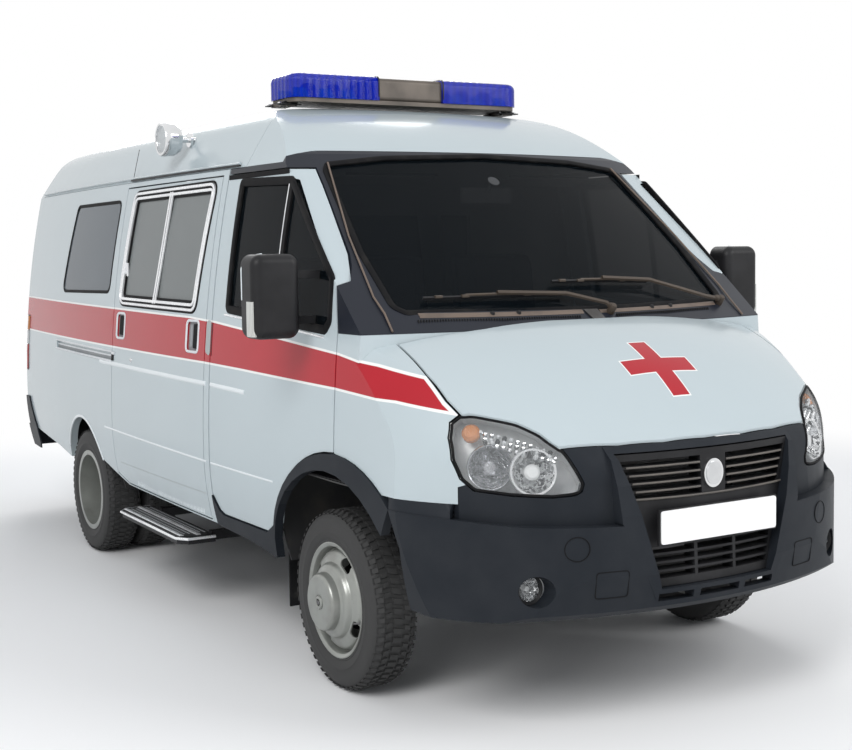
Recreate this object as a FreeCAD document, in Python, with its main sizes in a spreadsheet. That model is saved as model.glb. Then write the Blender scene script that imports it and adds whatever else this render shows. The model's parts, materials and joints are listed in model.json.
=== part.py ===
"""Panel-van ambulance with a high roof, as a parametric FreeCAD document.

Frame: origin on the ground under the middle of the vehicle, +X forward, +Y left, +Z up.
Stations in the tables are measured forward from the front axle unless a comment says otherwise.
"""
import FreeCAD, Part
import math
import os

import Sketcher

from FreeCAD import Placement, Rotation, Vector

# alias, value (millimetres, degrees or counts), what it is
SIZES = (
    ("overall_length", 5560, "bumper to rear step"),
    ("front_overhang", 1090, "front axle to the foremost point of the bumper"),
    ("wheelbase", 2900, "front axle to rear axle"),
    ("rear_face", 4430, "front axle back to the rear face of the body"),
    ("half_width", 1025, "widest half width of the body side"),
    ("widest_height", 780, "height of the widest line of the side"),
    ("sill_bottom", 467, "lower edge of the body side"),
    ("gutter_height", 1998, "rain gutter above the doors"),
    ("roof_height", 2290, "top of the high roof"),
    ("roof_corner_radius", 110, "edge of the roof crown"),
    ("roof_shoulder_in", 102.2, "shoulder of the roof in from the gutter"),
    ("roof_bend_in", 157.68, "middle of the roof edge in from the gutter"),
    ("roof_crown_in", 242.36, "start of the roof crown in from the gutter"),
    ("barrel_radius", 35000, "plan radius of the body side"),
    ("barrel_station", -1500, "station where the body is widest"),
    ("side_radius_low", 1398, "section radius below the widest line"),
    ("side_radius_high", 5686, "section radius above the widest line"),
    ("wall", 42, "body wall, skin to lining"),
    ("floor_height", 640, "top of the cab and cabin floor"),
    ("floor_thickness", 38, "floor with its boards"),
    ("panel_gap", 7, "shut line round doors and lids"),
    ("lid_gap", 9, "shut line round the bonnet"),
    ("lid_skin", 6, "outer skin of the bonnet at its hemmed edge"),
    ("lid_frame_setback", 35, "inner frame of the bonnet back from its edge"),
    ("glass_thickness", 5, "window glass"),
    ("glass_inset", 10, "glass behind the outer skin"),
    ("window_corner", 55, "corner radius of the side and rear windows"),
    ("cab_window_corner", 28, "corner radius of the cab door windows"),
    ("recess_depth", 13, "handle scoops and sliding rail into the skin"),
    ("recess_corner", 18, "corner radius of a handle scoop"),
    ("front_track", 1700, "between the middles of the front tyres"),
    ("rear_track", 1560, "between the middles of the rear wheel pairs"),
    ("twin_spacing", 214, "between the two tyres of a rear pair"),
    ("tyre_radius", 338, "outer radius of the tyres"),
    ("tyre_width", 185, "width of a tyre"),
    ("rim_radius", 203, "bead seat radius"),
    ("rim_width", 150, "width between the rim flanges"),
    ("rim_flange", 15, "height of the rim flange"),
    ("wheel_hub_reach", 116, "middle of a front rim out to its hub cap"),
    ("disc_thickness", 12, "wheel disc"),
    ("hub_radius", 80, "wheel hub"),
    ("wheel_holes", 6, "openings round a wheel disc"),
    ("hub_bore", 34, "radius of the bore through a wheel"),
    ("spindle_clearance", 0.08, "between a shaft and its bore"),
    ("steer_angle", 35, "steering lock each way"),
    ("kingpin_offset", 84, "front wheel middle to kingpin"),
    ("rail_spacing", 800, "between the middles of the chassis rails"),
    ("rail_height", 120, "height of a chassis rail"),
    ("rail_width", 70, "width of a chassis rail"),
    ("front_door_angle", 70, "opening of a cab door"),
    ("rear_door_angle", 180, "opening of a rear door"),
    ("bonnet_angle", 60, "opening of the bonnet"),
    ("bonnet_axis", -750, "station of the vertical axis of the nose curves"),
    ("nose_radius", 1796.5, "plan radius of the front of the fenders"),
    ("nose_half_width", 1012, "half width of the nose before it meets the sides"),
    ("nose_corner_radius", 741, "plan radius of the fender corner"),
    ("bumper_radius", 1840, "plan radius of the bumper"),
    ("bumper_corner_radius", 690, "plan radius of the bumper corner"),
    ("bonnet_thickness", 22, "bonnet with its inner frame"),
    ("light_bar_length", 1206, "beacon bar across the roof"),
    ("light_bar_station", -1110, "middle of the beacon bar"),
)

doc = FreeCAD.newDocument("Ambulance")
sheet = doc.addObject("Spreadsheet::Sheet", "Sizes")
for row, (alias, value, note) in enumerate(SIZES, start=1):
    sheet.set(f"A{row}", alias)
    sheet.set(f"B{row}", str(value))
    sheet.set(f"C{row}", note)
    sheet.setAlias(f"B{row}", alias)
doc.recompute()

SUB_PARTS = []


def size(alias):
    """Return one driving dimension from the sheet."""
    return float(sheet.get(alias))


FRONT_AXLE = size("overall_length") / 2 - size("front_overhang")
REAR_AXLE = FRONT_AXLE - size("wheelbase")
REAR_FACE = FRONT_AXLE - size("rear_face")
WALL = size("wall")
GAP = size("panel_gap")
AXLE_HEIGHT = size("tyre_radius")
FLOOR_TOP = size("floor_height")
FLOOR_BOTTOM = FLOOR_TOP - size("floor_thickness")
RIGHT = -1
LEFT = 1
SIDE_NAMES = {RIGHT: "right", LEFT: "left"}
FAR = 3000


def at(station):
    """Turn a station forward from the front axle into an X of the frame."""
    return FRONT_AXLE + station


# ---------------------------------------------------------------- helpers

def line(start, end):
    return Part.makeLine(Vector(*start), Vector(*end))


def arc(start, middle, end):
    return Part.Arc(Vector(*start), Vector(*middle), Vector(*end)).toShape()


def slab(x_low, x_high, y_low, y_high, z_low, z_high):
    """Return a box between two corners."""
    corner = Vector(x_low, y_low, z_low)
    return Part.makeBox(x_high - x_low, y_high - y_low, z_high - z_low, corner)


def mirrored(shape):
    """Return the copy of a right-hand shape on the left."""
    return shape.mirror(Vector(0, 0, 0), Vector(0, 1, 0))


def on_side(shape, side):
    return shape if side == RIGHT else mirrored(shape)


def rounded_wire(corners, radius):
    """Return a closed wire through corners in one plane, each turned into an arc."""
    arcs = []
    for index, corner in enumerate(corners):
        before = corners[index - 1] - corner
        after = corners[(index + 1) % len(corners)] - corner
        longest = 0.45 * min(before.Length, after.Length)
        before.normalize()
        after.normalize()
        half = before.getAngle(after) / 2
        reach = min(radius / math.tan(half), longest)
        bisector = (before + after).normalize()
        sagitta = reach / math.cos(half) - reach * math.tan(half)
        arcs.append((corner + before * reach, corner + bisector * sagitta, corner + after * reach))
    edges = []
    for index, (start, middle, end) in enumerate(arcs):
        edges.append(Part.Arc(start, middle, end).toShape())
        edges.append(Part.makeLine(end, arcs[(index + 1) % len(arcs)][0]))
    return Part.Wire(edges)


def closed_wire(corners, radius=0.0):
    """Return a closed wire through corners, sharp or rounded."""
    if radius:
        return rounded_wire(corners, radius)
    return Part.makePolygon(corners + corners[:1])


def side_wire(points, radius=0.0):
    """Return a closed wire in the XZ plane from (station, height) points."""
    return closed_wire([Vector(at(station), 0, height) for station, height in points], radius)


def side_prism(points, grow=0.0, y_low=-FAR, y_high=0.0, radius=0.0):
    """Extrude a side outline along Y, grown or shrunk by an even margin."""
    wire = side_wire(points, radius)
    if grow:
        wire = wire.makeOffset2D(grow, 2)
    face = Part.Face(wire)
    face.translate(Vector(0, y_low, 0))
    return face.extrude(Vector(0, y_high - y_low, 0))


def plan_prism(points, grow=0.0, z_low=0.0, z_high=FAR):
    """Extrude a plan outline of (station, y) points upwards."""
    corners = [Vector(at(station), y, z_low) for station, y in points]
    wire = Part.makePolygon(corners + corners[:1])
    if grow:
        wire = wire.makeOffset2D(grow, 2)
    return Part.Face(wire).extrude(Vector(0, 0, z_high - z_low))


def end_prism(points, x_low, x_high, grow=0.0, radius=0.0):
    """Extrude an end outline of (y, height) points forwards."""
    wire = closed_wire([Vector(x_low, y, height) for y, height in points], radius)
    if grow:
        wire = wire.makeOffset2D(grow, 2)
    return Part.Face(wire).extrude(Vector(x_high - x_low, 0, 0))


def cylinder_y(radius, x, z, y_low, y_high):
    return Part.makeCylinder(radius, y_high - y_low, Vector(x, y_low, z), Vector(0, 1, 0))


def value(expression):
    """Return the number that an expression on the sheet, or a plain number, stands for."""
    if isinstance(expression, str):
        return float(sheet.evalExpression(expression))
    return float(expression)


def bound_box(name, low, high):
    """Add a box between two corners of expressions or numbers."""
    box = doc.addObject("Part::Box", name)
    for index, (axis, side) in enumerate(zip("xyz", ("Length", "Width", "Height"))):
        box.setExpression(f"Placement.Base.{axis}", f"({low[index]})")
        box.setExpression(side, f"({high[index]}) - ({low[index]})")
    return box


def bound_cylinder(name, radius, length, base, direction):
    """Add a cylinder from a base point of expressions along a direction."""
    cylinder = doc.addObject("Part::Cylinder", name)
    cylinder.Placement = Placement(Vector(0, 0, 0), Rotation(Vector(0, 0, 1), Vector(*direction)))
    cylinder.setExpression("Radius", f"{radius}")
    cylinder.setExpression("Height", f"{length}")
    for axis, position in zip("xyz", base):
        cylinder.setExpression(f"Placement.Base.{axis}", f"({position})")
    return cylinder


def joined(label, features):
    """Fuse features into one sub-part."""
    fusion = doc.addObject("Part::MultiFuse", label)
    fusion.Label = label
    fusion.Shapes = features
    fusion.Refine = True
    SUB_PARTS.append(fusion)
    return fusion


def side_by_side(label, features):
    """Keep features that stand apart as one sub-part."""
    group = doc.addObject("Part::Compound", label)
    group.Label = label
    group.Links = features
    SUB_PARTS.append(group)
    return group


def drilled(label, base, tools):
    """Cut tools from a feature and keep the result as one sub-part."""
    tool = tools[0]
    if len(tools) > 1:
        tool = doc.addObject("Part::MultiFuse", f"{label}_tools")
        tool.Shapes = tools
    cut = doc.addObject("Part::Cut", label)
    cut.Label = label
    cut.Base = base
    cut.Tool = tool
    cut.Refine = True
    SUB_PARTS.append(cut)
    return cut


def origin_item(body, role):
    return next(item for item in body.Origin.OriginFeatures if item.Role == role)


def outline_sketch(body, name, plane, vertices):
    """Draw a closed outline on an origin plane of a body.

    A vertex is a pair of expressions; one with four entries starts an arc through its last two.
    """
    sketch = body.newObject("Sketcher::SketchObject", name)
    sketch.AttachmentSupport = [(origin_item(body, plane), "")]
    sketch.MapMode = "FlatFace"
    count = len(vertices)
    spots = [Vector(value(vertex[0]), value(vertex[1]), 0) for vertex in vertices]
    ends = []
    for index, vertex in enumerate(vertices):
        start, end = spots[index], spots[(index + 1) % count]
        if len(vertex) == 2:
            sketch.addGeometry(Part.LineSegment(start, end), False)
            ends.append((1, 2))
            continue
        middle = Vector(value(vertex[2]), value(vertex[3]), 0)
        sketch.addGeometry(Part.Arc(start, middle, end), False)
        turn = (middle - start).cross(end - middle).z
        ends.append((1, 2) if turn > 0 else (2, 1))
    for index in range(count):
        after = (index + 1) % count
        sketch.addConstraint(Sketcher.Constraint("Coincident", index, ends[index][1], after, ends[after][0]))
    for index, vertex in enumerate(vertices):
        for kind, expression in (("DistanceX", vertex[0]), ("DistanceY", vertex[1])):
            number = sketch.addConstraint(
                Sketcher.Constraint(kind, -1, 1, index, ends[index][0], value(expression))
            )
            if isinstance(expression, str):
                sketch.setExpression(f"Constraints[{number}]", expression)
    return sketch


def turned_body(label, outlines, position):
    """Make a body turned about its Y axis from closed outlines of (radius, y) expressions."""
    body = doc.addObject("PartDesign::Body", label)
    body.Label = label
    for number, outline in enumerate(outlines):
        sketch = outline_sketch(body, f"{label}_section_{number}", "XY_Plane", outline)
        revolution = body.newObject("PartDesign::Revolution", f"{label}_turned_{number}")
        revolution.Profile = sketch
        revolution.ReferenceAxis = (origin_item(body, "Y_Axis"), [""])
        revolution.Angle = 360
    for axis, expression in zip("xyz", position):
        body.setExpression(f"Placement.Base.{axis}", expression)
    doc.recompute()
    return body


def biggest(shape):
    """Return the largest solid of a cut."""
    return max(shape.Solids, key=lambda solid: solid.Volume)


def add_shape(label, shape):
    """Put one sub-part, given as a shape, into the document."""
    feature = doc.addObject("Part::Feature", label)
    feature.Label = label
    feature.Shape = shape
    SUB_PARTS.append(feature)
    return feature


# ---------------------------------------------------------------- body surfaces

BARREL_X = at(size("barrel_station"))
LOW_CENTRE = size("half_width") - size("side_radius_low")
HIGH_CENTRE = size("half_width") - size("side_radius_high")


def half_width_at(height):
    """Return the half width of the section at the widest station."""
    drop = height - size("widest_height")
    if drop < 0:
        return LOW_CENTRE + math.sqrt(size("side_radius_low") ** 2 - drop ** 2)
    return HIGH_CENTRE + math.sqrt(size("side_radius_high") ** 2 - drop ** 2)


def side_y(station, height):
    """Return the Y of the right body skin at a station and height."""
    centre = size("barrel_radius") - size("half_width")
    radius = centre + half_width_at(height)
    return centre - math.sqrt(radius ** 2 - (station - size("barrel_station")) ** 2)


def body_section(inset, low):
    """Return the cross-section of the right side and roof, as a face at the widest station."""
    widest = size("widest_height")
    gutter = size("gutter_height")
    roof = size("roof_height")
    middle_low = (low + widest) / 2
    middle_high = (gutter + widest) / 2
    rise = roof - gutter

    def skin(height):
        return (BARREL_X, -half_width_at(height), height)

    def point(y, height):
        return (BARREL_X, y, height)

    shoulder = point(size("roof_shoulder_in") - half_width_at(gutter), gutter + 0.57 * rise)
    crown = point(size("roof_crown_in") - half_width_at(gutter), roof - 28)
    crown_middle = point(size("roof_bend_in") - half_width_at(gutter), gutter + 0.78 * rise)
    flat = point(-200, roof)
    edges = [
        line(point(1200, low), skin(low)),
        arc(skin(low), skin(middle_low), skin(widest)),
        arc(skin(widest), skin(middle_high), skin(gutter)),
        line(skin(gutter), shoulder),
        arc(shoulder, crown_middle, crown),
        arc(crown, point((crown[1] + flat[1]) / 2, roof - 7), flat),
        line(flat, point(1200, roof)),
        line(point(1200, roof), point(1200, low)),
    ]
    face = Part.Face(Part.Wire(edges))
    if inset:
        face = face.makeOffset2D(-inset, 2)
    return face


def revolved(face, axis_x, axis_y, half_angle):
    """Turn a face about a vertical axis, half the angle to each side."""
    turned = face.copy()
    base = Vector(axis_x, axis_y, 0)
    turned.rotate(base, Vector(0, 0, 1), -half_angle)
    solid = turned.revolve(base, Vector(0, 0, 1), 2 * half_angle)
    if solid.Volume < 0:
        solid.reverse()
    return solid


def barrel(inset=0.0, low=None):
    """Return the body between its two curved sides, endless in length."""
    centre = size("barrel_radius") - size("half_width")
    if low is None:
        low = size("sill_bottom") - 3 * inset
    right = revolved(body_section(inset, low), BARREL_X, centre, 5.6)
    return right.common(mirrored(right))


def profile_face(edges, inset):
    face = Part.Face(Part.Wire(edges))
    if inset:
        face = face.makeOffset2D(inset, 2)
    return face


WINDSCREEN_AXIS = at(-3490)
WINDSCREEN_FOOT = (395, 1350)
WINDSCREEN_TOP = (-390, 2036)


def front_cutter(inset=0.0):
    """Return what lies ahead of the windscreen and the front cap of the roof."""
    roof = size("roof_height")

    def point(station, height):
        return (at(station), 0, height)

    edges = [
        line(point(*WINDSCREEN_FOOT), point(*WINDSCREEN_TOP)),
        arc(point(*WINDSCREEN_TOP), point(-700, roof - 90), point(-1150, roof + 1)),
        line(point(-1150, roof + 1), point(-1150, roof + 300)),
        line(point(-1150, roof + 300), point(2500, roof + 300)),
        line(point(2500, roof + 300), point(2500, 200)),
        line(point(2500, 200), point(WINDSCREEN_FOOT[0], 200)),
        line(point(WINDSCREEN_FOOT[0], 200), point(*WINDSCREEN_FOOT)),
    ]
    return revolved(profile_face(edges, inset), WINDSCREEN_AXIS, 0, 28)


def rear_cutter(inset=0.0):
    """Return what lies behind the rear face."""
    back = REAR_FACE
    roof = size("roof_height")

    def point(x, height):
        return (x, -1300, height)

    edges = [
        line(point(back, 200), point(back, 1990)),
        arc(point(back, 1990), point(back + 90, roof - 80), point(back + 300, roof + 1)),
        line(point(back + 300, roof + 1), point(back + 300, roof + 300)),
        line(point(back + 300, roof + 300), point(back - 600, roof + 300)),
        line(point(back - 600, roof + 300), point(back - 600, 200)),
        line(point(back - 600, 200), point(back, 200)),
    ]
    return profile_face(edges, inset).extrude(Vector(0, 2600, 0))


def greenhouse(inset=0.0):
    """Return the cab and cabin as one solid, shrunk by an inset."""
    return barrel(inset).cut(front_cutter(inset)).cut(rear_cutter(inset))


NOSE_AXIS = at(size("bonnet_axis"))


def nose_face(inset=0.0):
    """Return the centre section of the nose: front face and bonnet."""

    def point(station, height):
        return (at(station), 0, height)

    edges = [
        line(point(-600, 440), point(1040, 440)),
        line(point(1040, 440), point(1045, 860)),
        arc(point(1045, 860), point(1032, 945), point(990, 1003)),
        arc(point(990, 1003), point(765, 1217), point(395, 1374)),
        line(point(395, 1374), point(-600, 1374)),
        line(point(-600, 1374), point(-600, 440)),
    ]
    return profile_face(edges, -inset)


def corner_wire(front_radius, side, corner, height, shift=0.0):
    """Return the rounded plan of the front end at one height, moved back by a shift."""
    centre_y = side - corner
    centre_x = math.sqrt((front_radius - corner) ** 2 - centre_y ** 2)
    axis = NOSE_AXIS - shift
    angle = math.atan2(centre_y, centre_x)
    touch = (axis + front_radius * math.cos(angle), front_radius * math.sin(angle))
    middle_angle = (angle + math.pi / 2) / 2
    middle = (axis + centre_x + corner * math.cos(middle_angle), centre_y + corner * math.sin(middle_angle))
    tangent = (axis + centre_x, side)
    back = at(-1500)

    def point(x, y):
        return (x, y, height)

    edges = [
        arc(point(touch[0], -touch[1]), point(axis + front_radius, 0), point(*touch)),
        arc(point(*touch), point(*middle), point(*tangent)),
        line(point(*tangent), point(back, side)),
        line(point(back, side), point(back, -side)),
        line(point(back, -side), point(tangent[0], -side)),
        arc(point(tangent[0], -side), point(middle[0], -middle[1]), point(touch[0], -touch[1])),
    ]
    return Part.Wire(edges)


def corner_column(front_radius, side, corner, z_low, z_high):
    """Return a vertical column with the rounded plan of the front end."""
    face = Part.Face(corner_wire(front_radius, side, corner, z_low))
    return face.extrude(Vector(0, 0, z_high - z_low))


CROWN_START = 900
FENDER_CROWN = (
    # height, distance that the plan of the fender moves back
    (CROWN_START, 0), (960, 5), (1030, 35), (1093, 92), (1200, 215), (1345, 460), (1450, 720),
)


def nose(inset=0.0):
    """Return the nose under the bonnet line, between the body sides, shrunk by an inset."""
    solid = revolved(nose_face(inset), NOSE_AXIS, 0, 62).common(barrel(inset))
    plan = (size("nose_radius") - inset, size("nose_half_width") - inset, size("nose_corner_radius") - inset)
    column = corner_column(*plan, 300, CROWN_START)
    sections = [corner_wire(*plan, height, shift) for height, shift in FENDER_CROWN]
    crown = Part.makeLoft(sections, True, False)
    return solid.common(column.fuse(crown)).removeSplitter()


# ---------------------------------------------------------------- outlines of openings

def arc_points(centre, radius, start, end, count):
    """Return points (station, height) along a circle, by angle in degrees from straight ahead."""
    step = math.radians(end - start) / (count - 1)
    first = math.radians(start)
    return [
        (centre[0] + radius * math.cos(first + step * index), centre[1] + radius * math.sin(first + step * index))
        for index in range(count)
    ]


ARCH_CENTRE = (60, 345)
ARCH_RADIUS = 495
FLARE_CENTRE = (119, 345)
FLARE_RADIUS = 570
REAR_ARCH_CENTRE = (-2950, 330)
REAR_ARCH_RADIUS = 410
REAR_SILL = ((-2600, 548), (-2188, 466), (-2188, 300), (-2600, 300))
REAR_CORNER_SILL = ((-3336, 465), (-3611, 499), (-4164, 534), (-4460, 545), (-4460, 300), (-3336, 300))
FRONT_DOOR = (
    # station, height of the right cab door outline, clockwise from the lower rear corner
    (-997, 604), (-997, 1970), (-400, 1970), (-328, 1900), (-33, 1632), (70, 1531), (112, 1345), (114, 1012),
    *arc_points(FLARE_CENTRE, FLARE_RADIUS, 90.5, 157.3, 10),
    (-441, 545), (-476, 527), (-893, 527), (-935, 539),
)
ARCH_TRIM = (
    # station, height of the dark trim round the front wheel opening and under the cab door
    *arc_points(FLARE_CENTRE, FLARE_RADIUS - 6, 48, 88, 7),
    *arc_points(FLARE_CENTRE, FLARE_RADIUS, 92, 157.3, 9),
    (-441, 545), (-476, 527), (-893, 527), (-935, 539), (-999, 606), (-991, 466), (-648, 451), (-441, 421),
    *arc_points(ARCH_CENTRE, ARCH_RADIUS, 171, 40, 14),
)
PILLAR_INNER = (
    # y, height of the inner edge of the cab door's frame seen from the front
    (-3000, 300), (-700, 300), (-900, 1345), (-876, 1531), (-836, 1632), (-786, 1900), (-765, 2050), (-3000, 2050),
)
FRONT_DOOR_WINDOW = ((-856, 1399), (-860, 1942), (-385, 1930), (44, 1548), (56, 1385), (24, 1348))
SLIDING_DOOR = ((-2345, 515), (-2345, 1970), (-1068, 1970), (-1068, 480), (-2188, 480))
SLIDING_WINDOW = ((-2256, 1394), (-2196, 1936), (-1120, 1942), (-1202, 1389))
QUARTER_WINDOW = ((-3446, 1420), (-3302, 1914), (-2418, 1914), (-2450, 1436))
HANDLE_SCOOPS = (
    # station, height of the two grips of the sliding door
    ((-2277, 1217), (-2277, 1336), (-2155, 1338), (-2153, 1219)),
    ((-1280, 1207), (-1280, 1338), (-1146, 1340), (-1146, 1208)),
)
SLIDING_RAIL = ((-3521, 1094), (-3521, 1134), (-2300, 1134), (-2300, 1094))
REAR_DOOR = (
    # y, height of the right rear door seen from behind
    (-830, 560), (-812, 1420), (-720, 1990), (-650, 2117), (-11, 2117), (-8, 1990), (-5, 1880), (-5, 560),
)
REAR_WINDOW = ((-720, 1420), (-660, 1900), (-120, 1900), (-120, 1420))
REAR_LAMP_INNER = 850
WINDSCREEN = (
    # y, height of the windscreen seen from the front
    (-745, 1418), (-782, 1440), (-786, 1640), (-738, 1965), (-715, 1992), (-470, 2020), (0, 2036),
    (470, 2020), (715, 1992), (738, 1965), (786, 1640), (782, 1440), (745, 1418), (0, 1408),
)
BONNET = (
    # station, y of the right half of the bonnet in plan
    (998, 0), (990, -180), (963, -354), (908, -559), (854, -598), (800, -654), (751, -723), (696, -796),
    (627, -812), (517, -822), (318, -820),
)


def bonnet_outline():
    right = list(BONNET)
    left = [(station, -y) for station, y in reversed(BONNET[1:])]
    return right + left


# ---------------------------------------------------------------- body panels

OUTER = greenhouse()
INNER = greenhouse(WALL)
SHELL = OUTER.cut(INNER)
GLASS_SKIN = greenhouse(size("glass_inset")).cut(greenhouse(size("glass_inset") + size("glass_thickness")))
ROOF_CUT = size("gutter_height") + 4
DOOR_DEPTH = -700
HEADER = -500


def arch_cutter(centre, radius):
    """Return the space of a right wheel opening."""
    return cylinder_y(radius, at(centre[0]), centre[1], -FAR, -300)


def front_door_region(grow=0.0):
    """Return the space of the right cab door, outboard of the windscreen pillar."""
    side_region = side_prism(FRONT_DOOR, grow)
    return side_region.common(end_prism(PILLAR_INNER, at(-1500), at(500), grow))


def side_window(points):
    """Return the opening of a window in the right side, with rounded corners."""
    return side_prism(points, radius=size("window_corner"))


def cab_window():
    """Return the opening of the right cab door's window."""
    return side_prism(FRONT_DOOR_WINDOW, radius=size("cab_window_corner"))


def recess(points, radius=0.0):
    """Return the space of a shallow recess in the right side, just deeper than the skin."""
    return side_prism(points, radius=radius).cut(barrel(size("recess_depth")))


def build_side_panels():
    """Make both sides, from the cab door back and round the rear corners."""
    below_roof = slab(-FAR, at(-1000 - GAP), -FAR, -520, 0, ROOF_CUT - 2)
    base = SHELL.common(below_roof)
    base = base.cut(slab(REAR_FACE - 50, REAR_FACE + 40, -FAR, -REAR_LAMP_INNER, 900, 1250))
    base = base.cut(end_prism(REAR_DOOR, REAR_FACE - 100, REAR_FACE + 250, GAP))
    base = base.cut(arch_cutter(REAR_ARCH_CENTRE, REAR_ARCH_RADIUS))
    base = base.cut(side_prism(REAR_SILL)).cut(side_prism(REAR_CORNER_SILL))
    right = base.cut(side_prism(SLIDING_DOOR, GAP)).cut(side_window(QUARTER_WINDOW)).cut(recess(SLIDING_RAIL))
    left = mirrored(base.cut(side_window(QUARTER_WINDOW)).cut(side_window(SLIDING_WINDOW)))
    add_shape("side_panel_right", biggest(right))
    add_shape("side_panel_left", biggest(left))


def build_roof():
    """Make the high roof: front cap and rear shell, split at a seam."""
    seam = at(-850)
    above = slab(-FAR, FAR, -FAR, FAR, ROOF_CUT, FAR)
    ahead = slab(-FAR, FAR, -FAR, FAR, 2050, FAR)
    shell = SHELL.common(above)
    cap = shell.common(slab(seam + 3, FAR, -FAR, FAR, 0, FAR))
    rear = shell.common(slab(-FAR, seam, -FAR, FAR, 0, FAR))
    gate = end_prism(REAR_DOOR, REAR_FACE - 100, REAR_FACE + 250, GAP)
    rear = rear.cut(gate).cut(mirrored(gate))
    cap = cap.common(ahead.fuse(slab(-FAR, at(HEADER), -FAR, FAR, 0, FAR)))
    add_shape("roof", Part.makeCompound([biggest(cap), biggest(rear)]))


def build_doors():
    """Make the cab doors, the sliding door, and their glass."""
    depth = SHELL.common(slab(-FAR, FAR, -FAR, DOOR_DEPTH, 0, FAR))
    glass = GLASS_SKIN.common(slab(-FAR, FAR, -FAR, DOOR_DEPTH, 0, FAR))
    door = biggest(depth.common(front_door_region()).cut(cab_window()))
    pane = biggest(glass.common(cab_window()).common(front_door_region()))
    for side, name in SIDE_NAMES.items():
        add_shape(f"front_door_{name}", on_side(door, side))
        add_shape(f"front_door_glass_{name}", on_side(pane, side))
    sliding = depth.common(side_prism(SLIDING_DOOR)).cut(side_window(SLIDING_WINDOW))
    for points in HANDLE_SCOOPS:
        sliding = sliding.cut(recess(points, size("recess_corner")))
    add_shape("sliding_door", biggest(sliding))
    panes = [biggest(glass.common(side_window(points))) for points in (SLIDING_WINDOW, QUARTER_WINDOW)]
    add_shape("side_glass", Part.makeCompound(panes + [mirrored(pane) for pane in panes]))


def build_rear_doors():
    """Make the two rear doors and their windows."""
    region = end_prism(REAR_DOOR, REAR_FACE - 100, REAR_FACE + 120)
    window = end_prism(REAR_WINDOW, REAR_FACE - 100, REAR_FACE + 200, radius=size("window_corner"))
    door = biggest(SHELL.common(region).cut(window))
    pane = biggest(GLASS_SKIN.common(window))
    for side, name in SIDE_NAMES.items():
        add_shape(f"rear_door_{name}", on_side(door, side))
        add_shape(f"rear_door_glass_{name}", on_side(pane, side))


def build_windscreen():
    """Make the windscreen and the frame of pillars, header and cowl round it."""
    front = SHELL.common(slab(at(-995), FAR, -FAR, FAR, 1250, 2050 - 2))
    behind = slab(-FAR, at(HEADER), -FAR, FAR, ROOF_CUT - 2, FAR)
    region = front_door_region(GAP)
    frame = front.cut(region).cut(mirrored(region)).cut(behind)
    opening = end_prism(WINDSCREEN, at(-600), at(-600) + FAR)
    add_shape("windscreen_frame", biggest(frame.cut(opening)))
    add_shape("windscreen", biggest(GLASS_SKIN.common(opening)))


HEADLIGHT = (
    # y, height of the right headlight seen from the front, from its outer top corner
    (-800, 1092), (-723, 1087), (-654, 1070), (-598, 1036), (-559, 992), (-534, 931), (-507, 872), (-512, 850),
    (-530, 840), (-598, 835), (-716, 843), (-806, 857), (-835, 892), (-852, 953), (-849, 1021), (-832, 1068),
)
BUMPER_UPPER = (
    # y, height of the part of the nose that is bumper, seen from the front; the lamp covers the slanted edge
    (-843, 700), (-843, 862), (-700, 930), (-575, 985), (-540, 1100), (0, 1100), (0, 700),
)
FENDER_FOOT = 806
RECESS = ((-392, 963), (-248, 503), (248, 503), (392, 963))
FRAME = (
    (-418, 1010), (-398, 740), (-312, 560), (-268, 470), (268, 470), (312, 560), (398, 740), (418, 1010),
)
BUMPER_LEDGE = ((-1100, 772), (-900, 762), (-727, 742), (-396, 730), (0, 730), (0, 900), (-1100, 900))

BUMPER_CUT = ((500, 900), (500, 760), (556, 640), (562, 300), (-200, 300), (-200, 900))


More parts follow.
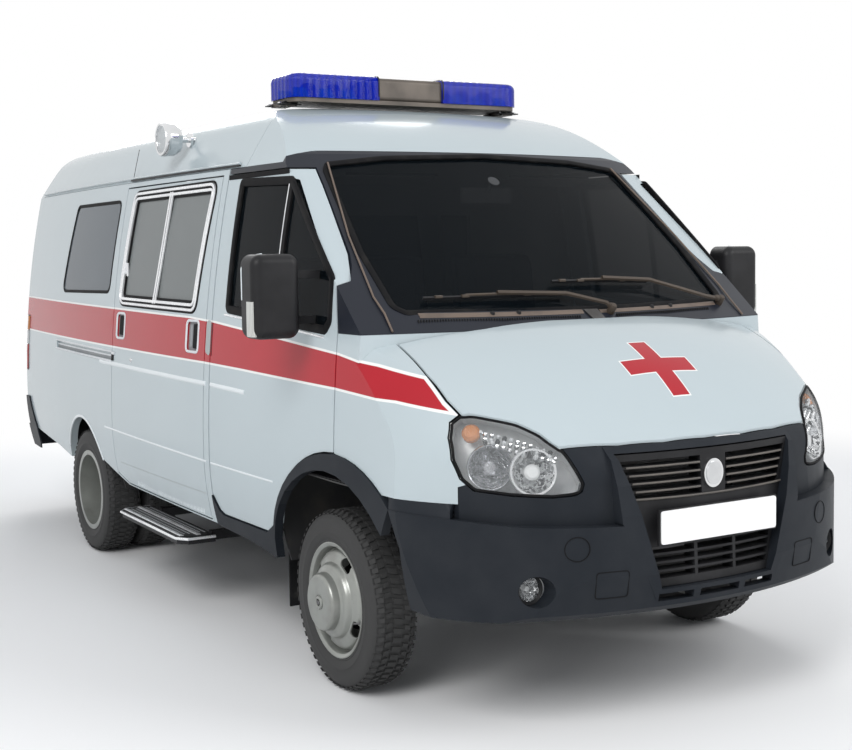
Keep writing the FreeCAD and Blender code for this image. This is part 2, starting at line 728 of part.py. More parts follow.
def build_nose():
    """Make the bonnet, the fenders and the lamps from the nose surface."""
    outer = nose()
    lid_gap = size("lid_gap")
    skin_depth = size("lid_skin")
    setback = size("lid_frame_setback")
    lid_region = plan_prism(bonnet_outline(), 0, 975, 1600)
    skin = outer.cut(nose(skin_depth)).common(lid_region).common(front_cutter(-lid_gap))
    frame_region = plan_prism(bonnet_outline(), -setback, 975, 1600)
    frame = nose(skin_depth).cut(nose(size("bonnet_thickness")))
    frame = frame.common(frame_region).common(front_cutter(-lid_gap - setback))
    bonnet = biggest(skin).fuse(biggest(frame)).removeSplitter()
    add_shape("bonnet", biggest(bonnet))
    ring = outer.cut(nose(30))
    ring = ring.cut(plan_prism(bonnet_outline(), lid_gap, 900, 1600))
    ring = ring.cut(slab(at(-1600), at(114) + GAP, -FAR, FAR, 0, FAR))
    ring = ring.common(slab(-FAR, FAR, -FAR, 0, 0, FAR))
    upper = end_prism(BUMPER_UPPER, at(400), at(1300))
    cowl = slab(0, at(600), -820 + GAP, 0, 1300, FAR)
    fender = ring.common(slab(-FAR, FAR, -FAR, 0, FENDER_FOOT, FAR))
    fender = fender.cut(end_prism(BUMPER_UPPER, at(400), at(1300), 2)).cut(cowl)
    fender = fender.cut(OUTER.common(slab(0, FAR, -FAR, FAR, 1250, FAR)))
    lamp = outer.cut(nose(120)).common(end_prism(HEADLIGHT, at(560), at(1200)))
    lamp = biggest(lamp.cut(plan_prism(bonnet_outline(), lid_gap, 960, 1600)))
    lamp_hole = end_prism(HEADLIGHT, at(500), at(1200), GAP)
    fender = fender.cut(lamp_hole).cut(side_prism(ARCH_TRIM, 1)).cut(arch_cutter(ARCH_CENTRE, ARCH_RADIUS))
    right = biggest(fender)
    add_shape("fenders", Part.makeCompound([right, mirrored(right)]))
    fog = Part.makeCylinder(38, 60, Vector(at(835), -FOG_LAMP[0], FOG_LAMP[1]), Vector(1, 0, 0))
    add_shape("front_lamps", Part.makeCompound([lamp, mirrored(lamp), fog, mirrored(fog)]))
    return biggest(ring.common(upper).cut(lamp_hole))


FOG_LAMP = (672, 528)


def bumper_face(edges):
    corners = [Vector(at(station), 0, height) for station, height in edges]
    return Part.Face(Part.makePolygon(corners + corners[:1]))


def build_front_end(nose_part):
    """Make the bumper, joined to its upper part, and the grille panel in its recess."""
    low_profile = ((600, 424), (1046, 424), (1070, 444), (1090, 560), (1088, 775), (600, 775))
    solid = revolved(bumper_face(low_profile), NOSE_AXIS, 0, 62)
    solid = solid.cut(end_prism(BUMPER_LEDGE, at(400), at(1300)))
    column = corner_column(size("bumper_radius"), 1000, size("bumper_corner_radius"), 300, 900)
    hollow = corner_column(size("bumper_radius") - 60, 952, size("bumper_corner_radius") - 48, 200, 782)
    rim = corner_column(size("bumper_radius") - 120, 900, size("bumper_corner_radius") - 108, 200, 900)
    bumper = solid.common(column).common(barrel(-9, 380)).cut(hollow).cut(rim)
    bumper = bumper.common(slab(-FAR, FAR, -FAR, 0, 0, FAR)).cut(side_prism(BUMPER_CUT))
    frame_profile = ((1000, 470), (1076, 470), (1090, 560), (1088, 762), (1074, 860), (1050, 945), (1010, 985), (1000, 985))
    frame = revolved(bumper_face(frame_profile), NOSE_AXIS, 0, 20).common(end_prism(FRAME, at(900), at(1300)))
    frame = frame.common(slab(-FAR, FAR, -FAR, 0, 0, FAR))
    bumper = bumper.fuse([nose_part, frame])
    bumper = bumper.cut(plan_prism(bonnet_outline(), size("lid_gap"), 975, 1600))
    bumper = bumper.cut(end_prism(RECESS, at(900), at(1300)))
    fog_hole = Part.makeCylinder(52, 400, Vector(at(700), -FOG_LAMP[0], FOG_LAMP[1]), Vector(1, 0, 0))
    bumper = biggest(bumper.cut(fog_hole))
    bumper = bumper.fuse(mirrored(bumper)).removeSplitter()
    for y_low, y_high in ((-258, -116), (-88, 88), (116, 258)):
        bumper = bumper.cut(slab(at(900), at(1300), y_low, y_high, 462, 488))
    add_shape("front_bumper", biggest(bumper))
    face = revolved(bumper_face(((1005, 506), (1056, 506), (1036, 958), (985, 958))), NOSE_AXIS, 0, 20)
    panel = face.common(end_prism(RECESS, at(900), at(1200), -0.5))
    for foot, top, z_low, z_high, slots in GRILLE_OPENINGS:
        pitch = (z_high - z_low) / slots
        for index in range(slots):
            corners = []
            for height, inner, outer in ((pitch * index + 4, 0, 1), (pitch * (index + 1) - 4, 1, 0)):
                share = height / (z_high - z_low)
                for side in (inner, outer):
                    corners.append((foot[side] + (top[side] - foot[side]) * share, z_low + height))
            panel = panel.cut(end_prism(corners, at(900), at(1200)))
    add_shape("grille", biggest(panel))


GRILLE_OPENINGS = (
    # y edges at the foot, y edges at the top, height from, height to, slots
    ((-318, -52), (-374, -58), 803, 940, 5), ((52, 318), (58, 374), 803, 940, 5),
    ((-248, -92), (-272, -94), 530, 645, 4), ((-80, 80), (-80, 80), 530, 645, 4), ((92, 248), (94, 272), 530, 645, 4),
)


def build_arch_trims():
    """Make the dark trim round each front wheel opening and along the sill behind it."""
    trim = barrel(-8, 380).cut(barrel(26, 300)).common(side_prism(ARCH_TRIM))
    trim = trim.cut(side_prism(FRONT_DOOR, GAP))
    trim = biggest(trim.common(slab(at(-1100), at(500), -FAR, -500, 0, FAR)))
    add_shape("arch_trims", Part.makeCompound([trim, mirrored(trim)]))


# ---------------------------------------------------------------- floor, cab and cabin

WHEELHOUSE_FRONT = (-440, 560, 540, 800)
WHEELHOUSE_REAR = (-450, 450, 540, 790)


def wheelhouse(axle_x, back, front, inner, top, wall=6):
    """Return the right wheelhouse and the space that it leaves for the wheel."""
    outer_y = -960
    box = slab(axle_x + back, axle_x + front, outer_y, -inner, FLOOR_BOTTOM - 200, top)
    space = slab(axle_x + back + wall, axle_x + front - wall, outer_y - 200, -inner - wall, 0, top - wall)
    return box, space


def build_floor():
    """Make the floor pan with its four wheelhouses and the firewall."""
    plate = greenhouse(WALL).common(slab(REAR_FACE + WALL + 8, at(100), -FAR, FAR, FLOOR_BOTTOM, FLOOR_TOP))
    firewall = slab(at(100), at(120), -530, 530, FLOOR_BOTTOM, 1240)
    sill = SHELL.common(slab(REAR_FACE, REAR_FACE + 90, -518, 518, 0, FLOOR_BOTTOM - 49))
    shape = plate.fuse([firewall, sill])
    spaces = []
    for axle_x, (back, front, inner, top) in ((FRONT_AXLE, WHEELHOUSE_FRONT), (REAR_AXLE, WHEELHOUSE_REAR)):
        box, space = wheelhouse(axle_x, back, front, inner, top)
        for side in (RIGHT, LEFT):
            shape = shape.fuse(on_side(box, side).common(INNER.fuse(nose(30))))
            spaces.append(on_side(space, side))
    for space in spaces:
        shape = shape.cut(space)
    door_zone = slab(at(-1060), at(121), -FAR, FAR, 0, FAR)
    shape = shape.cut(door_zone.common(greenhouse(WALL - 2).cut(greenhouse(WALL + 8))))
    shape = shape.cut(slab(at(150), FAR, -FAR, FAR, 0, FLOOR_BOTTOM - 100))
    for side in (RIGHT, LEFT):
        shape = shape.cut(on_side(slab(at(440), FAR, -FAR, -850, 0, FAR), side))
    for dx in (-300, 300):
        for dy in (-150, 150):
            shape = shape.cut(Part.makeCylinder(5.5, 200, Vector(at(-3000) + dx, dy, FLOOR_BOTTOM - 50)))
    add_shape("floor_pan", biggest(shape.removeSplitter()))


STEERING_SHAFT = 12


def dash_block():
    """Return the dashboard across the cab, open below for the feet."""
    outline = ((-60, 900), (-180, 1180), (-120, 1260), (60, 1290), (96, 1240), (96, 900))
    block = side_prism(outline, 0, -820, 820)
    return block.cut(slab(at(-100), at(80), -700, 700, 860, 1100))


def build_interior():
    """Make the dashboard, steering wheel, seats, partition and stretcher."""
    add_shape("dashboard", dash_block())
    tilt = math.radians(45)
    axis = Vector(-math.cos(tilt), 0, math.sin(tilt))
    hub = Vector(at(-330), 400, 1200)
    rim = Part.makeTorus(205, 15, hub, axis)
    boss = Part.makeCylinder(45, 60, hub - axis * 40, axis)
    spoke = Part.makeBox(24, 400, 20, Vector(-12, -200, -10))
    spoke.Placement = Placement(hub, Rotation(Vector(0, 0, 1), axis))
    shaft = Part.makeCylinder(STEERING_SHAFT, 140, hub - axis * 175, axis)
    add_shape("steering_wheel", rim.fuse([boss, spoke, shaft]).removeSplitter())
    column = Part.makeCylinder(38, 290, hub - axis * 337, axis)
    bore = Part.makeCylinder(STEERING_SHAFT + size("spindle_clearance"), 150, hub - axis * 176, axis)
    column = column.cut(bore).cut(dash_block())
    add_shape("steering_column", biggest(column))
    seats = []
    for y_middle, width in ((400, 500), (-380, 860)):
        base = slab(at(-860), at(-450), y_middle - width / 2 + 40, y_middle + width / 2 - 40, FLOOR_TOP, 860)
        cushion = slab(at(-900), at(-390), y_middle - width / 2, y_middle + width / 2, 860, 990)
        back = side_prism(((-900, 985), (-790, 985), (-900, 1640), (-985, 1640)), 0, y_middle - width / 2, y_middle + width / 2)
        seats.append(base.fuse([cushion, back]).removeSplitter())
    attendant = slab(at(-2000), at(-1600), 520, 850, FLOOR_TOP, 1080)
    seats.append(attendant)
    add_shape("seats", Part.makeCompound(seats))
    section = INNER.common(slab(at(-1060), at(-1030), -FAR, FAR, FLOOR_TOP, FAR))
    opening = slab(at(-1100), at(-1000), -350, 350, 1420, 1800)
    add_shape("partition", biggest(section.cut(opening)))
    bed = slab(at(-4150), at(-2250), -280, 280, 1010, 1090)
    frame = slab(at(-4150), at(-2250), -270, 270, 960, 1010)
    legs = [slab(at(x), at(x + 60), -250, 250, FLOOR_TOP, 960) for x in (-4000, -2500)]
    add_shape("stretcher", bed.fuse([frame] + legs).removeSplitter())


# ---------------------------------------------------------------- chassis

AXLE_X = {
    "front": "Sizes.overall_length / 2 - Sizes.front_overhang",
    "rear": "Sizes.overall_length / 2 - Sizes.front_overhang - Sizes.wheelbase",
}
RAIL_Y = size("rail_spacing") / 2
RAIL_TOP = FLOOR_BOTTOM
RAIL_LOW = RAIL_TOP - size("rail_height")


FRONT_X = f"({AXLE_X['front']})"
REAR_X = f"({AXLE_X['rear']})"
BACK_X = "(Sizes.overall_length / 2 - Sizes.front_overhang - Sizes.rear_face)"
RAIL_TOP_Z = "(Sizes.floor_height - Sizes.floor_thickness)"
RAIL_LOW_Z = "(Sizes.floor_height - Sizes.floor_thickness - Sizes.rail_height)"
CROSS_MEMBERS = (860, -700, -1500, -2300, -3500, -4300)


def build_chassis():
    """Make the two rails with their cross members, the engine block and the drive line."""
    members = []
    for name, sign in (("right", "-"), ("left", "")):
        middle = f"{sign}Sizes.rail_spacing / 2"
        low = (f"{BACK_X} + 60", f"{middle} - Sizes.rail_width / 2", RAIL_LOW_Z)
        high = (f"{FRONT_X} + 940", f"{middle} + Sizes.rail_width / 2", RAIL_TOP_Z)
        members.append(bound_box(f"rail_{name}", low, high))
    side_by_side("chassis_rails", members)
    members = []
    inner = "(Sizes.rail_spacing / 2 - Sizes.rail_width / 2)"
    for number, station in enumerate(CROSS_MEMBERS):
        low = (f"{FRONT_X} + {station}", f"-{inner}", f"{RAIL_LOW_Z} + 20")
        high = (f"{FRONT_X} + {station + 60}", inner, f"{RAIL_TOP_Z} - 20")
        members.append(bound_box(f"cross_member_{number}", low, high))
    side_by_side("cross_members", members)
    block = bound_box("engine_lower", (f"{FRONT_X} + 60", -220, 400), (f"{FRONT_X} + 700", 220, RAIL_TOP_Z))
    top = bound_box("engine_upper", (f"{FRONT_X} + 130", -200, RAIL_TOP_Z), (f"{FRONT_X} + 690", 200, 960))
    gearbox = bound_box("gearbox", (f"{FRONT_X} - 640", -130, 400), (f"{FRONT_X} + 60", 130, 590))
    joined("engine_block", [block, top, gearbox])
    shaft = bound_cylinder("propeller_shaft", 40, "Sizes.wheelbase - 770", (f"{REAR_X} + 130", 0, 430), (1, 0, 0))
    SUB_PARTS.append(shaft)
    tank_low = (f"{FRONT_X} - 2230", 445, 330)
    SUB_PARTS.append(bound_box("fuel_tank", tank_low, (f"{FRONT_X} - 1600", 850, RAIL_TOP_Z)))
    pipe = bound_cylinder("exhaust_pipe", 28, 1530, (f"{FRONT_X} - 2230", -620, 490), (1, 0, 0))
    silencer = bound_cylinder("silencer", 90, 650, (f"{FRONT_X} - 1700", -620, 490), (1, 0, 0))
    joined("exhaust", [pipe, silencer])


def cylinder_x(radius, x_low, x_high, y, z):
    return Part.makeCylinder(radius, x_high - x_low, Vector(x_low, y, z), Vector(1, 0, 0))


KINGPIN_Y = size("front_track") / 2 - size("kingpin_offset")


def build_axles():
    """Make the front beam with its eyes, the knuckles, the rear axle and the leaf springs."""
    kingpin = "(Sizes.front_track / 2 - Sizes.kingpin_offset)"
    spindle = "Sizes.hub_bore - Sizes.spindle_clearance"
    members = [bound_box("beam", (f"{FRONT_X} - 40", f"-{kingpin}", 300), (f"{FRONT_X} + 40", kingpin, 372))]
    eyes = []
    for name, sign in (("right", "-"), ("left", "")):
        position = (FRONT_X, f"{sign}{kingpin}", 300)
        members.append(bound_cylinder(f"beam_eye_{name}", 40, 72, position, (0, 0, 1)))
        low = (f"{FRONT_X} - 35", f"{sign}Sizes.rail_spacing / 2 - 35", 372)
        high = (f"{FRONT_X} + 35", f"{sign}Sizes.rail_spacing / 2 + 35", RAIL_LOW_Z)
        members.append(bound_box(f"spring_seat_{name}", low, high))
        below = (FRONT_X, f"{sign}{kingpin}", 290)
        eyes.append(bound_cylinder(f"kingpin_bore_{name}", "18 + Sizes.spindle_clearance", 100, below, (0, 0, 1)))
    beam = doc.addObject("Part::MultiFuse", "front_beam")
    beam.Shapes = members
    beam.Refine = True
    drilled("front_axle", beam, eyes)
    for side, name in SIDE_NAMES.items():
        y = f"{side} * {kingpin}"
        near, far = (f"{y} - 60", f"{y} + 25") if side == RIGHT else (f"{y} - 25", f"{y} + 60")
        web_near, web_far = (f"{y} - 66", f"{y} - 44") if side == RIGHT else (f"{y} + 44", f"{y} + 66")
        pin = bound_cylinder(f"kingpin_{name}", 18, 128, (FRONT_X, y, 272), (0, 0, 1))
        top = bound_box(f"knuckle_top_{name}", (f"{FRONT_X} - 34", near, 373), (f"{FRONT_X} + 34", far, 400))
        low = bound_box(f"knuckle_low_{name}", (f"{FRONT_X} - 34", near, 272), (f"{FRONT_X} + 34", far, 299))
        web = bound_box(f"knuckle_web_{name}", (f"{FRONT_X} - 34", web_near, 272), (f"{FRONT_X} + 34", web_far, 400))
        start = (FRONT_X, f"{y} + {side} * 50", "Sizes.tyre_radius")
        reach = "Sizes.kingpin_offset + Sizes.wheel_hub_reach - 76"
        stub = bound_cylinder(f"spindle_{name}", spindle, reach, start, (0, side, 0))
        disc_base = (FRONT_X, f"{y} + {side} * 58", "Sizes.tyre_radius")
        disc = bound_cylinder(f"brake_{name}", 130, 12, disc_base, (0, side, 0))
        joined(f"knuckle_{name}", [pin, top, low, web, stub, disc])
    tube_start = (REAR_X, "-Sizes.rear_track / 2 + 190", "Sizes.tyre_radius")
    tube = bound_cylinder("axle_tube", 50, "Sizes.rear_track - 380", tube_start, (0, 1, 0))
    stub_start = (REAR_X, "-Sizes.rear_track / 2 - 40", "Sizes.tyre_radius")
    stubs = bound_cylinder("axle_stubs", spindle, "Sizes.rear_track + 80", stub_start, (0, 1, 0))
    ball = doc.addObject("Part::Sphere", "differential")
    ball.Radius = 130
    for axis, expression in zip("xyz", (REAR_X, "0", "Sizes.tyre_radius + 20")):
        ball.setExpression(f"Placement.Base.{axis}", expression)
    joined("rear_axle", [tube, stubs, ball])
    springs = []
    for side in (RIGHT, LEFT):
        y = side * (RAIL_Y + 90)
        leaf = ((-3550, 470), (-2900, 388), (-2250, 470), (-2250, 495), (-2900, 425), (-3550, 495))
        springs.append(side_prism(leaf, 0, y - 30, y + 30))
    add_shape("leaf_springs", Part.makeCompound(springs))


WHEEL_HOLE = ((-20, 140), (20, 140), (31, 172), (24, 180), (-24, 180), (-31, 172))


def tyre_outline(middle):
    """Return the section of one tyre as (radius, y) expressions about a middle."""
    half = "Sizes.tyre_width / 2"
    bead = "(Sizes.rim_width / 2 - 2)"
    low = "Sizes.rim_radius + Sizes.rim_flange + 3"
    high = "Sizes.tyre_radius - 22"
    mid = "(Sizes.rim_radius + Sizes.rim_flange + Sizes.tyre_radius - 19) / 2"
    return (
        ("Sizes.rim_radius", f"{middle} - {bead}"),
        ("Sizes.rim_radius", f"{middle} + {bead}"),
        (low, f"{middle} + {bead}", mid, f"{middle} + {half}"),
        (high, f"{middle} + {half} - 8", "Sizes.tyre_radius - 7", f"{middle} + {half} - 16"),
        ("Sizes.tyre_radius", f"{middle} + {half} - 30"),
        ("Sizes.tyre_radius", f"{middle} - {half} + 30", "Sizes.tyre_radius - 7", f"{middle} - {half} + 16"),
        (high, f"{middle} - {half} + 8", mid, f"{middle} - {half}"),
        (low, f"{middle} - {bead}"),
    )


def front_wheel_outline(side):
    """Return the section of a front wheel; its disc and hub cap face outwards."""
    seat = "Sizes.rim_radius - 0.3"
    flange = "Sizes.rim_radius + Sizes.rim_flange"
    inner = "Sizes.rim_radius - 10"
    half = "Sizes.rim_width / 2"
    reach = "Sizes.wheel_hub_reach"
    bore = "Sizes.hub_bore"
    rows = (
        (inner, f"{half} + 10"), (flange, f"{half} + 10"), (flange, half), (seat, half),
        (seat, f"-({half})"), (flange, f"-({half})"), (flange, f"-({half}) - 10"), (inner, f"-({half}) - 10"),
        (inner, 22), (150, 50), (132, 56), (128, 78), (112, 84), (108, 80),
        ("Sizes.hub_radius - 4", 80), ("Sizes.hub_radius - 4", "-10"), (bore, "-10"), (bore, f"{reach} - 22"),
        (0, f"{reach} - 22"), (0, f"{reach} + 2"), (22, f"{reach} + 2"), (26, f"{reach} - 3"), (88, reach),
        (98, f"{reach} - 8"), (103, 92), (118, 94), (138, 88), (144, 66), (160, 60), (inner, 38),
    )
    return tuple((radius, f"{side} * ({offset})") for radius, offset in rows)


def rear_wheel_outline(side):
    """Return the section of a rear pair; the two dished discs meet in the middle."""
    seat = "Sizes.rim_radius - 0.3"
    flange = "Sizes.rim_radius + Sizes.rim_flange"
    inner = "Sizes.rim_radius - 10"
    near = "Sizes.twin_spacing / 2 - Sizes.rim_width / 2"
    far = "Sizes.twin_spacing / 2 + Sizes.rim_width / 2"
    disc = "Sizes.disc_thickness"
    hub = "Sizes.hub_radius"
    bore = "Sizes.hub_bore"
    half_rows = (
        (130, disc), (inner, f"{near} + 22"), (inner, f"{far} + 10"), (flange, f"{far} + 10"), (flange, far),
        (seat, far), (seat, near), (flange, near), (flange, f"{near} - 10"), (inner, f"{near} - 10"),
    )
    rows = [(bore, 60), (hub, 60), (hub, disc)]
    rows += half_rows
    rows += [(142, 0)]
    rows += [(radius, f"-({offset})") for radius, offset in reversed(half_rows)]
    rows += [(hub, f"-({disc})"), (hub, "-96"), ("Sizes.hub_radius - 14", "-110"), (0, "-110"), (0, "-60"), (bore, "-60")]
    return tuple((radius, f"{-side} * ({offset})") for radius, offset in rows)


def build_wheels():
    """Make the steel wheels and tyres, single in front and twin behind."""
    for side, name in SIDE_NAMES.items():
        y_front = f"{side} * Sizes.front_track / 2"
        y_rear = f"{side} * Sizes.rear_track / 2"
        front = (AXLE_X["front"], y_front, "Sizes.tyre_radius")
        rear = (AXLE_X["rear"], y_rear, "Sizes.tyre_radius")
        wheel = turned_body(f"front_wheel_{name}", [front_wheel_outline(side)], front)
        sketch = outline_sketch(wheel, f"front_wheel_{name}_hole", "XZ_Plane", WHEEL_HOLE)
        pocket = wheel.newObject("PartDesign::Pocket", f"front_wheel_{name}_opening")
        pocket.Profile = sketch
        pocket.Type = "ThroughAll"
        pocket.Midplane = True
        doc.recompute()
        pattern = wheel.newObject("PartDesign::PolarPattern", f"front_wheel_{name}_openings")
        pattern.Originals = [pocket]
        pattern.Axis = (origin_item(wheel, "Y_Axis"), [""])
        pattern.Angle = 360
        pattern.setExpression("Occurrences", "Sizes.wheel_holes")
        wheel.Tip = pattern
        SUB_PARTS.append(wheel)
        SUB_PARTS.append(turned_body(f"front_tyre_{name}", [tyre_outline("0")], front))
        SUB_PARTS.append(turned_body(f"rear_wheels_{name}", [rear_wheel_outline(side)], rear))
        halves = []
        for place in ("outer", "inner"):
            offset = side if place == "outer" else -side
            position = (rear[0], f"{y_rear} + {offset} * Sizes.twin_spacing / 2", rear[2])
            halves.append(turned_body(f"rear_tyre_{place}_{name}", [tyre_outline("0")], position))
        pair = doc.addObject("Part::Compound", f"rear_tyres_{name}")
        pair.Label = f"rear_tyres_{name}"
        pair.Links = halves
        SUB_PARTS.append(pair)


# ---------------------------------------------------------------- fittings

def rounded_box(name, low, high, edges, radius):
    """Add a box with some of its edges rounded by one radius."""
    box = bound_box(f"{name}_block", low, high)
    doc.recompute()
    rounded = doc.addObject("Part::Fillet", name)
    rounded.Base = box
    rounded.Edges = [(edge, radius, radius) for edge in edges]
    return rounded


def edges_along(axis):
    """Return the edge numbers of a box that run along one axis."""
    block = Part.makeBox(1, 2, 3)
    direction = Vector(*[1 if letter == axis else 0 for letter in "xyz"])
    numbers = []
    for number, edge in enumerate(block.Edges, start=1):
        run = edge.Vertexes[1].Point - edge.Vertexes[0].Point
        if abs(run.normalize().dot(direction)) > 0.9:
            numbers.append(number)
    return numbers


ALONG_X = edges_along("x")
ALONG_Y = edges_along("y")
ALONG_Z = edges_along("z")


def build_mirrors():
    """Make the two door mirrors: a rounded housing on two arms from the door."""
    for side, name in SIDE_NAMES.items():
        x = FRONT_X
        out, inner = (-1232, -1042) if side == RIGHT else (1042, 1232)
        housing = rounded_box(
            f"mirror_housing_{name}", (f"{x} - 118", out, 1327), (f"{x} - 6", inner, 1637), ALONG_X, 42
        )
        doc.recompute()
        shape = housing.Shape.copy()
        front = [edge for edge in shape.Edges if edge.CenterOfMass.x > at(-7) and edge.CenterOfMass.x < at(-5)]
        shape = shape.makeFillet(34, front)
        arms = []
        for height in (1392, 1560):
            arm = slab(at(-92), at(-58), -1050, side_y(-60, height) + 4, height - 15, height + 15)
            arm = arm.cut(greenhouse(0.5))
            arms.append(on_side(biggest(arm), side))
        add_shape(f"mirror_{name}", shape.fuse(arms).removeSplitter())


def build_roof_lamps():
    """Make the beacon bar with its base, feet, speaker and lenses, and the searchlight."""
    middle = f"({FRONT_X} + Sizes.light_bar_station)"
    roof = "Sizes.roof_height"
    half = "Sizes.light_bar_length / 2"
    base_low = (f"{middle} - 132", f"-{half} + 8", f"{roof} + 12")
    plate = rounded_box("bar_plate", base_low, (f"{middle} + 132", f"{half} - 8", f"{roof} + 30"), ALONG_Z, 60)
    speaker_low = (f"{middle} - 128", -168, f"{roof} + 28")
    speaker = rounded_box("bar_speaker", speaker_low, (f"{middle} + 128", 168, f"{roof} + 133"), ALONG_Y, 20)
    members = [plate, speaker]
    for name, y in (("right", -585), ("left", 585)):
        foot = bound_box(f"bar_foot_{name}", (f"{middle} - 60", y - 30, f"{roof} - 4"), (f"{middle} + 60", y + 30, f"{roof} + 13"))
        members.append(foot)
    doc.recompute()
    bar = members[0].Shape.fuse([member.Shape for member in members[1:]])
    add_shape("light_bar_base", biggest(bar.cut(OUTER).removeSplitter()))
    lens_low = (f"{middle} - 140", f"-{half}", f"{roof} + 30.5")
    lens = rounded_box("bar_lens", lens_low, (f"{middle} + 140", f"{half}", f"{roof} + 138"), ALONG_Z, 66)
    doc.recompute()
    shape = lens.Shape
    top = [edge for edge in shape.Edges if abs(edge.CenterOfMass.z - size("roof_height") - 138) < 0.5]
    shape = shape.makeFillet(30, top).common(slab(-FAR, FAR, -FAR, -169, 0, FAR))
    add_shape("light_bar_lenses", Part.makeCompound([shape, mirrored(shape)]))
    can = [(0, 0), (60, 0), (76, 26), (79, 62), (79, 78), (70, 84), (0, 84)]
    face = Part.Face(Part.makePolygon([Vector(radius, -along, 0) for radius, along in can + can[:1]]))
    lamp = face.revolve(Vector(0, 0, 0), Vector(0, 1, 0), 360)
    lamp.translate(Vector(at(-1690), -862, 2176))
    stem = Part.makeCylinder(13, 150, Vector(at(-1690), -715, 2176), Vector(0, -1, 0))
    flange = Part.makeCylinder(34, 12, Vector(at(-1690), side_y(-1690, 1990) + 95, 2176), Vector(0, -1, 0))
    add_shape("searchlight", biggest(lamp.fuse([stem, flange]).cut(OUTER).removeSplitter()))


STEP = ((-2140, -890), (-2140, -1020), (-2090, -1058), (-1330, -1058), (-1280, -1020), (-1280, -890))
REAR_CORNER = (
    (-4203, 450), (-4203, 538), (-4332, 729), (-4429, 729), (-4429, 548), (-4475, 540), (-4475, 400), (-4260, 400),
)


def build_fittings():
    """Make the step, rear bumper, mud flaps and tail lamps."""
    board = plan_prism(STEP, 0, 326, 358)
    lip = plan_prism(STEP, -14, 358, 361)
    arms = [slab(at(x), at(x + 40), -900, -RAIL_Y, 330, 370) for x in (-2000, -1340)]
    hangers = [slab(at(x), at(x + 40), -RAIL_Y - 35, -RAIL_Y, 370, RAIL_LOW) for x in (-2000, -1340)]
    add_shape("side_step", board.fuse([lip] + arms + hangers).removeSplitter())
    rear = slab(-size("overall_length") / 2, REAR_FACE - 1, -920, 920, 400, 540)
    corner = barrel(-10, 380).cut(barrel(-1, 300)).common(side_prism(REAR_CORNER))
    corner = biggest(corner.common(slab(-FAR, 0, -FAR, -500, 0, FAR)))
    corner = corner.cut(slab(REAR_FACE - 200, REAR_FACE - 1, -FAR, 0, 540, FAR))
    link = slab(REAR_FACE - 38, REAR_FACE - 1, -FAR, -900, 400, 540).common(barrel(-10, 380))
    rear = rear.common(barrel(-10, 380)).fuse([link, mirrored(link), corner, mirrored(corner)])
    socket = cylinder_x(9.5, -FAR, REAR_FACE + 10, 600, 468)
    add_shape("rear_bumper", biggest(rear.cut(socket).removeSplitter()))
    flaps = [slab(at(x), at(x + 8), y, y + 250, 180, 560) for x in (-560, -3460) for y in (-860, 610)]
    add_shape("mud_flaps", Part.makeCompound(flaps))
    tail = SHELL.common(slab(REAR_FACE - 50, REAR_FACE + 40, -FAR, -REAR_LAMP_INNER, 900, 1250))
    add_shape("tail_lamps", Part.makeCompound([biggest(tail), mirrored(biggest(tail))]))


def check_and_export():
    """Stop on any failed object, then write one STEP file for each sub-part."""
    doc.recompute()
    for obj in doc.Objects:
        if "Invalid" in obj.State or "Error" in obj.State:
            raise RuntimeError(f"{obj.Label}: {obj.State}")
    for part in SUB_PARTS:
        shape = part.Shape
        if shape.isNull() or not shape.isValid():
            raise RuntimeError(f"{part.Label} has no valid shape")
    os.makedirs("parts", exist_ok=True)
    for part in SUB_PARTS:
        part.Shape.exportStep(f"parts/{part.Label}.step")


build_side_panels()
build_roof()
build_doors()
build_rear_doors()
build_windscreen()
build_front_end(build_nose())
build_arch_trims()
build_floor()
build_interior()
build_chassis()
build_axles()
build_wheels()
build_mirrors()
build_roof_lamps()
build_fittings()
check_and_export()
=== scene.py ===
"""High-roof panel-van ambulance: finishes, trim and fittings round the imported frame."""
import json
import logging
import math
from dataclasses import dataclass
from enum import Enum
from typing import Callable, Sequence

import bmesh
import bpy
from mathutils import Matrix, Vector
from mathutils.bvhtree import BVHTree


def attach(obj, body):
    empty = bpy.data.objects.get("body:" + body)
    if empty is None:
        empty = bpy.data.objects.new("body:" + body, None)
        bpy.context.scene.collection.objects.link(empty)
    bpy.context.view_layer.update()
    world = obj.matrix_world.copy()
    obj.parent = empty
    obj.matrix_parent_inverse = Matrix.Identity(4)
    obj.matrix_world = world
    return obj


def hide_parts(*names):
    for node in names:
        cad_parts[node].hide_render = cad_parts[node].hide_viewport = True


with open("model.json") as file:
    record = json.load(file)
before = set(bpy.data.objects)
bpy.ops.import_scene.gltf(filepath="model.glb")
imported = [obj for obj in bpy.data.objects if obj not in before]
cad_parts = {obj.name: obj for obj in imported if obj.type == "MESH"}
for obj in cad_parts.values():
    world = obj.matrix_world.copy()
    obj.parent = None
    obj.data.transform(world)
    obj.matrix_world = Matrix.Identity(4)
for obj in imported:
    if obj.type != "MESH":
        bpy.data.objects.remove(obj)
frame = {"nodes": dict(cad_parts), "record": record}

LOG = logging.getLogger("ambulance")
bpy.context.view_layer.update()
Point = tuple[float, float, float]
Colour = tuple[float, float, float]

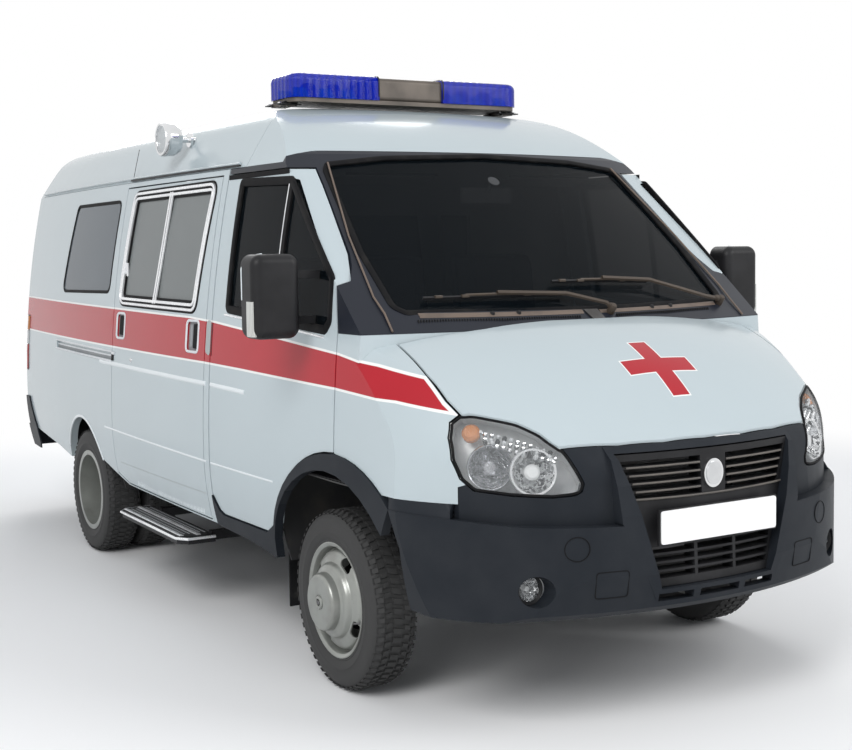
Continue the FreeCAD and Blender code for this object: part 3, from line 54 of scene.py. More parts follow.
FRONT_AXLE = 1.690
WHEELBASE = 2.900
REAR_AXLE = FRONT_AXLE - WHEELBASE
REAR_FACE = FRONT_AXLE - 4.430
TYRE_RADIUS = 0.338
FRONT_WHEEL_Y = 0.850
REAR_WHEEL_Y = 0.780
TWIN_OFFSET = 0.107
BODY = "vehicle_body"
RIGHT = -1
LEFT = 1
SIDES = (("right", RIGHT), ("left", LEFT))
FORWARDS = Vector((1, 0, 0))
REARWARDS = Vector((-1, 0, 0))
UPWARDS = Vector((0, 0, 1))
SCREEN_OUT = Vector((686, 0, 785)).normalized()
NOSE_CENTRE = -750


def at(station: float) -> float:
    """Turn a station forward from the front axle, in millimetres, into an X in metres."""
    return FRONT_AXLE + station / 1000


def spots_at(*rows: Point) -> list[Vector]:
    """Turn (station in millimetres, Y and Z in metres) rows into points."""
    return [Vector((at(station), y, z)) for station, y, z in rows]


# ---------------------------------------------------------------- shader maths

class Shade:
    """A number socket of a shader tree, with the operators that are used on it."""

    def __init__(self, recipe: "Recipe", socket: bpy.types.NodeSocket) -> None:
        """Wrap a socket of a recipe."""
        self.recipe = recipe
        self.socket = socket

    def _math(self, operation: str, *values: "Shade | float") -> "Shade":
        """Add one Math node and return its value."""
        node = self.recipe.node("ShaderNodeMath", {"operation": operation}, dict(enumerate(values)))
        return Shade(self.recipe, node.outputs[0])

    def __add__(self, other: "Shade | float") -> "Shade":
        """Return the sum."""
        return self._math("ADD", self, other)

    __radd__ = __add__

    def __sub__(self, other: "Shade | float") -> "Shade":
        """Return the difference."""
        return self._math("SUBTRACT", self, other)

    def __rsub__(self, other: float) -> "Shade":
        """Return a number less this value."""
        return self._math("SUBTRACT", other, self)

    def __mul__(self, other: "Shade | float") -> "Shade":
        """Return the product."""
        return self._math("MULTIPLY", self, other)

    __rmul__ = __mul__

    def __truediv__(self, other: "Shade | float") -> "Shade":
        """Return the quotient."""
        return self._math("DIVIDE", self, other)

    def __abs__(self) -> "Shade":
        """Return the absolute value."""
        return self._math("ABSOLUTE", self)

    def least(self, other: "Shade | float") -> "Shade":
        """Return the smaller of two values."""
        return self._math("MINIMUM", self, other)

    def most(self, other: "Shade | float") -> "Shade":
        """Return the larger of two values."""
        return self._math("MAXIMUM", self, other)

    def wave(self) -> "Shade":
        """Return the sine."""
        return self._math("SINE", self)

    def power(self, exponent: float) -> "Shade":
        """Return this value raised to an exponent."""
        return self._math("POWER", self, exponent)

    def step(self, low: float, high: float) -> "Shade":
        """Return a smooth step from 0 at one value to 1 at another."""
        settings = {"interpolation_type": "SMOOTHSTEP", "clamp": True}
        node = self.recipe.node("ShaderNodeMapRange", settings, {0: self, 1: low, 2: high, 3: 0.0, 4: 1.0})
        return Shade(self.recipe, node.outputs[0])

    def ramp(self, rows: Sequence[tuple[float, float]]) -> "Shade":
        """Return a broken line through (value, result) rows of rising values.

        Args:
            rows: up to 32 pairs; results lie between 0 and 4.

        Returns:
            The value on the line, level beyond its ends.
        """
        low, high = rows[0][0], rows[-1][0]
        place = (self - low) / (high - low)
        stops = [((value - low) / (high - low), (result / 4,) * 3 + (1.0,)) for value, result in rows]
        node = self.recipe.node("ShaderNodeValToRGB", {"stops": stops}, {0: place})
        return Shade(self.recipe, node.outputs[0]) * 4.0


Input = "Shade | float | Colour | bpy.types.NodeSocket"


class Recipe:
    """One material's node tree."""

    def __init__(self, name: str) -> None:
        """Start an empty material."""
        self.material = bpy.data.materials.new(name)
        self.material.use_nodes = True
        self.tree = self.material.node_tree
        self.tree.nodes.clear()
        self.output = self.tree.nodes.new("ShaderNodeOutputMaterial")

    def node(self, kind: str, settings: dict, inputs: dict) -> bpy.types.Node:
        """Add a node: its settings are set first, then the values or links of its sockets.

        Args:
            kind: the node's type.
            settings: properties, or stops for a colour ramp.
            inputs: socket names or numbers, and a number, a colour, a socket or a Shade for each.

        Returns:
            The new node.
        """
        node = self.tree.nodes.new(kind)
        for name, setting in settings.items():
            if name == "stops":
                ramp = node.color_ramp
                while len(ramp.elements) < len(setting):
                    ramp.elements.new(0.5)
                for element, (place, colour) in zip(ramp.elements, setting):
                    element.position = place
                    element.color = colour
            else:
                setattr(node, name, setting)
        for name, given in inputs.items():
            self.feed(node.inputs[name], given)
        return node

    def feed(self, socket: bpy.types.NodeSocket, given: Input) -> None:
        """Link a socket to a Shade or a socket, or set its value."""
        if isinstance(given, Shade):
            self.tree.links.new(given.socket, socket)
        elif isinstance(given, bpy.types.NodeSocket):
            self.tree.links.new(given, socket)
        elif socket.type == "RGBA" and len(given) == 3:
            socket.default_value = (*given, 1.0)
        else:
            socket.default_value = given

    def place(self) -> tuple[Shade, Shade, Shade]:
        """Return the X, Y and Z of the Object coordinates."""
        split = self.node("ShaderNodeSeparateXYZ", {}, {0: self.point()})
        return tuple(Shade(self, split.outputs[index]) for index in range(3))

    def point(self) -> bpy.types.NodeSocket:
        """Return the Object coordinates."""
        return self.node("ShaderNodeTexCoord", {}, {}).outputs["Object"]

    def stretched(self, scale: Point) -> bpy.types.NodeSocket:
        """Return the Object coordinates times a scale for each axis."""
        node = self.node("ShaderNodeVectorMath", {"operation": "MULTIPLY"}, {0: self.point(), 1: scale})
        return node.outputs[0]

    def noise(self, scale: float, detail: float = 2.0, vector: bpy.types.NodeSocket | None = None) -> Shade:
        """Return noise from 0 to 1 on the Object coordinates."""
        source = vector or self.point()
        node = self.node("ShaderNodeTexNoise", {}, {"Vector": source, "Scale": scale, "Detail": detail})
        return Shade(self, node.outputs[0])

    def cells(self, scale: float, feature: str = "DISTANCE_TO_EDGE") -> Shade:
        """Return the distance pattern of Voronoi cells."""
        node = self.node(
            "ShaderNodeTexVoronoi", {"feature": feature}, {"Vector": self.point(), "Scale": scale}
        )
        return Shade(self, node.outputs[0])

    def mix(self, mask: Shade, off: Input, on: Input) -> bpy.types.NodeSocket:
        """Mix two colours by a mask."""
        node = self.tree.nodes.new("ShaderNodeMix")
        node.data_type = "RGBA"
        self.feed(node.inputs[0], mask)
        self.feed(node.inputs[6], off)
        self.feed(node.inputs[7], on)
        return node.outputs[2]

    def bump(self, height: Shade, distance: float, strength: float = 1.0) -> bpy.types.NodeSocket:
        """Return a normal bent by a height in metres."""
        inputs = {"Height": height, "Distance": distance, "Strength": strength}
        return self.node("ShaderNodeBump", {}, inputs).outputs[0]

    def surface(self, **sockets: Input) -> bpy.types.Material:
        """End the tree in a Principled shader, with underscores for spaces in its sockets' names."""
        inputs = {name.replace("_", " "): given for name, given in sockets.items()}
        shader = self.node("ShaderNodeBsdfPrincipled", {}, inputs)
        self.tree.links.new(shader.outputs[0], self.output.inputs[0])
        return self.material


# ---------------------------------------------------------------- finishes

STRIPE_TOP = (
    (-4430, 1372), (-2390, 1366), (-1276, 1361), (-970, 1351), (-279, 1307), (131, 1278), (351, 1249),
    (560, 1206),
)
STRIPE_FOOT = (
    (-4430, 1156), (-2354, 1160), (-1068, 1162), (-697, 1158), (121, 1142), (479, 1124), (700, 1090)
)
SEAM_LINE = ((318, 829), (517, 832), (627, 823), (696, 806), (760, 725))
RED: Colour = (0.43, 0.013, 0.024)
WHITE_EDGE: Colour = (0.84, 0.84, 0.82)


def in_metres(rows: Sequence[tuple[float, float]]) -> list[tuple[float, float]]:
    """Turn (station, measure) rows in millimetres into (X, measure) rows in metres."""
    return [(at(station), measure / 1000) for station, measure in rows]


@dataclass(frozen=True)
class BodyPaint:
    """Pale enamel with the red band along the sides and the red cross on the bonnet."""

    name: str = "body_enamel"
    colour: Colour = (0.485, 0.550, 0.575)
    shaded: Colour = (0.455, 0.520, 0.545)
    dust: Colour = (0.33, 0.34, 0.335)
    edge_width: float = 0.009
    banded: bool = True
    crossed: bool = False
    dark_above: float = 0.0
    dark: Colour = (0.016, 0.018, 0.024)
    blur: float = 0.0012
    plan_curve: float = 70
    section_curve: float = 11.37
    outer_reach: float = 1.005
    cross_reach: float = 0.150
    cross_half_width: float = 0.0375
    cross_edge: float = 0.005
    bonnet_slope: float = 0.832

    def _band(self, recipe: Recipe) -> tuple[Shade, Shade]:
        """Return the masks of the band with its edges, and of its red.

        The band lies between two broken lines, beside the bonnet's seam and on the outer skin only.
        The outer skin is told from inner faces by its curves in plan and in section, each given as
        twice its radius in metres.
        """
        x, y, z = recipe.place()
        below_top = x.ramp(in_metres(STRIPE_TOP)) - z
        above_foot = z - x.ramp(in_metres(STRIPE_FOOT))
        beside_seam = abs(y) - x.ramp(in_metres(SEAM_LINE))
        inside = below_top.least(above_foot)
        seam = beside_seam.most((at(300) - x))
        ahead = x - at(PLAN_MIDDLE)
        height = z - 0.78
        outer = abs(y) + ahead * ahead / self.plan_curve
        outer = outer + height * height / self.section_curve - self.outer_reach
        outer = outer.most(x - at(180)).most((REAR_FACE + 0.12) - x)
        inside = inside.least(seam).least(abs(y) - 0.70).least(outer)
        return inside.step(-self.blur, self.blur), (inside - self.edge_width).step(-self.blur, self.blur)

    def _cross(self, recipe: Recipe) -> tuple[Shade, Shade]:
        """Return the masks of the cross with its edges, and of its red."""
        x, y, _ = recipe.place()
        along = abs(x - at(755)) / self.bonnet_slope
        across = abs(y)
        bar = (self.cross_reach - along).least(self.cross_half_width - across)
        arm = (self.cross_reach - across).least(self.cross_half_width - along)
        inside = bar.most(arm)
        return (inside + self.cross_edge).step(-0.0008, 0.0008), inside.step(-0.0008, 0.0008)

    def material(self) -> bpy.types.Material:
        """Build the enamel."""
        recipe = Recipe(self.name)
        _, _, z = recipe.place()
        colour = recipe.mix(recipe.noise(1.7, 3.0), self.shaded, self.colour)
        grime = (0.80 - z).step(0.0, 0.45) * recipe.noise(6.0, 6.0).step(0.35, 0.75) * 0.16
        colour = recipe.mix(grime, colour, self.dust)
        rough = recipe.noise(9.0, 4.0) * 0.06 + 0.17
        masks = []
        if self.banded:
            masks.append(self._band(recipe))
        if self.crossed:
            masks.append(self._cross(recipe))
        for outer, red in masks:
            colour = recipe.mix(outer, colour, WHITE_EDGE)
            film = recipe.mix(recipe.noise(3.1, 2.0), tuple(c * 0.92 for c in RED), RED)
            colour = recipe.mix(red, colour, film)
            rough = rough + outer * 0.05
        if self.dark_above:
            moulding = z.step(self.dark_above - 0.0015, self.dark_above + 0.0015)
            paler = tuple(c * 1.6 for c in self.dark)
            colour = recipe.mix(moulding, colour, recipe.mix(recipe.noise(5.0, 5.0), self.dark, paler))
            rough = rough + moulding * 0.18
        peel = recipe.noise(260.0, 2.0)
        return recipe.surface(
            Base_Color=colour, Roughness=rough, Specular_IOR_Level=0.22, Coat_Weight=0.16,
            Coat_Roughness=0.06,
            Coat_IOR=1.35, Normal=recipe.bump(peel, 0.00004),
        )


@dataclass(frozen=True)
class Plastic:
    """Moulded plastic with a fine grain, greying where it is rubbed."""

    name: str
    colour: Colour
    worn: Colour
    roughness: float = 0.5
    grain: float = 900.0
    depth: float = 0.00010
    shine: float = 0.20

    def material(self) -> bpy.types.Material:
        """Build the plastic."""
        recipe = Recipe(self.name)
        blotch = recipe.noise(5.0, 5.0).step(0.3, 0.8)
        colour = recipe.mix(blotch, self.colour, self.worn)
        rough = recipe.noise(14.0, 4.0) * 0.12 + (self.roughness - 0.06)
        height = recipe.noise(self.grain, 3.0) + recipe.cells(self.grain * 0.4) * 0.5
        return recipe.surface(
            Base_Color=colour, Roughness=rough, Specular_IOR_Level=self.shine,
            Normal=recipe.bump(height, self.depth)
        )


@dataclass(frozen=True)
class Metal:
    """Bare or plated metal, brushed along one axis or plain."""

    name: str
    colour: Colour
    dull: Colour
    roughness: float = 0.3
    metallic: float = 1.0
    brush: Point = (1.0, 1.0, 1.0)
    brush_scale: float = 120.0
    depth: float = 0.00003

    def material(self) -> bpy.types.Material:
        """Build the metal."""
        recipe = Recipe(self.name)
        streak = recipe.noise(self.brush_scale, 4.0, recipe.stretched(self.brush))
        patch = recipe.noise(8.0, 5.0).step(0.35, 0.8)
        colour = recipe.mix(patch, self.colour, self.dull)
        rough = streak * 0.14 + (self.roughness - 0.07) + patch * 0.06
        return recipe.surface(
            Base_Color=colour, Roughness=rough, Metallic=self.metallic,
            Normal=recipe.bump(streak, self.depth)
        )


@dataclass(frozen=True)
class Enamel:
    """Painted steel with grime gathering in broad patches."""

    name: str
    colour: Colour
    grime: Colour
    roughness: float = 0.4
    metallic: float = 0.0
    amount: float = 0.5
    depth: float = 0.00012

    def material(self) -> bpy.types.Material:
        """Build the enamel."""
        recipe = Recipe(self.name)
        patch = recipe.noise(11.0, 7.0).step(0.42, 0.80) * self.amount
        speck = recipe.noise(130.0, 3.0).step(0.62, 0.78) * (self.amount * 0.6)
        colour = recipe.mix(patch.most(speck), self.colour, self.grime)
        rough = patch * 0.25 + self.roughness
        return recipe.surface(
            Base_Color=colour, Roughness=rough, Metallic=self.metallic,
            Normal=recipe.bump(recipe.noise(220.0, 4.0), self.depth),
        )


@dataclass(frozen=True)
class Pane:
    """Tinted window glass, seen through by its alpha."""

    name: str
    colour: Colour
    alpha: float
    roughness: float = 0.02
    streak: float = 0.04
    shine: float = 0.12

    def material(self) -> bpy.types.Material:
        """Build the glass."""
        recipe = Recipe(self.name)
        film = recipe.noise(2.3, 4.0).step(0.45, 0.8) * self.streak
        alpha = film + self.alpha
        rough = recipe.noise(7.0, 3.0) * 0.03 + self.roughness
        return recipe.surface(
            Base_Color=self.colour, Roughness=rough, Alpha=alpha, IOR=1.52, Specular_IOR_Level=self.shine,
            Normal=recipe.bump(recipe.noise(1.6, 2.0), 0.0006),
        )


@dataclass(frozen=True)
class Lens:
    """Clear or coloured moulded lens with faint fluting."""

    name: str
    colour: Colour
    alpha: float
    roughness: float = 0.05
    flutes: float = 0.0
    glow: float = 0.0
    shine: float = 0.5

    def material(self) -> bpy.types.Material:
        """Build the lens."""
        recipe = Recipe(self.name)
        x, y, _ = recipe.place()
        lines = ((x + y) * self.flutes).wave() if self.flutes else recipe.noise(40.0, 2.0)
        colour = recipe.mix(lines.step(-1.0, 1.0), tuple(c * 0.8 for c in self.colour), self.colour)
        return recipe.surface(
            Base_Color=colour, Roughness=recipe.noise(12.0, 2.0) * 0.05 + self.roughness,
            Alpha=recipe.noise(5.0, 2.0) * 0.04 + self.alpha, IOR=1.49, Specular_IOR_Level=self.shine,
            Emission_Color=self.colour, Emission_Strength=self.glow,
            Normal=recipe.bump(lines, 0.0006 if self.flutes else 0.00004),
        )


@dataclass(frozen=True)
class Facets:
    """Bright reflector broken into small facets, some of them dark: painted reflection of dark surroundings.
    """

    name: str
    bright: Colour = (0.80, 0.81, 0.82)
    dark: Colour = (0.045, 0.045, 0.05)
    scale: float = 95.0
    share: float = 0.46

    def material(self) -> bpy.types.Material:
        """Build the reflector."""
        recipe = Recipe(self.name)
        # The dark facets are painted reflections on bright metal.
        patch = recipe.noise(self.scale, 1.0).step(self.share - 0.03, self.share + 0.05)
        soft = recipe.noise(31.0, 2.0).step(0.40, 0.62)
        colour = recipe.mix(patch, self.dark, self.bright)
        colour = recipe.mix(soft * 0.75, colour, (0.50, 0.51, 0.52))
        return recipe.surface(
            Base_Color=colour, Metallic=1.0, Roughness=recipe.noise(60.0, 2.0) * 0.12 + 0.10,
            Normal=recipe.bump(patch + soft, 0.0012),
        )


@dataclass(frozen=True)
class Rubber:
    """Tyre and seal rubber, dusty in its hollows."""

    name: str
    colour: Colour = (0.006, 0.008, 0.012)
    dusty: Colour = (0.015, 0.017, 0.021)
    roughness: float = 0.62

    def material(self) -> bpy.types.Material:
        """Build the rubber."""
        recipe = Recipe(self.name)
        patch = recipe.noise(17.0, 6.0).step(0.45, 0.8)
        colour = recipe.mix(patch, self.colour, self.dusty)
        height = recipe.noise(420.0, 4.0)
        return recipe.surface(
            Base_Color=colour, Roughness=patch * 0.15 + self.roughness, Specular_IOR_Level=0.05,
            Normal=recipe.bump(height, 0.00015),
        )


@dataclass(frozen=True)
class Cloth:
    """Woven or coated seat cloth."""

    name: str
    colour: Colour
    thread: Colour
    weave: float = 700.0
    roughness: float = 0.85

    def material(self) -> bpy.types.Material:
        """Build the cloth: two crossed waves of threads and slow fading."""
        recipe = Recipe(self.name)
        x, y, z = recipe.place()
        warp = ((x + z) * self.weave).wave()
        weft = (y * self.weave).wave()
        weave = warp * weft
        colour = recipe.mix(weave.step(-0.6, 0.8), self.colour, self.thread)
        faded = recipe.mix(
            recipe.noise(6.0, 4.0).step(0.4, 0.9) * 0.4, colour, tuple(c * 1.5 for c in self.thread)
        )
        return recipe.surface(
            Base_Color=faded, Roughness=recipe.noise(30.0, 2.0) * 0.1 + (self.roughness - 0.05),
            Normal=recipe.bump(weave, 0.0003), Sheen_Weight=0.25, Sheen_Roughness=0.5,
        )


@dataclass(frozen=True)
class Backdrop:
    """Pale matt floor, white to the camera and to reflections away from the shadow."""

    name: str = "studio_floor"

    def material(self) -> bpy.types.Material:
        """Build the floor: a matt white whose far part melts into the white background."""
        recipe = Recipe(self.name)
        x, y, _ = recipe.place()
        reach = (x * x + y * y).power(0.5)
        matt = recipe.node("ShaderNodeBsdfDiffuse", {}, {"Color": (0.93, 0.93, 0.93)})
        white = recipe.node("ShaderNodeEmission", {}, {"Color": (1.0, 1.0, 1.0), "Strength": 1.0})
        path = recipe.node("ShaderNodeLightPath", {}, {})
        seen = Shade(recipe, path.outputs["Is Camera Ray"])
        seen = seen.most(Shade(recipe, path.outputs["Is Glossy Ray"]))
        seen = seen.most(Shade(recipe, path.outputs["Is Transmission Ray"]))
        far = reach.step(4.3, 6.5) * seen
        blend = recipe.node("ShaderNodeMixShader", {}, {0: far, 1: matt.outputs[0], 2: white.outputs[0]})
        recipe.tree.links.new(blend.outputs[0], recipe.output.inputs[0])
        return recipe.material


# ---------------------------------------------------------------- surfaces of the body

WIDEST_HEIGHT = 780.0
HALF_WIDTH = 1025
LOWER_RADIUS = 1398.0
UPPER_RADIUS = 5686.0
PLAN_RADIUS = 35000.0
PLAN_MIDDLE = -1500.0


def skin_y(station: float, height: float) -> float:
    """Return the half width of the body side in metres at a station and height in millimetres."""
    radius = LOWER_RADIUS if height < WIDEST_HEIGHT else UPPER_RADIUS
    section = HALF_WIDTH - radius + math.sqrt(radius ** 2 - (height - WIDEST_HEIGHT) ** 2)
    centre = PLAN_RADIUS - HALF_WIDTH
    return -(centre - math.sqrt((centre + section) ** 2 - (station - PLAN_MIDDLE) ** 2)) / 1000


def on_skin(station: float, height: float, side: int, proud: float = 0.0) -> Vector:
    """Return a point on the body side, stood proud by some metres.

    Args:
        station: millimetres forward of the front axle.
        height: millimetres above the ground.
        side: -1 for the right, 1 for the left.
        proud: metres outwards.
    """
    return Vector((at(station), side * (skin_y(station, height) + proud), height / 1000))


def on_screen(offset: float, height: float, proud: float = 0.0) -> Vector:
    """Return a point on the windscreen from its offset and height in millimetres."""
    centre = 395 - (height - 1350) * 785 / 686
    radius = centre + 3490
    station = -3490 + math.sqrt(radius ** 2 - offset ** 2)
    return Vector((at(station), offset / 1000, height / 1000)) + SCREEN_OUT * proud


def on_bumper(offset: float, height: float, proud: float = 0.0) -> Vector:
    """Return a point on the lower bumper face from its offset and height in millimetres."""
    reach = 1840.0 + (0.0 if height > 560 else (height - 560) * 0.16)
    corner, side = 690.0, 1000.0
    centre_y = side - corner
    centre_x = math.sqrt((reach - corner) ** 2 - centre_y ** 2)
    y = abs(offset)
    if y / reach < centre_y / (reach - corner):
        x = math.sqrt(reach ** 2 - y ** 2)
        normal = Vector((x, offset, 0)).normalized()
    else:
        x = centre_x + math.sqrt(max(corner ** 2 - (y - centre_y) ** 2, 0.0))
        normal = Vector((x - centre_x, math.copysign(y - centre_y, offset), 0)).normalized()
    return Vector((at(x + NOSE_CENTRE), offset / 1000, height / 1000)) + normal * proud


def on_grille(offset: float, height: float, proud: float = 0.0) -> Vector:
    """Return a point on the face of the grille panel from its offset and height in millimetres."""
    station = 1056 - (height - 506) * 20 / 452
    x = math.sqrt((station - NOSE_CENTRE) ** 2 - offset ** 2) + NOSE_CENTRE
    return Vector((at(x) + proud, offset / 1000, height / 1000))


def rounded(
    points: Sequence[tuple[float, float]], radius: float, steps: int = 5
) -> list[tuple[float, float]]:
    """Return a closed outline with its corners rounded.

    Args:
        points: the corners in order.
        radius: the wished radius; a short side lowers it.
        steps: points along each corner.
    """
    result = []
    count = len(points)
    for index in range(count):
        here = Vector(points[index])
        back = Vector(points[index - 1]) - here
        ahead = Vector(points[(index + 1) % count]) - here
        turn = math.pi - back.angle(ahead)
        if turn < 0.05:
            result.append(tuple(here))
            continue
        cut = min(radius * math.tan(turn / 2), back.length * 0.45, ahead.length * 0.45)
        start = here + back.normalized() * cut
        end = here + ahead.normalized() * cut
        for step in range(steps + 1):
            share = step / steps
            first = start.lerp(here, share)
            second = here.lerp(end, share)
            result.append(tuple(first.lerp(second, share)))
    return result


# ---------------------------------------------------------------- mesh making

def linked(name: str, data: bpy.types.ID) -> bpy.types.Object:
    """Return a new object of some data, linked into the scene."""
    made = bpy.data.objects.new(name, data)
    bpy.context.scene.collection.objects.link(made)
    return made


def mesh_data(
    mesh: bmesh.types.BMesh, name: str, materials: Sequence[bpy.types.Material] = ()
) -> bpy.types.Mesh:
    """End a mesh under construction as mesh data with its materials."""
    data = bpy.data.meshes.new(name)
    mesh.to_mesh(data)
    mesh.free()
    for material in materials:
        data.materials.append(material)
    return data


def formed(mesh: bmesh.types.BMesh, name: str, finishes: Sequence["Finish"] = ()) -> bpy.types.Object:
    """End a mesh under construction as a new object of the scene."""
    return linked(name, mesh_data(mesh, name, [finish.get() for finish in finishes]))


def discard(made: bpy.types.Object) -> None:
    """Remove an object together with its mesh."""
    data = made.data
    bpy.data.objects.remove(made)
    bpy.data.meshes.remove(data)


class Maker:
    """Collects closed shapes into one mesh and finishes it as a piece."""

    def __init__(self) -> None:
        """Start an empty mesh."""
        self.mesh = bmesh.new()
        self.material = 0

    def _faces(self, rings: list[list[bmesh.types.BMVert]], closed: bool, caps: bool) -> None:
        """Join rings of vertices by quads, with caps at the ends."""
        made = []
        pairs = list(zip(rings, rings[1:])) + ([(rings[-1], rings[0])] if closed else [])
        for low, high in pairs:
            count = len(low)
            for index in range(count):
                corners = [low[index], low[(index + 1) % count], high[(index + 1) % count], high[index]]
                corners = list(dict.fromkeys(corners))
                if len(corners) > 2:
                    made.append(self.mesh.faces.new(corners))
        if caps and not closed:
            made.append(self.mesh.faces.new(list(reversed(rings[0]))))
            made.append(self.mesh.faces.new(rings[-1]))
        for face in made:
            face.material_index = self.material
        bmesh.ops.recalc_face_normals(self.mesh, faces=made)

    def box(self, low: Point, high: Point, bevel: float = 0.0, turn: Matrix | None = None) -> "Maker":
        """Add a box between two corners with bevelled edges, turned about the origin first if asked."""
        part = bmesh.new()
        bmesh.ops.create_cube(part, size=1.0)
        centre = (Vector(low) + Vector(high)) / 2
        span = Vector(high) - Vector(low)
        part.transform(Matrix.Translation(centre) @ Matrix.Diagonal((*span, 1.0)))
        if bevel:
            bmesh.ops.bevel(part, geom=part.edges[:], offset=bevel, segments=2, profile=0.6, affect="EDGES")
        if turn:
            part.transform(turn)
        return self.absorb(part)

    def absorb(self, part: bmesh.types.BMesh) -> "Maker":
        """Take in another mesh with the present material."""
        for face in part.faces:
            face.material_index = self.material
        return self._take(part)

    def _take(self, part: bmesh.types.BMesh) -> "Maker":
        """Take in another mesh as it is, and free it."""
        mesh = mesh_data(part, "scratch")
        self.mesh.from_mesh(mesh)
        bpy.data.meshes.remove(mesh)
        return self

    def spun(
        self, profile: Sequence[tuple[float, float]], centre: Point, axis: Point, steps: int = 48,
        closed: bool = False
    ) -> "Maker":
        """Add a shape turned about an axis.

        Args:
            profile: (radius, along the axis) rows; an open one starts and ends on the axis.
            centre: a point of the axis.
            axis: its direction.
            steps: divisions round the axis.
            closed: whether the profile closes on itself, as a ring's does.
        """
        way = Vector(axis).normalized()
        across = way.orthogonal().normalized()
        other = way.cross(across)
        origin = Vector(centre)
        rings = []
        for radius, along in profile:
            if radius < 1e-6:
                spot = self.mesh.verts.new(origin + way * along)
                rings.append([spot] * steps)
                continue
            ring = []
            for step in range(steps):
                angle = 2 * math.pi * step / steps
                spoke = across * math.cos(angle) + other * math.sin(angle)
                ring.append(self.mesh.verts.new(origin + way * along + spoke * radius))
            rings.append(ring)
        self._faces(rings, closed, caps=False)
        return self

    def swept(
        self, section: Sequence[tuple[float, float]], path: Sequence[Vector],
        outward: Callable[[int], Vector] | Vector,
        closed: bool = False,
    ) -> "Maker":
        """Add a section swept along a path, mitred at its corners.

        Args:
            section: (across, outward) points of a closed outline, in metres.
            path: the points that it follows.
            outward: the outward direction, one for all or a function of the point's number.
            closed: whether the path closes.
        """
        count = len(path)
        rings = []
        for index in range(count):
            here = path[index]
            before = path[index - 1] if closed or index else here
            after = path[(index + 1) % count] if closed or index < count - 1 else here
            behind, ahead = here - before, after - here
            into = behind.normalized() if behind.length > 1e-9 else ahead.normalized()
            away = ahead.normalized() if ahead.length > 1e-9 else into
            tangent = (into + away).normalized()
            normal = outward(index) if callable(outward) else outward
            side = tangent.cross(normal).normalized()
            normal = side.cross(tangent).normalized()
            miter = 1.0 / max(tangent.dot(into), 0.5)
            rings.append([self.mesh.verts.new(here + side * (a * miter) + normal * b) for a, b in section])
        self._faces(rings, closed, caps=True)
        return self

    def rod(self, path: Sequence[Vector], radius: float, sides: int = 10, closed: bool = False) -> "Maker":
        """Add a round bar along a path."""
        angles = [2 * math.pi * k / sides for k in range(sides)]
        section = [(radius * math.cos(angle), radius * math.sin(angle)) for angle in angles]
        direction = (path[-1] - path[0]) if not closed else (path[len(path) // 2] - path[0])
        outward = direction.orthogonal().normalized()
        if closed:
            outward = (path[1] - path[0]).cross(path[len(path) // 2] - path[0]).normalized()
        return self.swept(section, path, outward, closed)

    def slabbed(self, outline: Sequence[Vector], push: Sequence[Vector] | Vector) -> "Maker":
        """Add a plate: an outline and its copy pushed away, by one way or by one for each point."""
        low = [self.mesh.verts.new(spot) for spot in outline]
        pushes = [push] * len(outline) if isinstance(push, Vector) else push
        high = [self.mesh.verts.new(spot + way) for spot, way in zip(outline, pushes)]
        self._faces([low, high], closed=False, caps=True)
        return self

    def grid(self, rows: Sequence[Sequence[Vector]], thickness: Vector) -> "Maker":
        """Add a curved sheet through a grid of points, with a thickness."""
        tops = [[self.mesh.verts.new(spot) for spot in row] for row in rows]
        lows = [[self.mesh.verts.new(spot + thickness) for spot in row] for row in rows]
        made = []
        for layer in (tops, lows):
            for first, second in zip(layer, layer[1:]):
                for index in range(len(first) - 1):
                    corners = [first[index], first[index + 1], second[index + 1], second[index]]
                    made.append(self.mesh.faces.new(corners))
        rim_top, rim_low = (
            layer[0] + [row[-1] for row in layer[1:]] + layer[-1][-2::-1] + [
                row[0] for row in layer[-2:0:-1]
            ]
            for layer in (tops, lows)
        )
        for index in range(len(rim_top)):
            after = (index + 1) % len(rim_top)
            made.append(
                self.mesh.faces.new([rim_top[index], rim_top[after], rim_low[after], rim_low[index]])
            )
        for face in made:
            face.material_index = self.material
        bmesh.ops.recalc_face_normals(self.mesh, faces=made)
        return self

    def use(self, index: int) -> "Maker":
        """Give the shapes added from now on another of the piece's materials."""
        self.material = index
        return self

    def mirror_left(self) -> "Maker":
        """Add the mirror image of everything so far across the middle of the vehicle."""
        copy = self.mesh.copy()
        copy.transform(Matrix.Diagonal((1, -1, 1, 1)))
        bmesh.ops.reverse_faces(copy, faces=copy.faces[:])
        return self._take(copy)

    def piece(
        self, name: str, body: str, finishes: Sequence["Finish"], smooth: float = 35.0, slot: str = "",
    ) -> bpy.types.Object:
        """End the mesh as a piece that rides on a body.

        Args:
            name: the piece's name.
            body: the body that carries it.
            finishes: its finishes in the order of their numbers.
            smooth: the angle in degrees up to which edges are shaded smooth.
            slot: not used.

        Returns:
            The new object.
        """
        made = formed(self.mesh, name, finishes)
        shade(made, smooth)
        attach(made, body)
        LOG.info("%s: %d faces on %s", name, len(made.data.polygons), body)
        return made


def shade(made: bpy.types.Object, degrees: float) -> None:
    """Shade an object smooth up to an angle, by marking its sharper edges."""
    data = made.data
    mesh = bmesh.new()
    mesh.from_mesh(data)
    limit = math.radians(degrees)
    for edge in mesh.edges:
        edge.smooth = len(edge.link_faces) == 2 and edge.calc_face_angle(4.0) < limit
    for face in mesh.faces:
        face.smooth = True
    mesh.to_mesh(data)
    mesh.free()


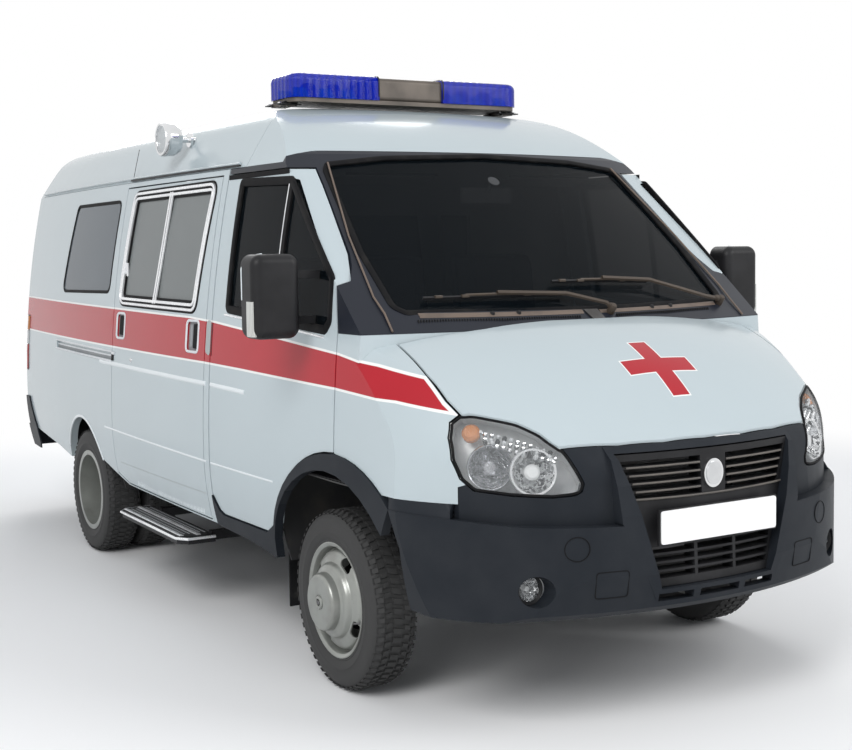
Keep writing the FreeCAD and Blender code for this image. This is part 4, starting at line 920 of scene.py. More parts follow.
def rectangle(width: float, height: float, chamfer: float = 0.0) -> list[tuple[float, float]]:
    """Return a rectangle's outline about the middle of its foot, its outer corners chamfered."""
    half = width / 2
    if not chamfer:
        return [(-half, 0.0), (half, 0.0), (half, height), (-half, height)]
    c = chamfer
    return [
        (-half, 0.0), (half, 0.0), (half, height - c), (half - c, height), (-half + c, height),
        (-half, height - c)
    ]


def both_halves(half: Sequence[tuple[float, float]]) -> list[tuple[float, float]]:
    """Return a section's first half followed by its mirror image."""
    return [*half, *((-across, outward) for across, outward in reversed(half))]


def bead(width: float, height: float, steps: int = 6) -> list[tuple[float, float]]:
    """Return half an ellipse standing on its flat side."""
    angles = [math.pi * k / steps for k in range(steps + 1)]
    return [(-width / 2 * math.cos(angle), height * math.sin(angle)) for angle in angles]


# ---------------------------------------------------------------- finishes in use

class Finish(Enum):
    """The finishes of the vehicle, one for each slot of the record or kind of fitting."""

    PAINT = BodyPaint()
    CROSSED = BodyPaint(name="bonnet_enamel", crossed=True)
    PLAIN_PAINT = BodyPaint(name="plain_enamel", banded=False)
    BUMPER = Plastic("bumper_moulding", (0.014, 0.017, 0.022), (0.023, 0.026, 0.031), 0.46, shine=0.12)
    TRIM = Plastic("black_moulding", (0.012, 0.012, 0.013), (0.026, 0.026, 0.028), 0.42)
    SEAL = Rubber("window_rubber", (0.010, 0.010, 0.011), (0.024, 0.023, 0.022), 0.55)
    GLASS = Pane("tinted_glass", (0.004, 0.006, 0.008), 0.70, shine=0.05)
    FROSTED = Pane("frosted_glass", (0.19, 0.205, 0.205), 0.93, 0.22)
    LENS = Lens("clear_lens", (0.55, 0.57, 0.58), 0.08, flutes=0.0, shine=0.30)
    FLUTED = Lens("fluted_lens", (0.62, 0.66, 0.68), 0.60, flutes=900.0)
    AMBER = Lens("amber_lens", (0.62, 0.20, 0.02), 0.90, flutes=700.0)
    BEACON = Lens("blue_lens", (0.001, 0.014, 0.40), 0.80, 0.08, flutes=170.0, shine=0.10)
    BEACON_BASE = Metal("beacon_base", (0.125, 0.105, 0.088), (0.080, 0.068, 0.058), 0.45, 0.35)
    TAIL = Lens("red_lens", (0.36, 0.010, 0.012), 0.95, flutes=500.0)
    WHITE_LENS = Lens("white_lens", (0.62, 0.64, 0.65), 0.92, 0.12, flutes=500.0)
    TYRE = Rubber("tyre_rubber")
    FLAP = Rubber("flap_rubber", (0.016, 0.016, 0.017), (0.07, 0.067, 0.062))
    WHEEL = Enamel("wheel_enamel", (0.30, 0.31, 0.29), (0.12, 0.11, 0.10), 0.28, 0.45, 0.40)
    CHASSIS = Enamel("chassis_enamel", (0.022, 0.022, 0.023), (0.085, 0.075, 0.062), 0.55)
    CAST = Metal("cast_metal", (0.16, 0.16, 0.165), (0.075, 0.070, 0.066), 0.55, depth=0.0002)
    ALUMINIUM = Metal(
        "brushed_aluminium", (0.66, 0.67, 0.68), (0.52, 0.53, 0.54), 0.30, brush=(2.0, 40.0, 40.0)
    )
    CHROME = Metal("chrome_plate", (0.78, 0.79, 0.80), (0.66, 0.67, 0.68), 0.10, depth=0.000005)
    REFLECTOR = Facets("lamp_reflector")
    CAB = Plastic("cab_moulding", (0.060, 0.062, 0.066), (0.080, 0.082, 0.086), 0.6, 700.0)
    CLOTH = Cloth("seat_weave", (0.045, 0.050, 0.062), (0.095, 0.105, 0.125))
    VINYL = Plastic("mattress_vinyl", (0.055, 0.085, 0.135), (0.075, 0.105, 0.155), 0.45, 500.0, 0.0002)
    LINING = Plastic("cabin_lining", (0.62, 0.62, 0.60), (0.52, 0.52, 0.50), 0.5, 600.0)
    TANK = Plastic("tank_moulding", (0.022, 0.022, 0.024), (0.055, 0.050, 0.045), 0.55)
    EXHAUST = Metal("exhaust_steel", (0.30, 0.28, 0.26), (0.17, 0.13, 0.10), 0.5, brush=(4.0, 60.0, 60.0))
    GREY = Plastic("grey_moulding", (0.30, 0.31, 0.32), (0.24, 0.25, 0.26), 0.5, 800.0)
    HOUSING = Metal("lamp_housing", (0.66, 0.67, 0.67), (0.46, 0.47, 0.48), 0.36, 0.30, depth=0.0005)
    FACETED = Metal("faceted_chrome", (0.42, 0.43, 0.45), (0.08, 0.08, 0.09), 0.12, depth=0.0015)
    LENS_BULB = Lens("bulb_glass", (0.80, 0.81, 0.80), 0.95, 0.08)
    PILLAR = BodyPaint(name="pillar_enamel", dark_above=1.3465, dark=(0.009, 0.011, 0.017))
    # Near black, for black parts and for painted shade in the finger slots of the sliding door handles.
    DARK = Plastic("black_and_slot_shade", (0.004, 0.004, 0.0045), (0.007, 0.007, 0.008), 0.8)
    BRIGHT = Metal(
        "bright_aluminium", (0.86, 0.87, 0.88), (0.74, 0.75, 0.77), 0.26, 0.55, (2.0, 40.0, 40.0)
    )
    SMOKED = Pane("smoked_glass", (0.105, 0.125, 0.145), 0.93, 0.14)
    WHITE_TRIM = Plastic("white_moulding", (0.74, 0.76, 0.78), (0.62, 0.64, 0.66), 0.34, 800.0, 0.00004)
    # Grey darker than the body enamel: painted shade for the cab pillar recess, and a thin grey line along
    # the sill.
    GREY_PAINT = Enamel("grey_scoop_shade_and_line", (0.34, 0.37, 0.37), (0.27, 0.29, 0.29), 0.35, 0.0, 0.3)
    # Body enamel lightened to stand in for light: a painted highlight on pressed lines, lips, ribs and edges.
    LIGHT_PAINT = BodyPaint(
        name="highlight_enamel", colour=(0.78, 0.82, 0.84), shaded=(0.70, 0.75, 0.77), banded=False
    )
    # Brown moulding of the cowl panels; on the pillar lines the same brown is a painted highlight.
    COWL = Enamel("cowl_and_pillar_highlight", (0.150, 0.112, 0.088), (0.060, 0.050, 0.045), 0.42, 0.15, 0.5)
    PLATE = Enamel("blank_plate", (0.92, 0.92, 0.91), (0.80, 0.80, 0.78), 0.30, 0.0, 0.2)
    # Brown beads on the black grille bars: painted highlight along their edges.
    GRILLE_EDGE = Plastic("grille_edge", (0.135, 0.122, 0.108), (0.085, 0.080, 0.075), 0.35, 700.0, 0.00005)
    MIRROR = Metal("mirror_silver", (0.86, 0.87, 0.88), (0.80, 0.81, 0.82), 0.08, depth=0.000002)
    REPEATER = Lens("repeater_lens", (0.62, 0.63, 0.60), 0.94, 0.16, flutes=500.0)
    ROTATOR = Plastic(
        "rotator_moulding", (0.020, 0.020, 0.075), (0.045, 0.040, 0.120), 0.30, 500.0, 0.00005
    )
    AZURE = Plastic("azure_mirror", (0.02, 0.42, 1.00), (0.01, 0.22, 0.80), 0.25, 400.0, 0.0002)
    # Brown on the wiper arms, claws and caps: painted sheen on black metal.
    WIPER = Enamel("wiper_sheen_enamel", (0.050, 0.036, 0.026), (0.10, 0.075, 0.05), 0.45, 0.2, 0.4)

    def get(self) -> bpy.types.Material:
        """Return the finish's material, building it at its first use."""
        found = bpy.data.materials.get(self.value.name)
        return found or self.value.material()


DRESS: dict[str, Finish] = {
    "body_paint": Finish.PAINT, "bumper_plastic": Finish.BUMPER, "black_trim": Finish.TRIM,
    "window_glass": Finish.GLASS, "lamp_lens": Finish.LENS, "beacon_lens": Finish.BEACON,
    "tail_lens": Finish.TAIL, "tyre_rubber": Finish.TYRE, "rubber_flap": Finish.FLAP,
    "wheel_paint": Finish.WHEEL, "chassis_paint": Finish.CHASSIS, "cast_parts": Finish.CAST,
    "aluminium_parts": Finish.ALUMINIUM, "bright_lamp": Finish.CHROME, "cab_plastic": Finish.CAB,
    "seat_cloth": Finish.CLOTH, "lining": Finish.LINING, "tank_plastic": Finish.TANK,
    "exhaust_steel": Finish.EXHAUST,
}


def dress_nodes() -> None:
    """Give every node of the frame the finish of its slot."""
    special = {
        "bonnet": Finish.CROSSED, "side_glass": Finish.FROSTED, "windscreen_frame": Finish.PILLAR,
        "side_step": Finish.TRIM, "grille": Finish.TRIM, "light_bar_base": Finish.BEACON_BASE,
    }
    for row in frame["record"]["subparts"]:
        name = row["node"]
        made = frame["nodes"].get(name)
        if made is None:
            continue
        finish = special.get(name, DRESS[row["material_slot"]])
        for slot in made.material_slots:
            slot.material = finish.get()
        LOG.info("%s: %s", name, finish.name.lower())


# ---------------------------------------------------------------- studio

@dataclass
class Studio:
    """Pale floor, soft panels of light, a white world and the camera."""

    eye: Point = (6.239, -3.225, 1.660)
    yaw: float = 149.09
    pitch: float = -4.14
    roll: float = -0.81
    lens: float = 58.1
    shift: tuple[float, float] = (-0.0047, -0.0352)
    floor_reach: float = 60.0

    def camera(self) -> None:
        """Stand the camera at the front right quarter."""
        data = bpy.data.cameras.new("camera")
        data.lens = self.lens
        data.sensor_width = 36.0
        data.shift_x, data.shift_y = self.shift
        data.clip_end = 200.0
        made = linked("camera", data)
        yaw, pitch, roll = (math.radians(angle) for angle in (self.yaw, self.pitch, self.roll))
        ahead = Vector((math.cos(pitch) * math.cos(yaw), math.cos(pitch) * math.sin(yaw), math.sin(pitch)))
        right = ahead.cross(UPWARDS).normalized()
        up = right.cross(ahead).normalized()
        right, up = right * math.cos(roll) + up * math.sin(roll), up * math.cos(roll) - right * math.sin(roll)
        turn = Matrix((right, up, -ahead)).transposed().to_4x4()
        made.matrix_world = Matrix.Translation(Vector(self.eye)) @ turn
        bpy.context.scene.camera = made

    def floor(self) -> None:
        """Lay the floor."""
        mesh = bmesh.new()
        reach = self.floor_reach
        corners = ((-reach, -reach), (reach, -reach), (reach, reach), (-reach, reach))
        mesh.faces.new([mesh.verts.new((x, y, -0.0005)) for x, y in corners])
        made = linked("studio_floor", mesh_data(mesh, "studio_floor", [Backdrop().material()]))

    def panel(self, name: str, spot: Point, target: Point, size: tuple[float, float], power: float) -> None:
        """Hang one soft panel of light."""
        data = bpy.data.lights.new(name, "AREA")
        data.shape = "RECTANGLE"
        data.size, data.size_y = size
        data.energy = power
        made = linked(name, data)
        way = Vector(target) - Vector(spot)
        turn = way.to_track_quat("-Z", "Y").to_matrix().to_4x4()
        made.matrix_world = Matrix.Translation(Vector(spot)) @ turn

    def world(self) -> None:
        """Fill the sky: soft grey light for the object and white for the eye."""
        world = bpy.data.worlds.new("sky")
        bpy.context.scene.world = world
        world.use_nodes = True
        tree = world.node_tree
        tree.nodes.clear()
        output = tree.nodes.new("ShaderNodeOutputWorld")
        lit = tree.nodes.new("ShaderNodeBackground")
        lit.inputs[0].default_value = (0.93, 0.96, 1.0, 1.0)
        lit.inputs[1].default_value = 0.55
        seen = tree.nodes.new("ShaderNodeBackground")
        seen.inputs[0].default_value = (1.0, 1.0, 1.0, 1.0)
        seen.inputs[1].default_value = 1.0
        path = tree.nodes.new("ShaderNodeLightPath")
        either = None
        for kind in ("Is Glossy Ray", "Is Transmission Ray"):
            sum_of = tree.nodes.new("ShaderNodeMath")
            sum_of.operation = "MAXIMUM"
            tree.links.new(either.outputs[0] if either else path.outputs["Is Camera Ray"], sum_of.inputs[0])
            tree.links.new(path.outputs[kind], sum_of.inputs[1])
            either = sum_of
        mix = tree.nodes.new("ShaderNodeMixShader")
        tree.links.new(either.outputs[0], mix.inputs[0])
        tree.links.new(lit.outputs[0], mix.inputs[1])
        tree.links.new(seen.outputs[0], mix.inputs[2])
        tree.links.new(mix.outputs[0], output.inputs[0])

    def build(self) -> None:
        """Set up the whole studio."""
        bpy.context.scene.view_settings.view_transform = "Standard"
        self.camera()
        self.floor()
        self.world()
        self.panel("key", (6.0, -6.5, 6.5), (0.6, 0.0, 1.0), (4.5, 4.5), 470.0)
        self.panel("fill", (7.5, 4.5, 5.0), (1.0, 0.0, 1.0), (4.0, 4.0), 260.0)
        self.panel("back", (-7.5, 3.0, 6.0), (-0.5, 0.0, 1.4), (5.0, 5.0), 320.0)


# ---------------------------------------------------------------- lamps

def merged_copy(node: str) -> bmesh.types.BMesh:
    """Return a merged copy of a frame node's mesh."""
    mesh = bmesh.new()
    mesh.from_mesh(frame["nodes"][node].data)
    bmesh.ops.remove_doubles(mesh, verts=mesh.verts[:], dist=0.00002)
    return mesh


def rim_of(mesh: bmesh.types.BMesh, spacing: float) -> list[Vector]:
    """Return the longest open edge loop of a sheet as points about a spacing apart.

    Each walk starts at the rearmost open edge left, so that every run gives the same points.
    """
    edges = {edge for edge in mesh.edges if len(edge.link_faces) == 1}
    best: list[Vector] = []
    while edges:
        start = min(edges, key=lambda edge: sorted(tuple(vert.co) for vert in edge.verts))
        edges.discard(start)
        loop = sorted(start.verts, key=lambda vert: tuple(vert.co))
        while True:
            onward = next((edge for edge in loop[-1].link_edges if edge in edges), None)
            if onward is None:
                break
            edges.discard(onward)
            loop.append(onward.other_vert(loop[-1]))
        points = [vert.co.copy() for vert in loop]
        kept = [points[0]]
        for point in points[1:]:
            if (point - kept[-1]).length >= spacing:
                kept.append(point)
        if len(kept) > 2 and (kept[-1] - kept[0]).length < spacing * 0.6:
            kept.pop()
        if len(kept) > len(best):
            best = kept
    return best


@dataclass
class Headlamps:
    """Teardrop headlamps with their reflectors, indicator and upper side lamp, and the fog lamps."""

    lens_wall: float = 0.003
    depth: float = 0.092
    outer_bowl: tuple[float, float, float] = (817, 769, 930)
    inner_bowl: tuple[float, float, float] = (906, 651, 917)
    bowl_radius: float = 0.072
    bulb_radius: float = 0.027
    indicator: tuple[float, float, float] = (738, 798, 1052)
    indicator_radius: float = 0.031
    fog: tuple[float, float, float] = (835, 672, 528)
    fog_radius: float = 0.040
    bead: float = 0.0048
    studs: int = 12

    def _sheet(self, side: int) -> bmesh.types.BMesh:
        """Return the outer face of one lamp as an open sheet."""
        mesh = merged_copy("front_lamps")
        drop = [
            face for face in mesh.faces
            if face.normal.x < 0.06
            or face.calc_center_median().z < 0.75
            or face.calc_center_median().y * side < 0
        ]
        bmesh.ops.delete(mesh, geom=drop, context="FACES")
        return mesh

    def _shell(self, side: int, name: str, push: float, depth: float, finish: Finish, slot: str) -> None:
        """Make the clear outer lens as a thin curved shell."""
        mesh = self._sheet(side)
        for vert in mesh.verts:
            vert.co.x += push
        made = bmesh.ops.extrude_face_region(mesh, geom=mesh.faces[:], use_keep_orig=True)
        moved = [item for item in made["geom"] if isinstance(item, bmesh.types.BMVert)]
        for vert in moved:
            vert.co.x -= depth
        bmesh.ops.recalc_face_normals(mesh, faces=mesh.faces[:])
        maker = Maker()
        maker.absorb(mesh)
        maker.piece(name, BODY, [finish], 40.0, slot)

    def _housing(self, side: int, name: str) -> None:
        """Make the silvered housing, open towards the lens."""
        mesh = self._sheet(side)
        for vert in mesh.verts:
            vert.co.x -= 0.006
        front = mesh.faces[:]
        made = bmesh.ops.extrude_face_region(mesh, geom=front)
        bmesh.ops.delete(mesh, geom=[face for face in front if face.is_valid], context="FACES_ONLY")
        moved = [item for item in made["geom"] if isinstance(item, bmesh.types.BMVert)]
        middle = sum((vert.co for vert in moved), Vector()) / len(moved)
        lens = self._sheet(side)
        outward = sum((face.normal * face.calc_area() for face in lens.faces), Vector()).normalized()
        lens.free()
        for vert in moved:
            vert.co = middle + (vert.co - middle) * 0.95 - outward * self.depth
        for face in mesh.faces:
            face.smooth = True
        housing = formed(mesh, name, [Finish.HOUSING])
        wall = housing.modifiers.new("wall", "SOLIDIFY")
        wall.thickness = 0.002
        finished = baked(housing, name)
        shade(finished, 30)
        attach(finished, BODY)
        if side == RIGHT:
            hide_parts("front_lamps")

    def _under(self, face: BVHTree, y: float, z: float) -> tuple[Vector, Vector]:
        """Return the lens point and normal at a place seen from in front."""
        hit, normal = face.ray_cast(Vector((4.0, y, z)), REARWARDS)[:2]
        if hit is None:
            hit, normal = face.find_nearest(Vector((at(self.inner_bowl[0]), y, z)))[:2]
        return hit, normal if normal.x > 0 else -normal

    def _seat(self, face: BVHTree, side: int, spot: Sequence[float]) -> tuple[Vector, Vector]:
        """Return the middle and the axis of one bowl, just under the lens."""
        y, z = side * spot[1] / 1000, spot[2] / 1000
        reach = self.bowl_radius + 0.006
        turns = [2 * math.pi * step / 20 for step in range(20)]
        found = [self._under(face, y + reach * math.cos(a), z + reach * math.sin(a)) for a in turns]
        axis = sum((normal for _, normal in found), Vector((0.25 * len(found), 0, 0))).normalized()
        middle, _ = self._under(face, y, z)
        across = axis.cross(UPWARDS).normalized()
        upward = across.cross(axis)
        lowest = 0.0
        for a in turns:
            rim = middle + across * (reach * math.cos(a)) + upward * (reach * math.sin(a))
            hit = face.ray_cast(rim + axis * 0.3, -axis)[0]
            if hit is not None:
                lowest = min(lowest, (hit - rim).dot(axis))
        return middle + axis * (lowest - 0.010), axis

    def _bowl(self, maker: Maker, centre: Point, axis: Vector, ringed: bool) -> None:
        """Add one reflector bowl with its rim and bulb."""
        r = self.bowl_radius
        rim = r + (0.006 if ringed else 0.002)
        inner = [(r * k / 8, -0.052 * (1 - (k / 8) ** 2)) for k in range(8)]
        outer = [
            (r - 0.001, 0.004), (rim, 0.006), (rim + 0.003, 0.0), (rim, -0.010), (r * 0.5, -0.062),
            (0, -0.066)
        ]
        profile = inner + outer
        maker.use(0).spun(profile[:9], centre, axis, 48)
        maker.use(1 if ringed else 3).spun(profile[8:], centre, axis, 48)
        b = self.bulb_radius
        shade_cap = [(0, -0.004), (b * 0.7, -0.008), (b, -0.018), (b, -0.046), (0, -0.046)]
        maker.use(2 if ringed else 3).spun(shade_cap, centre, axis, 24)

    def build(self) -> None:
        """Build both headlamps and both fog lamps in place of the plain ones."""
        for name, side in SIDES:
            self._shell(side, f"headlamp_lens_{name}", 0.0, self.lens_wall, Finish.LENS, "lamp_lens")
            self._housing(side, f"headlamp_housing_{name}")
            maker = Maker()
            sheet = self._sheet(side)
            face = BVHTree.FromBMesh(sheet)
            sheet.free()
            for spot, ringed in ((self.outer_bowl, False), (self.inner_bowl, True)):
                centre, axis = self._seat(face, side, spot)
                self._bowl(maker, centre, axis, ringed)
            maker.piece(
                f"headlamp_reflectors_{name}", BODY,
                [Finish.REFLECTOR, Finish.CHROME, Finish.LENS_BULB, Finish.FACETED],
                30.0, "bright_lamp",
            )
            spot, axis = self._under(face, side * self.indicator[1] / 1000, self.indicator[2] / 1000)
            r = self.indicator_radius
            dome = [(0, 0.010), (r * 0.7, 0.007), (r, -0.004), (r, -0.022), (0, -0.022)]
            lens = Maker().spun(dome, spot - axis * 0.024, axis, 32)
            lens.piece(f"indicator_{name}", BODY, [Finish.AMBER], 40.0, "lamp_lens")
            self._strip(name, side, face)
            sheet = self._sheet(side)
            rim = rim_of(sheet, 0.012)
            sheet.free()
            centre = sum(rim, Vector()) / len(rim)
            for _ in range(3):
                rim = [a.lerp(b, t) for a, b in zip(rim, rim[1:] + rim[:1]) for t in (0.25, 0.75)]
            back = Vector((-0.001, 0, 0))
            inward = [point + (centre - point).normalized() * 0.0005 + back for point in rim[::2]]
            seal = Maker().rod(inward, self.bead, 8, closed=True)
            seal.piece(f"headlamp_seal_{name}", BODY, [Finish.SEAL], 60.0, "black_trim")
            self._fog(name, side)

    def _strip(self, name: str, side: int, face: BVHTree) -> None:
        """Add the side lamp above the reflectors: three rows of bright and dark pebbles behind the lens."""
        maker = Maker()
        pebble = [(0, 0.006), (0.0055, 0.004), (0.0088, -0.002), (0.0088, -0.012), (0, -0.012)]
        for row in range(3):
            for index in range(self.studs):
                share = (index + 0.5 * (row % 2)) / (self.studs - 1)
                y = side * (0.772 - 0.190 * share)
                z = 1.052 - 0.064 * share ** 1.3 - 0.0165 * row
                spot, axis = self._under(face, y, z)
                pattern = (index * 5 + row * 3) % 7
                look = 1 if pattern in (1, 4) else 2 if pattern == 6 else 0
                maker.use(look).spun(pebble, spot - axis * 0.022, axis, 6)
        maker.piece(
            f"side_lamp_{name}", BODY, [Finish.CHROME, Finish.WHITE_LENS, Finish.DARK], 20.0, "bright_lamp"
        )

    def _fog(self, name: str, side: int) -> None:
        """Add one fog lamp deep in its round recess."""
        centre = Vector((at(self.fog[0] + 62), side * self.fog[1] / 1000, self.fog[2] / 1000))
        r = self.fog_radius
        maker = Maker()
        ring = [(r * 0.99, 0.0), (r + 0.009, 0.008), (r + 0.010, -0.055), (r - 0.004, -0.055)]
        maker.use(0).spun(ring, centre, FORWARDS, 40, closed=True)
        bowl = [(r * k / 6, -0.040 * (1 - (k / 6) ** 2)) for k in range(7)]
        maker.use(1).spun(bowl + [(r, -0.045), (0, -0.048)], centre, FORWARDS, 40)
        bulb = [(0, -0.008), (0.009, -0.012), (0.011, -0.034), (0, -0.034)]
        maker.use(2).spun(bulb, centre, FORWARDS, 20)
        maker.piece(
            f"fog_lamp_{name}", BODY, [Finish.TRIM, Finish.REFLECTOR, Finish.LENS_BULB], 35.0, "lamp_lens"
        )
        cover = [(0, 0.004), (r * 0.6, 0.003), (r, -0.002), (r, -0.005), (0, -0.004)]
        glass = Maker().spun(cover, centre, FORWARDS, 40)
        glass.piece(f"fog_lens_{name}", BODY, [Finish.LENS], 60.0, "lamp_lens")


def baked(made: bpy.types.Object, name: str) -> bpy.types.Object:
    """Return a plain mesh object of an object with its modifiers applied, and remove the old one."""
    graph = bpy.context.evaluated_depsgraph_get()
    graph.update()
    mesh = bpy.data.meshes.new_from_object(
        made.evaluated_get(graph), preserve_all_data_layers=True, depsgraph=graph
    )
    discard(made)
    mesh.name = name
    return linked(name, mesh)


# ---------------------------------------------------------------- repeated parts by geometry nodes

class Repeater:
    """A geometry tree that repeats a cell round an axis or along a line and sets its material."""

    def __init__(self, name: str, round_axis: bool) -> None:
        """Build the tree.

        Args:
            name: the tree's name.
            round_axis: copies turn about the Y axis through Centre if true, else they step along Step.
        """
        self.tree = bpy.data.node_groups.new(name, "GeometryNodeTree")
        inputs = (
            ("Cell", "NodeSocketGeometry"), ("Count", "NodeSocketInt"), ("Centre", "NodeSocketVector"),
            ("Step", "NodeSocketVector"), ("Turn", "NodeSocketFloat"), ("Finish", "NodeSocketMaterial"),
        )
        self.keys = {}
        for label, kind in inputs:
            item = self.tree.interface.new_socket(name=label, in_out="INPUT", socket_type=kind)
            self.keys[label] = item.identifier
        self.tree.interface.new_socket(name="Geometry", in_out="OUTPUT", socket_type="NodeSocketGeometry")
        nodes, links = self.tree.nodes, self.tree.links
        given = nodes.new("NodeGroupInput")
        line = nodes.new("GeometryNodeMeshLine")
        links.new(given.outputs["Count"], line.inputs["Count"])
        links.new(given.outputs["Centre"], line.inputs["Start Location"])
        if round_axis:
            line.inputs["Offset"].default_value = (0, 0, 0)
        else:
            links.new(given.outputs["Step"], line.inputs["Offset"])
        copies = nodes.new("GeometryNodeInstanceOnPoints")
        links.new(line.outputs[0], copies.inputs["Points"])
        links.new(given.outputs["Cell"], copies.inputs["Instance"])
        if round_axis:
            index = nodes.new("GeometryNodeInputIndex")
            angle = nodes.new("ShaderNodeMath")
            angle.operation = "MULTIPLY"
            links.new(index.outputs[0], angle.inputs[0])
            links.new(given.outputs["Turn"], angle.inputs[1])
            spin = nodes.new("ShaderNodeCombineXYZ")
            links.new(angle.outputs[0], spin.inputs["Y"])
            links.new(spin.outputs[0], copies.inputs["Rotation"])
        real = nodes.new("GeometryNodeRealizeInstances")
        links.new(copies.outputs[0], real.inputs[0])
        coat = nodes.new("GeometryNodeSetMaterial")
        links.new(real.outputs[0], coat.inputs["Geometry"])
        links.new(given.outputs["Finish"], coat.inputs["Material"])
        result = nodes.new("NodeGroupOutput")
        links.new(coat.outputs[0], result.inputs[0])

    def make(
        self, cell: Maker, name: str, count: int, centre: Point, finish: Finish, step: Point = (0, 0, 0),
    ) -> bpy.types.Object:
        """Repeat a cell and return a plain mesh object.

        Args:
            cell: the shape that is repeated, about the origin.
            name: the new object's name.
            count: how many copies.
            centre: where the first copy, or the axis, goes.
            finish: the finish of all copies.
            step: from one copy to the next along a line.
        """
        made = formed(cell.mesh, name)
        modifier = made.modifiers.new("repeat", "NODES")
        modifier.node_group = self.tree
        settings = {
            "Count": count, "Centre": centre, "Step": step, "Turn": 2 * math.pi / count,
            "Finish": finish.get(),
        }
        for label, setting in settings.items():
            modifier[self.keys[label]] = setting
        return baked(made, name)


def joined(first: bpy.types.Object, others: Sequence[bpy.types.Object], name: str) -> bpy.types.Object:
    """Join plain mesh objects into one, keeping each face's material."""
    materials: list[bpy.types.Material] = []
    mesh = bmesh.new()
    for made in (first, *others):
        numbers = []
        for material in made.data.materials:
            if material not in materials:
                materials.append(material)
            numbers.append(materials.index(material))
        start = len(mesh.faces)
        mesh.from_mesh(made.data)
        mesh.faces.ensure_lookup_table()
        for index in range(start, len(mesh.faces)):
            face = mesh.faces[index]
            face.material_index = numbers[face.material_index] if numbers else 0
    data = mesh_data(mesh, name, materials)
    for made in (first, *others):
        discard(made)
    return linked(name, data)


# ---------------------------------------------------------------- wheels and tyres

@dataclass
class Tyres:
    """Knobbly winter tyres: turned carcasses with repeated tread cells."""

    radius: float = TYRE_RADIUS
    width: float = 0.185
    bead_radius: float = 0.205
    tread_depth: float = 0.008
    cells: int = 58

    def _carcass(self, maker: Maker, y: float, x: float) -> None:
        """Add one carcass about its axle."""
        half, top, bead_r = self.width / 2, self.radius - self.tread_depth, self.bead_radius
        outer = [
            (bead_r, -half * 0.80), (bead_r + 0.012, -half * 0.90), (bead_r + 0.020, -half * 0.915),
            (bead_r + 0.022, -half * 0.90), (bead_r + 0.030, -half * 0.955), (bead_r + 0.052, -half * 1.0),
            (bead_r + 0.054, -half * 0.985), (bead_r + 0.078, -half * 0.985),
            (bead_r + 0.098, -half * 0.955),
            (top - 0.014, -half * 0.90), (top - 0.005, -half * 0.82), (top, -half * 0.70),
            (top + 0.001, -half * 0.3),
        ]
        inside = [(bead_r - 0.004, half * 0.6), (bead_r - 0.004, -half * 0.6)]
        profile = outer + [(r, -a) for r, a in reversed(outer)] + inside
        maker.spun(profile, (x, y, self.radius), (0, 1, 0), 96, closed=True)

    def _cell(self) -> Maker:
        """Return one tread cell at the top of a wheel whose axle passes the origin."""
        half, top = self.width / 2, self.radius
        pitch = 2 * math.pi * top / self.cells
        foot, crown = top - self.tread_depth - 0.003, top - 0.0003
        cell = Maker()

        def block(corners: Sequence[tuple[float, float]], drop: float = 0.0) -> None:
            """Add one block from (across, round) corners in shares of the half width and the pitch."""
            low = [Vector((b * pitch, a * half, foot - drop)) for a, b in corners]
            middle = sum(low, Vector()) / len(low)
            high = []
            for p in low:
                fall = 0.060 * max(abs(p.y) / half - 0.66, 0.0)
                inwards = (middle.x + (p.x - middle.x) * 0.88, middle.y + (p.y - middle.y) * 0.92)
                high.append(Vector((*inwards, crown - drop - fall)))
            lows = [cell.mesh.verts.new(p) for p in low]
            highs = [cell.mesh.verts.new(p) for p in high]
            cell._faces([lows, highs], closed=False, caps=True)

        for side in (RIGHT, LEFT):
            shift = 0.25 * side
            shoulder = ((0.60, -0.36), (0.90, -0.30), (0.90, 0.26), (0.60, 0.20))
            inner = ((0.28, -0.30), (0.54, -0.16), (0.54, 0.34), (0.28, 0.20))
            block([(side * across, along + shift) for across, along in shoulder])
            block([(side * across, along - shift) for across, along in inner])
        block([(-0.20, -0.42), (0.20, -0.20), (0.20, 0.42), (-0.20, 0.20)])
        return cell

    def _build_one(
        self, name: str, body: str, node: str, x: float, ys: Sequence[float], repeater: Repeater
    ) -> None:
        """Make the tyre or the twin tyres of one wheel body."""
        maker = Maker()
        for y in ys:
            self._carcass(maker, y, x)
        carcass = formed(maker.mesh, name, [Finish.TYRE])
        treads = [
            repeater.make(
                self._cell(), f"{name}_tread_{index}", self.cells, (x, y, self.radius), Finish.TYRE
            )
            for index, y in enumerate(ys)
        ]
        whole = joined(carcass, treads, name)
        shade(whole, 38)
        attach(whole, body)
        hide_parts(node)
        LOG.info("%s: %d faces", name, len(whole.data.polygons))

    def build(self) -> None:
        """Make all six tyres."""
        repeater = Repeater("tread_repeat", round_axis=True)
        for name, side in SIDES:
            y = side * FRONT_WHEEL_Y
            self._build_one(
                f"tyre_front_{name}", f"front_wheel_{name}_set", f"front_tyre_{name}", FRONT_AXLE, [y],
                repeater,
            )
            ys = [side * REAR_WHEEL_Y - TWIN_OFFSET, side * REAR_WHEEL_Y + TWIN_OFFSET]
            self._build_one(
                f"tyres_rear_{name}", f"rear_wheels_{name}_set", f"rear_tyres_{name}", REAR_AXLE, ys,
                repeater,
            )


# ---------------------------------------------------------------- strips on the body sides

SLIDING_WINDOW = ((-2256, 1394), (-2196, 1936), (-1120, 1942), (-1202, 1389))
QUARTER_WINDOW = ((-3446, 1420), (-3302, 1914), (-2418, 1914), (-2450, 1436))
CAB_WINDOW = ((-856, 1399), (-860, 1942), (-385, 1930), (44, 1548), (56, 1385), (24, 1348))
HANDLE_SCOOPS = (
    ((-2277, 1217), (-2277, 1336), (-2155, 1338), (-2153, 1219)),
    ((-1280, 1207), (-1280, 1338), (-1146, 1340), (-1146, 1208)),
)
WINDOW_CORNER = 55.0


